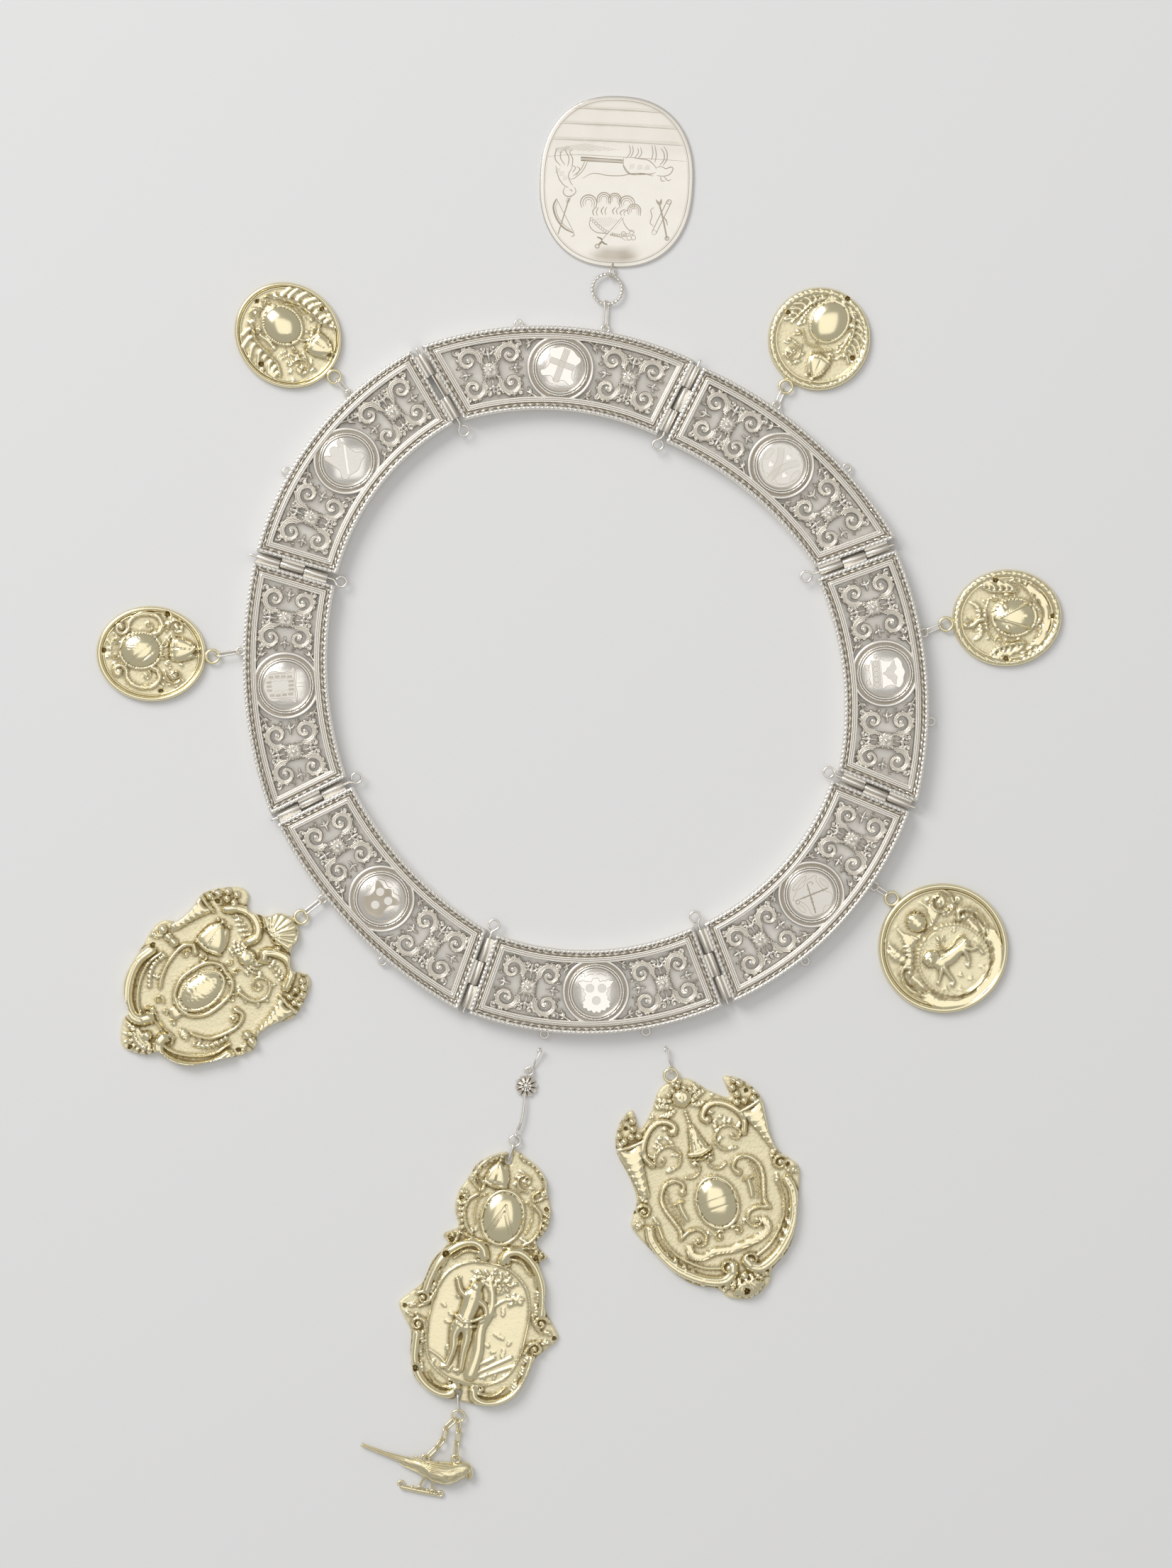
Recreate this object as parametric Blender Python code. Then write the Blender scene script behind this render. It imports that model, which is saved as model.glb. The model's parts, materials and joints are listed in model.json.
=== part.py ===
"""A guild chain: a silver collar of eight hinged box plates, hung with gilt medals.

The collar lies face up on a table, closed, with its medals laid out around it.
Metres, +Z up, +Y towards the plate that hangs at the nape. The origin is under
the middle of the whole layout, at table height.
"""
import math

import bmesh
import bpy
from mathutils import Matrix, Vector
from mathutils.geometry import delaunay_2d_cdt

MM = 0.001

# Collar
COLLAR_CENTRE = Vector((1.5 * MM, 49.4 * MM))
COLLAR_REACH = 130.0 * MM       # collar centre to the middle of the band
BAND_WIDTH = 35.5 * MM
ARC_SPANS = 5                   # straight faces along each curved edge

# Section of a box plate, from its outer edge inwards
BACK_THICKNESS = 1.0 * MM
WALL_THICKNESS = 1.2 * MM
ROPE_WIDTH = 1.6 * MM
ROPE_CREST = 0.4 * MM           # from the outer edge
ROPE_HEIGHT = 8.0 * MM
GROOVE_HEIGHT = 5.8 * MM
GROOVE_SLOPE = 0.8 * MM
FRAME_WIDTH = 1.8 * MM
FRAME_HEIGHT = 7.2 * MM
FRAME_FOOT = 0.3 * MM
PANEL_HEIGHT = 6.0 * MM
PANEL_THICKNESS = 1.0 * MM

# Pierced scrolls and rosettes of the panel
ROSETTE_AT = 0.544              # share of the room between the frame and the boss, from the frame
ROSETTE_REACH = 3.6 * MM
ROSETTE_WAIST = 1.7 * MM
ROSETTE_RISE = 0.8 * MM
ROSETTE_BUD = 2.0 * MM
PETALS = 4
SCROLL_ALONG = 0.295            # rosette to the eye of each scroll, as a share of that room
EYE_ALONG = 0.12                # half an eye along the plate, as a share of that room
SCROLL_ACROSS = 6.3 * MM
EYE_ACROSS = 3.6 * MM
EYE_SHAPE = (1.0, 1.0, 0.95, 0.9, 0.5, 0.85)   # share of half an eye, turn by turn
BOSS_SEAT = 14.2 * MM           # solid round seat under each boss
CORNER_GAP = ((0.58, 0.87), (1.20, 0.87), (0.94, 0.51))   # shares of BOSS_SEAT, along and across

# Bosses
BOSS_RADIUS = 12.1 * MM
BOSS_ROPE = 0.8 * MM            # radius taken by the rope edge, each slope
BOSS_FACE = 7.3 * MM
BOSS_EDGE = 6.9 * MM
BOSS_CREST = 7.8 * MM
BOSS_SIDES = 12
BOSS_LIFT = 0.3 * MM            # between a boss and the panel below it

# Hinges
HINGE_GAP = 2.3 * MM            # pin axis to the end wall of either plate
HINGE_HEIGHT = 4.0 * MM
KNUCKLE_RADIUS = 1.65 * MM
KNUCKLE_BORE = 1.08 * MM
KNUCKLE_SPAN = 31.0 * MM        # three knuckles and the gaps between them
KNUCKLE_PLAY = 0.4 * MM
KNUCKLE_SIDES = 8
KNUCKLE_MOUTH = 0.9             # share of its radius where the barrel runs into its leaf
BORE_SIDES = 6
LEAF_THICKNESS = 1.2 * MM
LEAF_ROOT = 0.6 * MM            # how deep a leaf is let into its wall
PIN_RADIUS = 0.6 * MM
PIN_TIP = 0.35 * MM
PIN_OUT = 1.0 * MM              # tip beyond the band's outer edge
PIN_LOOP_OUT = 3.8 * MM         # loop centre beyond the band's inner edge
PIN_LOOP_RADIUS = 2.2 * MM
PIN_WIRE = 0.48 * MM
PIN_SHOULDER = 0.8 * MM         # straight wire beyond the band's inner edge
PIN_LOOP_START = 55.0           # degrees, where the straight wire enters its loop
PIN_LOOP_STEP = 40.0
PIN_LOOP_POINTS = 8
CLASP_CLEARANCE = 1.05 * MM     # open pivot: pin axis to the cut-back knuckle

# Loops, links and rings of plain wire
WIRE_SIDES = 5
LOOP_SPANS = 10
EYELET_RADIUS = 1.65 * MM
EYELET_WIRE = 0.45 * MM
EYELET_STAND = 1.2 * MM
LINK_WIRE = 0.45 * MM
LINK_HALF = 1.75 * MM
LINK_PLAY = 0.35 * MM
LINK_TILT = 62.0                # degrees, from lying flat
WIRE_LEVEL = 2.2 * MM           # height of all linked wires above the table
BAIL_RADIUS = 2.75 * MM
BAIL_WIRE = 0.62 * MM
BAIL_ROOT = 0.5 * MM            # how deep a bail is let into its rim

# Nape plate
PLATE_WIDTH = 65.0 * MM
PLATE_LENGTH = 72.5 * MM
PLATE_THICKNESS = 1.4 * MM
PLATE_SQUARENESS = 2.35         # 2 is an ellipse, more is squarer
PLATE_SIDES = 24
PLATE_RING_RADIUS = 2.2 * MM
PLATE_RING_WIRE = 0.5 * MM
PLATE_RING_TILT = 60.0
NAPE_LINK_BEARING = 87.0        # eyelet to the middle of the twisted ring
NAPE_LINK_WAY = 16.9 * MM
NAPE_RING_BEARING = 73.5        # twisted ring to the plate's own ring
NAPE_BEARING = 87.3             # that ring to the middle of the plate
TWIST_RADIUS = 6.3 * MM
TWIST_WIRE = 0.65 * MM
TWIST_SPANS = 14
NECK_WIRE = 0.58 * MM           # short wire that holds the plate's ring
NECK_ROOT = 2.0 * MM

# Round medals
MEDAL_SIDES = 16
MEDAL_LENGTH = 46.0 * MM        # a usual one, with its rim
MEDAL_EDGE = 2.2 * MM
MEDAL_FIELD = 1.6 * MM
MEDAL_RIM_HEIGHT = 2.9 * MM
MEDAL_RIM_WIDTH = 1.9 * MM
DOME_RISE = 2.4 * MM
DOME_TIERS = ((0.83, 0.68), (0.45, 1.0))   # shares of its size and rise
RIDGE_RISE = 1.3 * MM
WIDE_DOME = 10.0 * MM           # wider ones are flat discs
MITRE_STAND = 7.5 * MM          # dome's edge to the brim of the mitre
MITRE_RISE = 1.7 * MM
MITRE = ((-0.10, 0.0), (0.0, 0.07), (0.07, 0.05), (0.07, -0.05), (0.0, -0.07))   # shares of its length
SCROLL_STAND = 3.4 * MM         # dome's edge to the foot of a scroll
SCROLL_START = 30.0
SCROLL_TURN = 110.0
SCROLL_CURL = 0.12
SCROLL_WIDTHS = (1.2 * MM, 1.4 * MM, 1.1 * MM)

# Shields and the two-part medal
SHIELD_THICKNESS = 2.4 * MM
RELIEF_RISE = 1.8 * MM
HOLE_RADIUS = 1.25 * MM
HOLE_LINK_HALF = 1.7 * MM
THROAT_WIDTH = 2.6 * MM
THROAT_HEIGHT = 1.25 * MM
THROAT_REACH = 8.0 * MM

# Shield at the lower left, below a shell: shares of half its width and of its length
SHELL_SIZE = (66.0 * MM, 50.0 * MM)
SHELL_DOME = (9.5 * MM, 12.0 * MM)
SHELL_OUTLINE = (
    (0.00, 0.98), (0.20, 0.91), (0.27, 0.80), (0.48, 0.71), (0.64, 0.79), (0.80, 0.74),
    (0.98, 0.50), (0.91, 0.32), (0.90, 0.16), (1.00, 0.08), (1.00, -0.03), (0.89, -0.20),
    (0.73, -0.44), (0.55, -0.56), (0.32, -0.62), (0.26, -0.71), (0.00, -0.83),
)
SHELL_RELIEF = (
    (((0.10, 0.58), (0.28, 0.66), (0.48, 0.60), (0.58, 0.46), (0.52, 0.32)), 1.8),
    (((0.70, 0.72), (0.80, 0.62), (0.84, 0.49), (0.80, 0.36), (0.72, 0.26)), 1.7),
    (((0.86, 0.00), (0.80, -0.17), (0.62, -0.37), (0.38, -0.50), (0.20, -0.44)), 1.8),
)
SHELL_LINK_BEARING = 218.3      # eyelet to the bail
SHELL_LINK_WAY = 11.8 * MM
SHELL_BEARING = 36.0            # dome to the bail

# Shield at the lower right, with horns of plenty; it lies unhooked
HORN_SIZE = (74.8 * MM, 55.0 * MM)
HORN_DOME = (9.3 * MM, 11.1 * MM)
HORN_OUTLINE = (
    (0.00, 0.99), (0.17, 0.97), (0.36, 0.82), (0.54, 0.73), (0.55, 0.89), (0.75, 0.81),
    (0.87, 0.64), (0.83, 0.38), (0.85, 0.22), (0.95, 0.12), (1.00, 0.02), (0.84, -0.24),
    (0.72, -0.40), (0.57, -0.53), (0.32, -0.63), (0.24, -0.72), (0.00, -0.78),
)
HORN_RELIEF = (
    (((0.12, 0.60), (0.22, 0.72), (0.42, 0.66), (0.58, 0.50), (0.60, 0.34)), 1.7),
    (((0.62, 0.80), (0.74, 0.70), (0.76, 0.56), (0.74, 0.42), (0.68, 0.28)), 2.2),
    (((0.34, 0.20), (0.46, 0.26), (0.54, 0.12), (0.50, -0.04), (0.40, -0.18)), 1.5),
    (((0.14, -0.40), (0.24, -0.52), (0.48, -0.46), (0.68, -0.26), (0.76, -0.06)), 1.9),
)
HORN_TIP_BEARING = -36.2        # unused eyelet to the hook's end
HORN_TIP_WAY = 11.0 * MM
HORN_HOOK_BEARING = 278.1       # hook's end to the bail
HORN_HOOK_LENGTH = 12.1 * MM
HORN_BEARING = 110.0
HOOK_BEND = 1.3 * MM
HOOK_EYE = (70, 110, 150, 190, 230, 270, 310)     # degrees round the eye that holds a ring
HOOK_TURN = (-90, -45, 0, 45, 90, 135)            # degrees round the turned-up end
HOOK_BELLY = 0.4                # where the shank sags, as a share of its length

# Two-part medal at the lower left, unhooked below its flower
TWO_PART_SIZE = (68.8 * MM, 75.0 * MM)
TWO_PART_OUTLINE = (
    (0.00, 1.00), (0.28, 0.94), (0.44, 0.87), (0.49, 0.80), (0.58, 0.70), (0.58, 0.60),
    (0.49, 0.51), (0.65, 0.45), (0.58, 0.40), (0.71, 0.29), (0.77, 0.16), (0.89, 0.09),
    (1.00, 0.02), (0.91, -0.05), (0.78, -0.13), (0.73, -0.24), (0.62, -0.37), (0.37, -0.44),
    (0.00, -0.45),
)
TWO_PART_DOMES = ((0.01, 0.62, 0.26, 0.145), (-0.04, -0.02, 0.12, 0.27))
TWO_PART_RELIEF = (
    (((0.06, 0.38), (0.26, 0.41), (0.48, 0.34), (0.60, 0.22), (0.58, 0.10)), 1.8),
    (((0.14, -0.32), (0.32, -0.37), (0.50, -0.31), (0.60, -0.20), (0.60, -0.08)), 1.8),
    (((0.32, 0.74), (0.42, 0.70), (0.46, 0.62), (0.42, 0.54), (0.34, 0.50)), 1.4),
)
TWO_PART_HOLES = ((-0.067, 0.935), (-0.052, -0.411))
TWO_PART_BEARING = 77.5
TOP_HOLE_BEARING = 250.2        # jump ring to the upper hole
TOP_HOLE_WAY = 8.7 * MM
LEFT_TIP_BEARING = 260.2        # unused eyelet to the hook's end
LEFT_TIP_WAY = 6.5 * MM
LEFT_HOOK_BEARING = 240.0       # hook's end to the flower's ring
LEFT_HOOK_LENGTH = 10.75 * MM
FLOWER_BEARING = 258.5
FLOWER_RADIUS = 4.8 * MM
FLOWER_HEIGHT = 2.7 * MM
FLOWER_PETALS = 10
FLOWER_TIERS = ((0.68, 0.0), (1.0, 1.0), (0.35, 0.7))   # shares of its radius and height
FLOWER_BUD = 1.25               # share of its height
SHANK_LENGTH = 23.6 * MM
SHANK_BEND = 0.9 * MM
SHANK_WIRE = 0.55 * MM
SHANK_ROOT = 0.7                # share of the flower's radius
SHANK_BENDS = (0.4, 0.75)       # shares of its length
SHANK_EYE = 1.35 * MM
SHANK_EYE_WIRE = 0.42 * MM
JUMP_RADIUS = 2.25 * MM

# Bird and its two short chains
GOLD_RING_RADIUS = 2.6 * MM
GOLD_RING_BEARING = 271.1       # lower hole to the gold ring
GOLD_RING_WAY = 9.5 * MM
STRAND_WIRE = 0.42 * MM
STRAND_HALF = 1.55 * MM
STRAND_TILT = 60.0
BIRD_BEARING = 254.4            # gold ring to the bird's middle
BIRD_WAY = 24.2 * MM
BIRD_FLATNESS = 0.66
STRAND_LAP = 0.82               # how far neighbouring links run into each other, as a share of their wire
# Millimetres from the bird's middle to each place where two links meet
STRANDS = (
    ("left_strand", ((1.2, 18.2), (0.2, 13.4), (-2.4, 10.2))),
    ("right_strand", ((6.8, 17.0), (6.0, 12.1))),
)
# Millimetres from the bird's middle: across, up, height above the table, radius
BIRD_BODY = (
    (-34.6, 11.0, 1.3, 0.8), (-23.9, 7.2, 1.6, 1.1), (-12.5, 3.4, 2.2, 2.2), (-6.0, 0.4, 3.0, 3.8),
    (0.0, -1.0, 3.4, 4.9), (5.0, -0.5, 3.2, 4.3), (8.6, 0.8, 3.0, 3.2), (10.8, 1.0, 3.0, 2.4),
    (12.2, 0.9, 3.0, 1.2),
)
BIRD_BEAK = ((11.0, 0.8, 3.0, 1.3), (11.7, -1.6, 3.0, 1.0), (10.6, -4.1, 3.0, 0.3))
BIRD_PERCH = (
    (-18.5, -4.1, 1.1, 0.5), (-19.4, -5.7, 1.1, 0.6), (-17.7, -6.8, 1.1, 0.9), (-1.9, -10.4, 1.1, 0.9),
    (-0.4, -9.5, 1.1, 0.6), (-1.4, -8.0, 1.1, 0.5),
)
BIRD_LEGS = (
    ((-7.0, -0.8, 2.6, 0.9), (-10.4, -8.3, 1.2, 0.5)),
    ((-3.4, -2.6, 2.6, 0.9), (-4.6, -9.7, 1.2, 0.5)),
)
BIRD_RINGS = ((-7.4, 5.3), (5.4, 5.1))

# Bodies of the collar as it opens: plate, what it hangs on, and their hinge
TREE = (
    ("lower_left", "bottom", "bottom_left"),
    ("left", "lower_left", "left_lower"),
    ("upper_left", "left", "left_upper"),
    ("lower_right", "bottom", "bottom_right"),
    ("right", "lower_right", "right_lower"),
    ("upper_right", "right", "right_upper"),
    ("top", "upper_right", "top_right"),
)

# Colours
SILVER = (0.72, 0.70, 0.66, 1.0)
GILT = (0.83, 0.70, 0.42, 1.0)

# One row for each hinge, counterclockwise from the upper right:
# name, bearing from the collar centre in degrees, reach as a share of
# COLLAR_REACH, and how far its pin leans from the radius in degrees
HINGES = (
    ("top_right", 70.6, 0.966, -7.3),
    ("top_left", 116.3, 1.063, 3.7),
    ("left_upper", 158.9, 1.012, 4.5),
    ("left_lower", 204.1, 0.967, 2.3),
    ("bottom_left", 250.3, 1.012, 0.1),
    ("bottom_right", 294.5, 1.017, -3.9),
    ("right_lower", 339.0, 1.020, -1.4),
    ("right_upper", 383.9, 0.965, -3.7),
)
CLASP = "top_left"

# One row for each plate, in the same order: name, where its curve is centred
# (from the collar centre) and its radius at mid band, as shares of COLLAR_REACH,
# and its two eyelets as shares of its length (the first carries a medal, if it has one)
PLATES = (
    ("top", -0.1362, -0.0123, 1.0269, (0.345, 0.665)),
    ("upper_left", -0.0354, 0.1469, 0.9231, (0.292, 0.672)),
    ("left", 0.3369, 0.0623, 1.3038, (0.351,)),
    ("lower_left", 0.2815, 0.1800, 1.2915, (0.342, 0.678)),
    ("bottom", 0.0108, -0.0369, 0.9769, (0.300, 0.684)),
    ("lower_right", 0.0423, -0.0585, 0.9477, (0.682, 0.300)),
    ("right", -0.1746, -0.0900, 1.1615, (0.645, 0.296)),
    ("upper_right", -0.1677, -0.2446, 1.2431, (0.667, 0.300)),
)

# One row for each round medal: name, plate, bearing and length of the way from
# eyelet to bail, bearing from bail to medal centre, length and width of the
# medal, radius of its dome, and how far the dome lies beyond the centre. Lengths
# are shares of MEDAL_LENGTH
MEDALS = (
    ("upper_left_medal", "upper_left", 128.0, 0.204, 138.0, 1.022, 0.935, 0.170, 0.122),
    ("left_medal", "left", 189.0, 0.259, 177.5, 1.009, 0.878, 0.170, 0.104),
    ("upper_right_medal", "upper_right", 66.0, 0.193, 55.0, 0.957, 0.935, 0.176, 0.152),
    ("right_medal", "right", 23.0, 0.217, 5.9, 1.009, 0.891, 0.174, 0.078),
    ("lower_right_medal", "lower_right", 327.0, 0.193, 316.0, 1.196, 1.187, 0.333, 0.117),
)


def unit(bearing):
    """Flat unit vector at a bearing in degrees."""
    angle = math.radians(bearing)
    return Vector((math.cos(angle), math.sin(angle)))


def left_of(direction):
    """The flat direction a quarter turn counterclockwise."""
    return Vector((-direction.y, direction.x))


def at_height(point, height):
    return Vector((point[0], point[1], height))


def finish(name, colour, roughness):
    material = bpy.data.materials.new(name)
    material.use_nodes = True
    shader = material.node_tree.nodes["Principled BSDF"]
    shader.inputs["Base Color"].default_value = colour
    shader.inputs["Metallic"].default_value = 1.0
    shader.inputs["Roughness"].default_value = roughness
    material.diffuse_color = colour
    return material


class Body:
    """A part of the collar that moves as one; its X axis is its joint axis."""

    def __init__(self, name, place, parent=None):
        self.place = place
        self.frame = bpy.data.objects.new(name, None)
        bpy.context.scene.collection.objects.link(self.frame)
        self.frame.empty_display_size = 0.01
        if parent:
            self.frame.parent = parent.frame
            place = parent.place.inverted() @ place
        self.frame.matrix_basis = place


def add_piece(name, shape, material, body):
    """Turn a mesh that was built in place into one named object under its body."""
    bmesh.ops.remove_doubles(shape, verts=shape.verts, dist=1e-7)
    bmesh.ops.recalc_face_normals(shape, faces=shape.faces)
    mesh = bpy.data.meshes.new(name)
    shape.to_mesh(mesh)
    shape.free()
    mesh.transform(body.place.inverted())
    mesh.materials.append(material)
    piece = bpy.data.objects.new(name, mesh)
    piece.parent = body.frame
    bpy.context.scene.collection.objects.link(piece)
    return piece


def loop(shape, points, height):
    """A closed row of vertices over flat points, at one height."""
    return [shape.verts.new(at_height(point, height)) for point in points]


def bridge(shape, first, second):
    """Quads between two rows with the same number of vertices."""
    count = len(first)
    for i in range(count):
        j = (i + 1) % count
        shape.faces.new((first[i], first[j], second[j], second[i]))


def inside(point, outline):
    """Whether a flat point lies within a closed outline."""
    crossings = 0
    for start, end in zip(outline, outline[1:] + outline[:1]):
        if (start.y > point.y) != (end.y > point.y):
            share = (point.y - start.y) / (end.y - start.y)
            if point.x < start.x + share * (end.x - start.x):
                crossings += 1
    return crossings % 2 == 1


def fill(shape, outer, holes=(), axes=(Vector((1, 0, 0)), Vector((0, 1, 0)))):
    """Flat triangles between an outer row of vertices and the rows of its holes."""
    rows = [list(outer)] + [list(hole) for hole in holes]
    flat_rows = [[Vector((v.co.dot(axes[0]), v.co.dot(axes[1]))) / MM for v in row] for row in rows]
    verts = [v for row in rows for v in row]
    points = [p for row in flat_rows for p in row]
    edges = []
    for row in rows:
        first = len(edges)
        edges += [(first + i, first + (i + 1) % len(row)) for i in range(len(row))]
    result = delaunay_2d_cdt(points, edges, [], 0, 1e-6)
    source = [ids[0] for ids in result[3]]
    for face in result[2]:
        corners = [source[i] for i in face]
        middle = sum((points[i] for i in corners), Vector((0, 0))) / 3
        if inside(middle, flat_rows[0]) and not any(inside(middle, row) for row in flat_rows[1:]):
            shape.faces.new([verts[i] for i in corners])


def raise_patch(shape, foot, tiers, tip=None):
    """Raise a row of vertices in tiers of (share of its size, height), then close it."""
    middle = sum((v.co for v in foot), Vector()) / len(foot)
    row = foot
    for share, height in tiers:
        points = [middle.lerp(v.co, share) for v in foot]
        upper = loop(shape, points, height)
        bridge(shape, row, upper)
        row = upper
    if tip is None:
        fill(shape, row)
        return
    top = shape.verts.new(at_height(middle, tip))
    for i, vert in enumerate(row):
        shape.faces.new((vert, row[(i + 1) % len(row)], top))


def ridge_foot(path, widths):
    """Outline of a raised scroll: pointed ends, given half widths in between."""
    left, right = [], []
    for i in range(1, len(path) - 1):
        side = left_of((path[i + 1] - path[i - 1]).normalized()) * widths[i - 1]
        left.append(path[i] + side)
        right.append(path[i] - side)
    return [path[0]] + left + [path[-1]] + right[::-1]


def raise_ridge(shape, foot, height):
    """Raise the footprint of a scroll to a crest along its middle."""
    steps = len(foot) // 2 - 1
    left = foot[1:steps + 1]
    right = foot[:steps + 1:-1]
    crest = [shape.verts.new(at_height((a.co + b.co) / 2, height)) for a, b in zip(left, right)]
    for side in (left, right):
        shape.faces.new((foot[0], side[0], crest[0]))
        shape.faces.new((side[-1], foot[steps + 1], crest[-1]))
        for i in range(steps - 1):
            shape.faces.new((side[i], side[i + 1], crest[i + 1], crest[i]))


def sweep(shape, path, radii, closed=False, sides=WIRE_SIDES, flatten=1.0):
    """Wire along a path of points, with a radius for each point."""
    count = len(path)
    rows = []
    normal = None
    for i, point in enumerate(path):
        before = path[i - 1] if closed or i > 0 else point
        after = path[(i + 1) % count] if closed or i < count - 1 else point
        along = (after - before).normalized()
        if normal is None:
            bend = (path[-1] - path[1]).cross(path[1] - path[0])
            normal = bend if bend.length > 1e-12 else Vector((0, 0, 1))
        normal = (normal - along * normal.dot(along)).normalized()
        across = along.cross(normal)
        row = []
        for k in range(sides):
            angle = 2 * math.pi * k / sides
            offset = (across * math.cos(angle) + normal * math.sin(angle)) * radii[i]
            offset.z *= flatten
            row.append(shape.verts.new(point + offset))
        rows.append(row)
    for first, second in zip(rows, rows[1:] + (rows[:1] if closed else [])):
        bridge(shape, first, second)
    if not closed:
        shape.faces.new(rows[0])
        shape.faces.new(rows[-1][::-1])


def solder(base, *parts):
    """Union of one mesh with others that are let into it; all are consumed."""
    return boolean(base, "UNION", parts)


def boolean(base, operation, parts):
    objects = []
    for shape in (base,) + tuple(parts):
        bmesh.ops.recalc_face_normals(shape, faces=shape.faces)
        mesh = bpy.data.meshes.new("blank")
        shape.to_mesh(mesh)
        shape.free()
        mesh.transform(Matrix.Scale(1 / MM, 4))
        blank = bpy.data.objects.new("blank", mesh)
        blank.hide_render = True
        blank.display_type = "WIRE"
        bpy.context.scene.collection.objects.link(blank)
        objects.append(blank)
    body = objects[0]
    for other in objects[1:]:
        cut = body.modifiers.new("joint", "BOOLEAN")
        cut.operation = operation
        cut.solver = "EXACT"
        cut.object = other
    depsgraph = bpy.context.evaluated_depsgraph_get()
    made = bpy.data.meshes.new_from_object(body.evaluated_get(depsgraph))
    made.transform(Matrix.Scale(MM, 4))
    result = bmesh.new()
    result.from_mesh(made)
    for blank in objects:
        mesh = blank.data
        bpy.data.objects.remove(blank)
        bpy.data.meshes.remove(mesh)
    bpy.data.meshes.remove(made)
    return result


def ring_path(centre, radius, spans, across, up):
    """Points of a circle in the plane of two directions."""
    turns = [2 * math.pi * i / spans for i in range(spans)]
    return [centre + (across * math.cos(t) + up * math.sin(t)) * radius for t in turns]


def flat_ring(shape, centre, radius, wire, spans=LOOP_SPANS):
    path = ring_path(centre, radius, spans, Vector((1, 0, 0)), Vector((0, 1, 0)))
    sweep(shape, path, [wire] * spans, closed=True)


def tilted(bearing, tilt):
    """Direction across a link: level at tilt 0, upright at tilt 90."""
    across = left_of(unit(bearing)) * math.cos(math.radians(tilt))
    return at_height(across, math.sin(math.radians(tilt)))


def oval_path(start, end, half, up):
    """Points of an oval between its two extreme points, half as wide as given."""
    along = (end - start).normalized()
    points = []
    for centre, forward in ((end - along * half, along), (start + along * half, -along)):
        side = up if forward is along else -up
        for turn in (-90, -45, 0, 45, 90):
            angle = math.radians(turn)
            points.append(centre + (forward * math.cos(angle) + side * math.sin(angle)) * half)
    return points


def oval_link(shape, start, end, tilt=LINK_TILT, half=LINK_HALF, wire=LINK_WIRE):
    flat = (end - start).to_2d()
    bearing = math.degrees(math.atan2(flat.y, flat.x))
    path = oval_path(start, end, half, tilted(bearing, tilt))
    sweep(shape, path, [wire] * len(path), closed=True)


def hook_end(centre, radius, ring_wire, wire, towards):
    """Extreme point of a link that hangs in a ring, on the side of its neighbour."""
    return centre + towards * (radius - ring_wire - wire - LINK_PLAY)


class Hinge:
    """A pin line: the middle of the band, and the outward direction of the pin."""

    def __init__(self, name, bearing, reach, lean):
        self.name = name
        self.bearing = bearing
        self.middle = COLLAR_CENTRE + unit(bearing) * COLLAR_REACH * reach
        self.outward = unit(bearing + lean)
        self.ahead = left_of(self.outward)

    def point(self, reach, ahead=0.0, height=HINGE_HEIGHT):
        return at_height(self.middle + self.outward * reach + self.ahead * ahead, height)

    def matrix(self):
        axes = Matrix((at_height(self.outward, 0), at_height(self.ahead, 0), (0, 0, 1))).transposed()
        return Matrix.Translation(self.point(0)) @ axes.to_4x4()


class Plate:
    """A box plate between two hinges, curved along the collar."""

    def __init__(self, name, x, y, radius, eyelets, start, end):
        self.name = name
        self.eyelets = eyelets
        self.start = start
        self.end = end
        self.centre = COLLAR_CENTRE + Vector((x, y)) * COLLAR_REACH
        self.radius = radius * COLLAR_REACH
        self.first, self.last = self.span(0.0, 0.0)
        self.length = self.radius * math.radians(self.last - self.first)

    def level_with(self, hinge, side, reach, inset):
        """Bearing at which a curved line comes level with an end wall, or a line inside it."""
        way = hinge.middle - self.centre
        near = math.degrees(math.atan2(way.y, way.x)) - side * 8.0
        far = near + side * 30.0
        for _ in range(40):
            bearing = (near + far) / 2
            point = self.centre + unit(bearing) * (self.radius + reach)
            if side * (point - hinge.middle).dot(hinge.ahead) < HINGE_GAP + inset:
                near = bearing
            else:
                far = bearing
        return bearing

    def span(self, reach, inset):
        """Bearings of both ends of a curved line."""
        first = self.level_with(self.start, 1, reach, inset)
        last = self.level_with(self.end, -1, reach, inset)
        return first, first + (last - first) % 360

    def point(self, share, reach):
        """A flat point at a share of the length and a reach from mid band."""
        bearing = self.first + share * (self.last - self.first)
        return self.centre + unit(bearing) * (self.radius + reach)

    def outline(self, inset):
        edges = []
        for reach in (BAND_WIDTH / 2 - inset, inset - BAND_WIDTH / 2):
            first, last = self.span(reach, inset)
            step = (last - first) / ARC_SPANS
            edges.append([self.centre + unit(first + step * i) * (self.radius + reach)
                          for i in range(ARC_SPANS + 1)])
        return edges[0] + edges[1][::-1]

    def spot(self, along, across):
        """A flat point set out along the curve, from the middle of the plate."""
        return self.point(0.5 + along / self.length, across)

    def room(self):
        """Length of the panel on either side of the boss."""
        return self.length / 2 - BOSS_SEAT - section_steps()[-1][0]

    def rosette(self, way):
        """How far along one of the two rosettes lies."""
        return way * (BOSS_SEAT + self.room() * (1 - ROSETTE_AT))

    def eyelet(self, share):
        return at_height(self.point(share, BAND_WIDTH / 2 + EYELET_STAND), WIRE_LEVEL)


def section_steps():
    """Insets and heights of the box plate's section, from table to panel."""
    groove = ROPE_WIDTH + GROOVE_SLOPE
    frame = groove + FRAME_WIDTH
    return (
        (0.0, 0.0),
        (ROPE_CREST, ROPE_HEIGHT),
        (ROPE_WIDTH, GROOVE_HEIGHT),
        (groove, FRAME_HEIGHT),
        (frame, FRAME_HEIGHT),
        (frame + FRAME_FOOT, PANEL_HEIGHT),
    )


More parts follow.
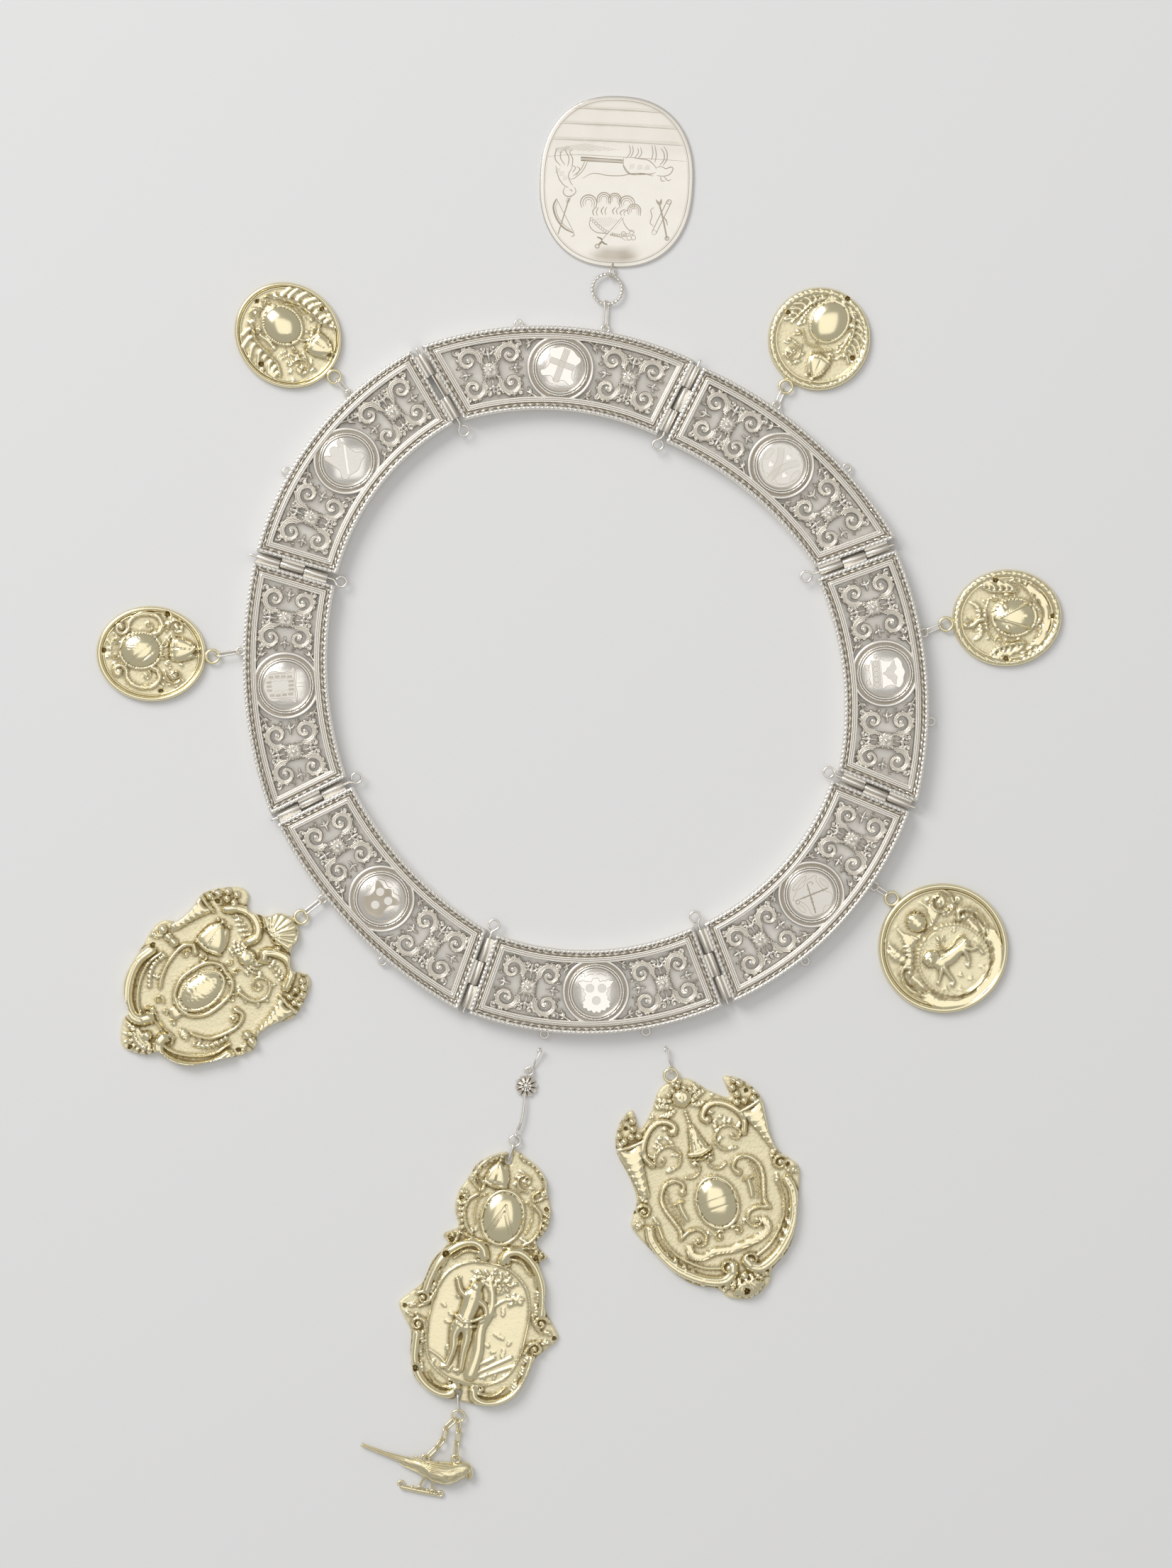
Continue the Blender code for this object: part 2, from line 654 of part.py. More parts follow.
def scroll_eyes(plate):
    """The pierced gaps of a panel: eight scroll eyes and four corners at the boss."""
    gaps = []
    room = plate.room()
    count = len(EYE_SHAPE)
    for way in (-1, 1):
        for along in (-1, 1):
            for across in (-1, 1):
                eye = []
                for i, size in enumerate(EYE_SHAPE):
                    turn = 2 * math.pi * i / count
                    x = along * (SCROLL_ALONG + math.cos(turn) * EYE_ALONG * size) * room
                    y = across * (SCROLL_ACROSS + math.sin(turn) * EYE_ACROSS * size)
                    eye.append(plate.spot(plate.rosette(way) - way * x, y))
                gaps.append(eye)
    for along in (-1, 1):
        for across in (-1, 1):
            corner = [plate.spot(along * x * BOSS_SEAT, across * y * BOSS_SEAT) for x, y in CORNER_GAP]
            gaps.append(corner)
    return gaps


def rosette_foot(plate, way):
    points = []
    for i in range(2 * PETALS):
        reach = ROSETTE_WAIST if i % 2 else ROSETTE_REACH
        turn = math.pi * (i + 1) / PETALS
        points.append(plate.spot(plate.rosette(way) + math.cos(turn) * reach, math.sin(turn) * reach))
    return points


def knuckle(hinge, first, last, side):
    """A hinge barrel with its leaf; side is 1 for the plate ahead, -1 for the one behind."""
    half_leaf = LEAF_THICKNESS / 2
    root = HINGE_GAP + LEAF_ROOT
    start_x = math.sqrt(KNUCKLE_RADIUS ** 2 - half_leaf ** 2)
    profile = []
    for i in range(KNUCKLE_SIDES):
        turn = 2 * math.pi * (i + 0.5) / KNUCKLE_SIDES
        x, z = KNUCKLE_RADIUS * math.cos(turn), KNUCKLE_RADIUS * math.sin(turn)
        if x < KNUCKLE_RADIUS * KNUCKLE_MOUTH:
            profile.append((x, z))
    profile += [(start_x, -half_leaf), (root, -half_leaf), (root, half_leaf), (start_x, half_leaf)]
    turns = [2 * math.pi * (i + 0.5) / BORE_SIDES for i in range(BORE_SIDES)]
    bore = [(KNUCKLE_BORE * math.cos(turn), KNUCKLE_BORE * math.sin(turn)) for turn in turns]
    return barrel(hinge, first, last, side, profile, bore)


def clasp_knuckle(hinge, first, last, side):
    """The knuckle at the open pivot, cut back so that it clears the pin both ways."""
    half_leaf = LEAF_THICKNESS / 2
    root = HINGE_GAP + LEAF_ROOT
    lip = math.sqrt(KNUCKLE_RADIUS ** 2 - CLASP_CLEARANCE ** 2)
    shoulder = (CLASP_CLEARANCE + KNUCKLE_RADIUS) / 2
    rise = math.sqrt(KNUCKLE_RADIUS ** 2 - shoulder ** 2)
    upper = [(root, half_leaf), (KNUCKLE_RADIUS, half_leaf), (shoulder, rise), (CLASP_CLEARANCE, lip)]
    lower = [(x, -z) for x, z in reversed(upper)]
    return barrel(hinge, first, last, side, upper + lower, [])


def barrel(hinge, first, last, side, profile, bore):
    shape = bmesh.new()
    axes = (at_height(hinge.ahead, 0), Vector((0, 0, 1)))
    rows = []
    for points in filter(None, (profile, bore)):
        ends = []
        for reach in (first, last):
            ends.append([shape.verts.new(hinge.point(reach, side * x, HINGE_HEIGHT + z)) for x, z in points])
        bridge(shape, ends[0], ends[1])
        rows.append(ends)
    for end in (0, 1):
        fill(shape, rows[0][end], [row[end] for row in rows[1:]], axes)
    return shape


def knuckle_spans():
    """Reach along the pin of the inner, middle and outer knuckle."""
    length = (KNUCKLE_SPAN - 2 * KNUCKLE_PLAY) / 3
    step = length + KNUCKLE_PLAY
    return [(-length / 2 + i * step, length / 2 + i * step) for i in (-1, 0, 1)]


def box_plate(plate, material, body):
    shape = bmesh.new()
    rows = [loop(shape, plate.outline(inset), height) for inset, height in section_steps()]
    fill(shape, rows[0])
    for lower, upper in zip(rows, rows[1:]):
        bridge(shape, lower, upper)
    cavity = plate.outline(WALL_THICKNESS)
    floor = loop(shape, cavity, BACK_THICKNESS)
    ceiling = loop(shape, cavity, PANEL_HEIGHT - PANEL_THICKNESS)
    fill(shape, floor)
    bridge(shape, floor, ceiling)
    gaps = scroll_eyes(plate)
    above = [loop(shape, gap, PANEL_HEIGHT) for gap in gaps]
    below = [loop(shape, gap, PANEL_HEIGHT - PANEL_THICKNESS) for gap in gaps]
    for upper, lower in zip(above, below):
        bridge(shape, upper, lower)
    feet = [loop(shape, rosette_foot(plate, way), PANEL_HEIGHT) for way in (-1, 1)]
    fill(shape, rows[-1], above + feet)
    fill(shape, ceiling, below)
    for foot in feet:
        raise_patch(shape, foot, ((0.9, PANEL_HEIGHT + ROSETTE_RISE),), PANEL_HEIGHT + ROSETTE_BUD)
    inner, middle, outer = knuckle_spans()
    if plate.end.name == CLASP:
        parts = [clasp_knuckle(plate.end, *middle, -1)]
    else:
        parts = [knuckle(plate.end, *middle, -1)]
    parts += [knuckle(plate.start, *span, 1) for span in (inner, outer)]
    for share in plate.eyelets:
        ring = bmesh.new()
        flat_ring(ring, plate.eyelet(share), EYELET_RADIUS, EYELET_WIRE)
        parts.append(ring)
    return add_piece(plate.name + "_plate", solder(shape, *parts), material, body)


def boss(plate, material, body):
    """The round medallion on the middle of a plate, a hair above its seat."""
    shape = bmesh.new()
    centre = plate.point(0.5, 0)
    seat = PANEL_HEIGHT + BOSS_LIFT
    tiers = (
        (BOSS_RADIUS, seat),
        (BOSS_RADIUS, BOSS_EDGE),
        (BOSS_RADIUS - BOSS_ROPE, BOSS_CREST),
        (BOSS_RADIUS - 2 * BOSS_ROPE, BOSS_FACE),
    )
    rows = []
    for radius, height in tiers:
        points = [centre + unit(360 * i / BOSS_SIDES) * radius for i in range(BOSS_SIDES)]
        rows.append(loop(shape, points, height))
    fill(shape, rows[0])
    for lower, upper in zip(rows, rows[1:]):
        bridge(shape, lower, upper)
    fill(shape, rows[-1])
    return add_piece(plate.name + "_boss", shape, material, body)


def hinge_pin(hinge, material, body):
    """A straight pin with a tapered tip outside and a wire loop inside the collar."""
    edge = BAND_WIDTH / 2
    loop_middle = -edge - PIN_LOOP_OUT
    path = [hinge.point(reach) for reach in (edge + PIN_OUT, edge - PIN_OUT, -edge - PIN_SHOULDER)]
    radii = [PIN_TIP, PIN_RADIUS, PIN_RADIUS]
    for i in range(PIN_LOOP_POINTS):
        turn = math.radians(PIN_LOOP_START - i * PIN_LOOP_STEP)
        along = loop_middle + PIN_LOOP_RADIUS * math.sin(turn)
        path.append(hinge.point(along, PIN_LOOP_RADIUS * math.cos(turn)))
        radii.append(PIN_WIRE)
    shape = bmesh.new()
    sweep(shape, path, radii)
    return add_piece(hinge.name + "_pin", shape, material, body)


def medal_outline(centre, bearing, length, width, sides, squareness=2.0):
    """A rounded outline whose length runs along the bearing."""
    points = []
    along, across = unit(bearing), left_of(unit(bearing))
    power = 2 / squareness
    for i in range(sides):
        turn = 2 * math.pi * i / sides
        c, s = math.cos(turn), math.sin(turn)
        x = math.copysign(abs(c) ** power, c) * length / 2
        y = math.copysign(abs(s) ** power, s) * width / 2
        points.append(centre + along * x + across * y)
    return points


def bail(centre):
    shape = bmesh.new()
    flat_ring(shape, at_height(centre, WIRE_LEVEL), BAIL_RADIUS, BAIL_WIRE)
    return shape


def scroll_path(middle, along, across, radius, start, turn, steps=4):
    """Points of a scroll that curls round the middle of a medal, closing in a little."""
    points = []
    for i in range(steps + 1):
        angle = math.radians(start + turn * i / steps)
        size = radius * (1 - SCROLL_CURL * i / steps)
        points.append(middle + along * size * math.cos(angle) + across * size * math.sin(angle))
    return points


def round_medal(row, plates, material, bodies):
    """A gilt medal with a raised rim, a domed cartouche, a mitre and two scrolls."""
    name, plate_name, link_bearing, link_way, bearing, length, width, dome, dome_out = row
    plate = plates[plate_name]
    eyelet = plate.eyelet(plate.eyelets[0])
    ring_centre = eyelet.to_2d() + unit(link_bearing) * link_way * MEDAL_LENGTH
    length, width, dome, dome_out = (size * MEDAL_LENGTH for size in (length, width, dome, dome_out))
    out = unit(bearing)
    centre = ring_centre + out * (BAIL_RADIUS + BAIL_WIRE - BAIL_ROOT + length / 2)
    shape = bmesh.new()
    rows = []
    for inset, height in (
            (0.0, 0.0),
            (0.0, MEDAL_EDGE),
            (MEDAL_RIM_WIDTH / 2, MEDAL_RIM_HEIGHT),
            (MEDAL_RIM_WIDTH, MEDAL_FIELD)):
        points = medal_outline(centre, bearing, length - 2 * inset, width - 2 * inset, MEDAL_SIDES)
        rows.append(loop(shape, points, height))
    fill(shape, rows[0])
    for lower, upper in zip(rows, rows[1:]):
        bridge(shape, lower, upper)
    along, across = out, left_of(out)
    middle = centre + out * dome_out
    dome_foot = loop(shape, [middle + unit(bearing + 45 * i) * dome for i in range(8)], MEDAL_FIELD)
    brim = middle - along * (dome + MITRE_STAND)
    mitre = [brim + along * (x * length) + across * (y * length) for x, y in MITRE]
    mitre_foot = loop(shape, mitre, MEDAL_FIELD)
    feet = []
    for side in (-1, 1):
        start, turn = side * SCROLL_START, side * SCROLL_TURN
        path = scroll_path(middle, along, across, dome + SCROLL_STAND, start, turn)
        feet.append(loop(shape, ridge_foot(path, SCROLL_WIDTHS), MEDAL_FIELD))
    fill(shape, rows[-1], [dome_foot, mitre_foot] + feet)
    rise = DOME_RISE if dome < WIDE_DOME else RIDGE_RISE
    raise_patch(shape, dome_foot, [(share, MEDAL_FIELD + rise * height) for share, height in DOME_TIERS])
    raise_patch(shape, mitre_foot, (), MEDAL_FIELD + MITRE_RISE)
    for foot in feet:
        raise_ridge(shape, foot, MEDAL_FIELD + RIDGE_RISE)
    ring_at = at_height(ring_centre, WIRE_LEVEL)
    body = bodies[plate_name]
    add_piece(name, solder(shape, bail(ring_centre)), material, body)
    return ring_at, eyelet, body


def linked(shape, first, first_radius, first_wire, second, second_radius, second_wire, tilt=LINK_TILT):
    """One oval link that joins two rings."""
    towards = (second - first).normalized()
    start = hook_end(first, first_radius, first_wire, LINK_WIRE, towards)
    end = hook_end(second, second_radius, second_wire, LINK_WIRE, -towards)
    oval_link(shape, start, end, tilt)


def upright_ring(shape, centre, radius, wire, bearing, tilt, spans=LOOP_SPANS):
    """A ring that stands in the plane of a bearing, tilted from lying flat."""
    path = ring_path(centre, radius, spans, at_height(unit(bearing), 0), tilted(bearing, tilt))
    sweep(shape, path, [wire] * spans, closed=True)


def nape_plate(plate, silver, body):
    """The plain engraved plate, its soldered ring, the twisted ring and the link."""
    eyelet = plate.eyelet(plate.eyelets[0])
    twist = eyelet + at_height(unit(NAPE_LINK_BEARING), 0) * NAPE_LINK_WAY
    inner = PLATE_RING_RADIUS - PLATE_RING_WIRE - TWIST_WIRE - LINK_PLAY
    out = unit(NAPE_RING_BEARING)
    ring = twist.to_2d() + out * (TWIST_RADIUS + inner)
    level = PLATE_RING_RADIUS * math.sin(math.radians(PLATE_RING_TILT)) + PLATE_RING_WIRE
    shape = bmesh.new()
    upright_ring(shape, at_height(ring, level), PLATE_RING_RADIUS, PLATE_RING_WIRE,
                 NAPE_RING_BEARING, PLATE_RING_TILT)
    edge = ring + unit(NAPE_BEARING) * (PLATE_RING_RADIUS + PLATE_RING_WIRE)
    neck = bmesh.new()
    near = at_height(ring + unit(NAPE_BEARING) * PLATE_RING_RADIUS, level)
    deep = at_height(edge + unit(NAPE_BEARING) * NECK_ROOT, PLATE_THICKNESS / 2)
    sweep(neck, [near, deep], [NECK_WIRE, NECK_WIRE])
    centre = edge + unit(NAPE_BEARING) * (PLATE_LENGTH / 2)
    base = bmesh.new()
    outline = medal_outline(centre, NAPE_BEARING, PLATE_LENGTH, PLATE_WIDTH, PLATE_SIDES, PLATE_SQUARENESS)
    rows = [loop(base, outline, height) for height in (0.0, PLATE_THICKNESS)]
    fill(base, rows[0])
    bridge(base, *rows)
    fill(base, rows[1])
    add_piece("nape_plate", solder(base, shape, neck), silver, body)
    twisted = bmesh.new()
    flat_ring(twisted, twist, TWIST_RADIUS, TWIST_WIRE, spans=TWIST_SPANS)
    add_piece("twisted_ring", twisted, silver, body)
    join = bmesh.new()
    linked(join, eyelet, EYELET_RADIUS, EYELET_WIRE, twist, TWIST_RADIUS, TWIST_WIRE)
    add_piece("nape_link", join, silver, body)


def hook(shape, ring, ring_radius, bearing, reach):
    """An open wire hook: an eye round one ring's wire, a shank and a turned-up end."""
    along = at_height(unit(bearing), 0)
    up = tilted(bearing, LINK_TILT)
    eye = ring + along * ring_radius
    length = reach - ring_radius

    def round_points(middle, radius, turns):
        angles = [math.radians(turn) for turn in turns]
        return [middle + (along * math.cos(a) + up * math.sin(a)) * radius for a in angles]

    points = round_points(eye, LINK_HALF, HOOK_EYE)
    sag = LINK_HALF - HOOK_BEND
    points.append(eye + along * (length * HOOK_BELLY) - up * sag)
    points += round_points(eye + along * (length - HOOK_BEND) + up * (HOOK_BEND - sag), HOOK_BEND, HOOK_TURN)
    sweep(shape, points, [LINK_WIRE] * len(points))


def half_shape(table, width, length):
    """Both halves of an outline from the shares of one half, counterclockwise."""
    right = [Vector((x * width / 2, y * length)) for x, y in table]
    left = [Vector((-p.x, p.y)) for p in right[1:-1]]
    return left + right[::-1]


def cast_medal(centre, bearing, outline, domes, ridges, holes=()):
    """A flat-backed cast medal: outline, domed cartouches and raised scrolls."""
    up = unit(bearing)
    right = -left_of(up)

    def place(point):
        return centre + right * point.x + up * point.y

    shape = bmesh.new()
    rows = [loop(shape, [place(p) for p in outline], height) for height in (0.0, SHIELD_THICKNESS)]
    bridge(shape, *rows)
    dome_feet = []
    for x, y, across, length in domes:
        ring = [Vector((x + across * unit(45 * i).x, y + length * unit(45 * i).y)) for i in range(8)]
        dome_feet.append(loop(shape, [place(p) for p in ring], SHIELD_THICKNESS))
    ridge_feet = []
    for path, widths in ridges:
        for side in (1, -1):
            points = [place(Vector((side * p.x, p.y))) for p in path]
            ridge_feet.append(loop(shape, ridge_foot(points, widths), SHIELD_THICKNESS))
    tubes = [[loop(shape, [place(p) for p in ring], height) for height in (0.0, SHIELD_THICKNESS)]
             for ring in holes]
    fill(shape, rows[0], [tube[0] for tube in tubes])
    fill(shape, rows[1], dome_feet + ridge_feet + [tube[1] for tube in tubes])
    for tube in tubes:
        bridge(shape, *tube)
    for foot in dome_feet:
        tiers = [(share, SHIELD_THICKNESS + DOME_RISE * rise) for share, rise in DOME_TIERS]
        raise_patch(shape, foot, tiers)
    for foot in ridge_feet:
        raise_ridge(shape, foot, SHIELD_THICKNESS + RELIEF_RISE)
    return shape


def shares(points, width, length):
    return [Vector((x * width / 2, y * length)) for x, y in points]


def shield_relief(table, width, length):
    ridges = []
    for points, thickness in table:
        widths = [thickness * MM * share for share in (0.8, 1.0, 0.8)]
        ridges.append((shares(points, width, length), widths))
    return ridges


def shield(name, ring_centre, bearing, table, relief, dome, size, material, body):
    """A shield medal below its bail; bearing runs from its dome to the bail."""
    width, length = size
    rise = table[0][1] * length + BAIL_RADIUS + BAIL_WIRE - BAIL_ROOT
    centre = ring_centre.to_2d() - unit(bearing) * rise
    domes = [(0.0, 0.0, dome[0], dome[1])]
    outline = half_shape(table, width, length)
    shape = cast_medal(centre, bearing, outline, domes, shield_relief(relief, width, length))
    return add_piece(name, solder(shape, bail(ring_centre.to_2d())), material, body)


def throat(centre, bearing):
    """Cutter under the rim beside a hole, so that an upright link passes below."""
    shape = bmesh.new()
    along, across = unit(bearing), left_of(unit(bearing))
    corners = [centre + along * a + across * b for a, b in
               ((-HOLE_RADIUS, -THROAT_WIDTH / 2), (THROAT_REACH, -THROAT_WIDTH / 2),
                (THROAT_REACH, THROAT_WIDTH / 2), (-HOLE_RADIUS, THROAT_WIDTH / 2))]
    rows = [loop(shape, corners, height) for height in (-THROAT_HEIGHT, THROAT_HEIGHT)]
    fill(shape, rows[0])
    bridge(shape, *rows)
    fill(shape, rows[1])
    return shape


def two_part_medal(top_hole, bearing, gilt, body):
    """Two cartouches cast as one, with a hole at either end; gives the lower hole."""
    up = unit(bearing)
    right = -left_of(up)
    width, length = TWO_PART_SIZE
    places = [Vector((x * width / 2, y * length)) for x, y in TWO_PART_HOLES]
    centre = top_hole - right * places[0].x - up * places[0].y
    holes = [[place + unit(45 * i) * HOLE_RADIUS for i in range(8)] for place in places]
    domes = [(x * width / 2, y * length, a * width / 2, b * length) for x, y, a, b in TWO_PART_DOMES]
    outline = half_shape(TWO_PART_OUTLINE, width, length)
    shape = cast_medal(centre, bearing, outline, domes, shield_relief(TWO_PART_RELIEF, width, length), holes)
    lower_hole = centre + right * places[1].x + up * places[1].y
    shape = boolean(shape, "DIFFERENCE", (throat(top_hole, bearing), throat(lower_hole, bearing + 180)))
    add_piece("two_part_medal", shape, gilt, body)
    return lower_hole


def hole_link(name, hole, ring, radius, wire, material, body):
    """An upright link from a hole in a medal's rim to a flat ring."""
    towards = (ring - hole).normalized()
    end = hook_end(ring, radius, wire, LINK_WIRE, -towards)
    shape = bmesh.new()
    oval_link(shape, hole, end, tilt=90.0, half=HOLE_LINK_HALF)
    return add_piece(name, shape, material, body)


def flower(ring, bearing, silver, body):
    """A silver flower with its ring, and a bent shank that ends in an eye."""
    centre = ring.to_2d() + unit(bearing) * (FLOWER_RADIUS + EYELET_RADIUS)
    shape = bmesh.new()
    step = 360 / FLOWER_PETALS
    rows = []
    for share, height in FLOWER_TIERS:
        points = [centre + unit(step * i) * FLOWER_RADIUS * share for i in range(FLOWER_PETALS)]
        rows.append(loop(shape, points, height * FLOWER_HEIGHT))
    fill(shape, rows[0])
    bridge(shape, rows[0], rows[1])
    bridge(shape, rows[1], rows[2])
    raise_patch(shape, rows[2], (), FLOWER_HEIGHT * FLOWER_BUD)
    top = bmesh.new()
    flat_ring(top, ring, EYELET_RADIUS, EYELET_WIRE)
    jump = centre + unit(bearing) * SHANK_LENGTH
    eye = jump - unit(bearing) * JUMP_RADIUS
    eye_at = at_height(eye, WIRE_LEVEL)
    end = bmesh.new()
    upright_ring(end, eye_at, SHANK_EYE, SHANK_EYE_WIRE, bearing, 90.0)
    side = left_of(unit(bearing)) * SHANK_BEND
    start = centre + unit(bearing) * FLOWER_RADIUS * SHANK_ROOT
    stop = eye - unit(bearing) * SHANK_EYE
    path = [start] + [start.lerp(stop, share) + side for share in SHANK_BENDS] + [stop]
    shank = bmesh.new()
    sweep(shank, [at_height(p, WIRE_LEVEL) for p in path], [SHANK_WIRE] * len(path))
    add_piece("flower_hanger", solder(shape, top, shank, end), silver, body)
    return at_height(jump, WIRE_LEVEL)


def strand(name, first_ring, first_radius, joints, last_ring, last_radius, material, body):
    """A short chain between two flat rings: links turned to and fro, fused where they touch."""
    first, last = first_ring.to_2d(), last_ring.to_2d()
    start = first + (joints[0] - first).normalized() * first_radius
    end = last + (joints[-1] - last).normalized() * last_radius
    points = [start] + joints + [end]
    lap = STRAND_WIRE * STRAND_LAP
    hang = EYELET_WIRE + STRAND_WIRE + LINK_PLAY
    links = []
    for i, (a, b) in enumerate(zip(points, points[1:])):
        along = (b - a).normalized()
        before = hang if i == 0 else lap
        after = hang if i == len(joints) else lap
        tilt = STRAND_TILT if i % 2 == 0 else -STRAND_TILT
        shape = bmesh.new()
        oval_link(shape, at_height(a - along * before, WIRE_LEVEL), at_height(b + along * after, WIRE_LEVEL),
                  tilt, STRAND_HALF, STRAND_WIRE)
        links.append(shape)
    add_piece(name, solder(links[0], *links[1:]), material, body)


def bird(middle, gilt, body):
    """A parrot on a perch, cast in the round and lying on its side, with two rings."""
    def spot(x, y, z):
        return at_height(middle + Vector((x, y)) * MM, z * MM)

    shape = bmesh.new()
    sweep(shape, [spot(x, y, z) for x, y, z, r in BIRD_BODY], [r * MM for x, y, z, r in BIRD_BODY],
          sides=8, flatten=BIRD_FLATNESS)
    parts = []
    for rows in (BIRD_BEAK, BIRD_PERCH) + BIRD_LEGS:
        part = bmesh.new()
        sweep(part, [spot(x, y, z) for x, y, z, r in rows], [r * MM for x, y, z, r in rows], sides=6)
        parts.append(part)
    rings = [at_height(middle + Vector(place) * MM, WIRE_LEVEL) for place in BIRD_RINGS]
    for ring in rings:
        part = bmesh.new()
        flat_ring(part, ring, EYELET_RADIUS, EYELET_WIRE)
        parts.append(part)
    add_piece("bird", solder(shape, *parts), gilt, body)
    return rings


def build():
    for old in list(bpy.data.objects):
        bpy.data.objects.remove(old)
    silver = finish("silver", SILVER, 0.32)
    gilt = finish("gilt", GILT, 0.26)
    hinges = {row[0]: Hinge(*row) for row in HINGES}
    names = [row[0] for row in HINGES]
    plates = {}
    for i, row in enumerate(PLATES):
        plates[row[0]] = Plate(*row, hinges[names[i]], hinges[names[(i + 1) % len(names)]])

    bodies = {"bottom": Body("bottom_turn", Matrix.Identity(4))}
    for name, parent, hinge in TREE:
        bodies[name] = Body(name + "_turn", hinges[hinge].matrix(), bodies[parent])
    clasp = Body("clasp_slide", hinges[CLASP].matrix(), bodies["upper_left"])

    for name, plate in plates.items():
        box_plate(plate, silver, bodies[name])
        boss(plate, silver, bodies[name])
        hinge_pin(plate.start, silver, clasp if plate.start.name == CLASP else bodies[name])

    nape_plate(plates["top"], silver, bodies["top"])
    for row in MEDALS:
        ring, eyelet, body = round_medal(row, plates, gilt, bodies)
        join = bmesh.new()
        linked(join, eyelet, EYELET_RADIUS, EYELET_WIRE, ring, BAIL_RADIUS, BAIL_WIRE)
        add_piece(row[1] + "_link", join, silver, body)

    plate = plates["lower_left"]
    eyelet = plate.eyelet(plate.eyelets[0])
    ring = eyelet + at_height(unit(SHELL_LINK_BEARING), 0) * SHELL_LINK_WAY
    shield("shell_shield", ring, SHELL_BEARING, SHELL_OUTLINE, SHELL_RELIEF, SHELL_DOME, SHELL_SIZE,
           gilt, bodies["lower_left"])
    join = bmesh.new()
    linked(join, eyelet, EYELET_RADIUS, EYELET_WIRE, ring, BAIL_RADIUS, BAIL_WIRE)
    add_piece("lower_left_link", join, silver, bodies["lower_left"])

    root = bodies["bottom"]
    plate = plates["bottom"]
    tip = plate.eyelet(plate.eyelets[1]) + at_height(unit(HORN_TIP_BEARING), 0) * HORN_TIP_WAY
    ring = tip + at_height(unit(HORN_HOOK_BEARING), 0) * HORN_HOOK_LENGTH
    shape = bmesh.new()
    hook(shape, ring, BAIL_RADIUS, HORN_HOOK_BEARING + 180, HORN_HOOK_LENGTH)
    add_piece("right_hook", shape, silver, root)
    shield("horn_shield", ring, HORN_BEARING, HORN_OUTLINE, HORN_RELIEF, HORN_DOME, HORN_SIZE, gilt, root)

    tip = plate.eyelet(plate.eyelets[0]) + at_height(unit(LEFT_TIP_BEARING), 0) * LEFT_TIP_WAY
    ring = tip + at_height(unit(LEFT_HOOK_BEARING), 0) * LEFT_HOOK_LENGTH
    shape = bmesh.new()
    hook(shape, ring, EYELET_RADIUS, LEFT_HOOK_BEARING + 180, LEFT_HOOK_LENGTH)
    add_piece("left_hook", shape, silver, root)
    jump = flower(ring, FLOWER_BEARING, silver, root)
    shape = bmesh.new()
    flat_ring(shape, jump, JUMP_RADIUS, LINK_WIRE)
    add_piece("jump_ring", shape, silver, root)
    hole = jump.to_2d() + unit(TOP_HOLE_BEARING) * TOP_HOLE_WAY
    lower_hole = two_part_medal(hole, TWO_PART_BEARING, gilt, root)
    hole_link("upper_hole_link", at_height(hole, WIRE_LEVEL), jump, JUMP_RADIUS, LINK_WIRE, silver, root)
    gold = at_height(lower_hole + unit(GOLD_RING_BEARING) * GOLD_RING_WAY, WIRE_LEVEL)
    hole_link("lower_hole_link", at_height(lower_hole, WIRE_LEVEL), gold, GOLD_RING_RADIUS, EYELET_WIRE,
              silver, root)
    shape = bmesh.new()
    flat_ring(shape, gold, GOLD_RING_RADIUS, EYELET_WIRE)
    add_piece("gold_ring", shape, gilt, root)
    middle = gold.to_2d() + unit(BIRD_BEARING) * BIRD_WAY
    rings = bird(middle, gilt, root)
    for (name, joints), ring in zip(STRANDS, rings):
        joints = [middle + Vector(joint) * MM for joint in joints]
        strand(name, gold, GOLD_RING_RADIUS, joints, ring, EYELET_RADIUS, gilt, root)


if __name__ == "__main__":
    build()
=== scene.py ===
# %% [markdown]
# # A guild chain, shown lying on a table
#
# A guild chain is a collar of hinged silver plates that the head of a guild wears over the shoulders.
# Every plate is a shallow box with a pierced front, a rope edge and a round boss. Gilt medals, two
# shields and a bird hang from it. This lesson builds what is seen: it takes the places and heights from
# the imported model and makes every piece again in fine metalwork, from a few measures in millimetres.

# %% Load the frame
import json
import math
import bpy
import bmesh
import numpy as np
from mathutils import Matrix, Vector

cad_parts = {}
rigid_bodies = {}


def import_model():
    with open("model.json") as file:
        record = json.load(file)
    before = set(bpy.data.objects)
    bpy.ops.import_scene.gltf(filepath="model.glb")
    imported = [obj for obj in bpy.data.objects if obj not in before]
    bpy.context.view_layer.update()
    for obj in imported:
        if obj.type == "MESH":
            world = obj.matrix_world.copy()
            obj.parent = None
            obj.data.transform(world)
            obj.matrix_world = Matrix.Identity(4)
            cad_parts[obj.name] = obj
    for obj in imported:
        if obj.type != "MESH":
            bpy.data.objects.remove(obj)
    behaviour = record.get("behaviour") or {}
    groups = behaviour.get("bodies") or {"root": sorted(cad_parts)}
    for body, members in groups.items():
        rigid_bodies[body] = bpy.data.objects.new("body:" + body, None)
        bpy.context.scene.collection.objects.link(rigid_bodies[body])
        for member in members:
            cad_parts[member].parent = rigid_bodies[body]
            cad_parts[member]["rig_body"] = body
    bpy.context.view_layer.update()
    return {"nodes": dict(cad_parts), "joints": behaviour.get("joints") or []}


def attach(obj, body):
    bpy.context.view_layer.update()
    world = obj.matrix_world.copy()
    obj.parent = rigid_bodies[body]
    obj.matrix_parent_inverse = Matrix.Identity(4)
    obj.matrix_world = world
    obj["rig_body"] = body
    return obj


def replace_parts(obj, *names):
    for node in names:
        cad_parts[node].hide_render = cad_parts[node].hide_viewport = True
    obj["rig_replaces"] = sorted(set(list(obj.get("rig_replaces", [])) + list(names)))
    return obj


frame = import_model()

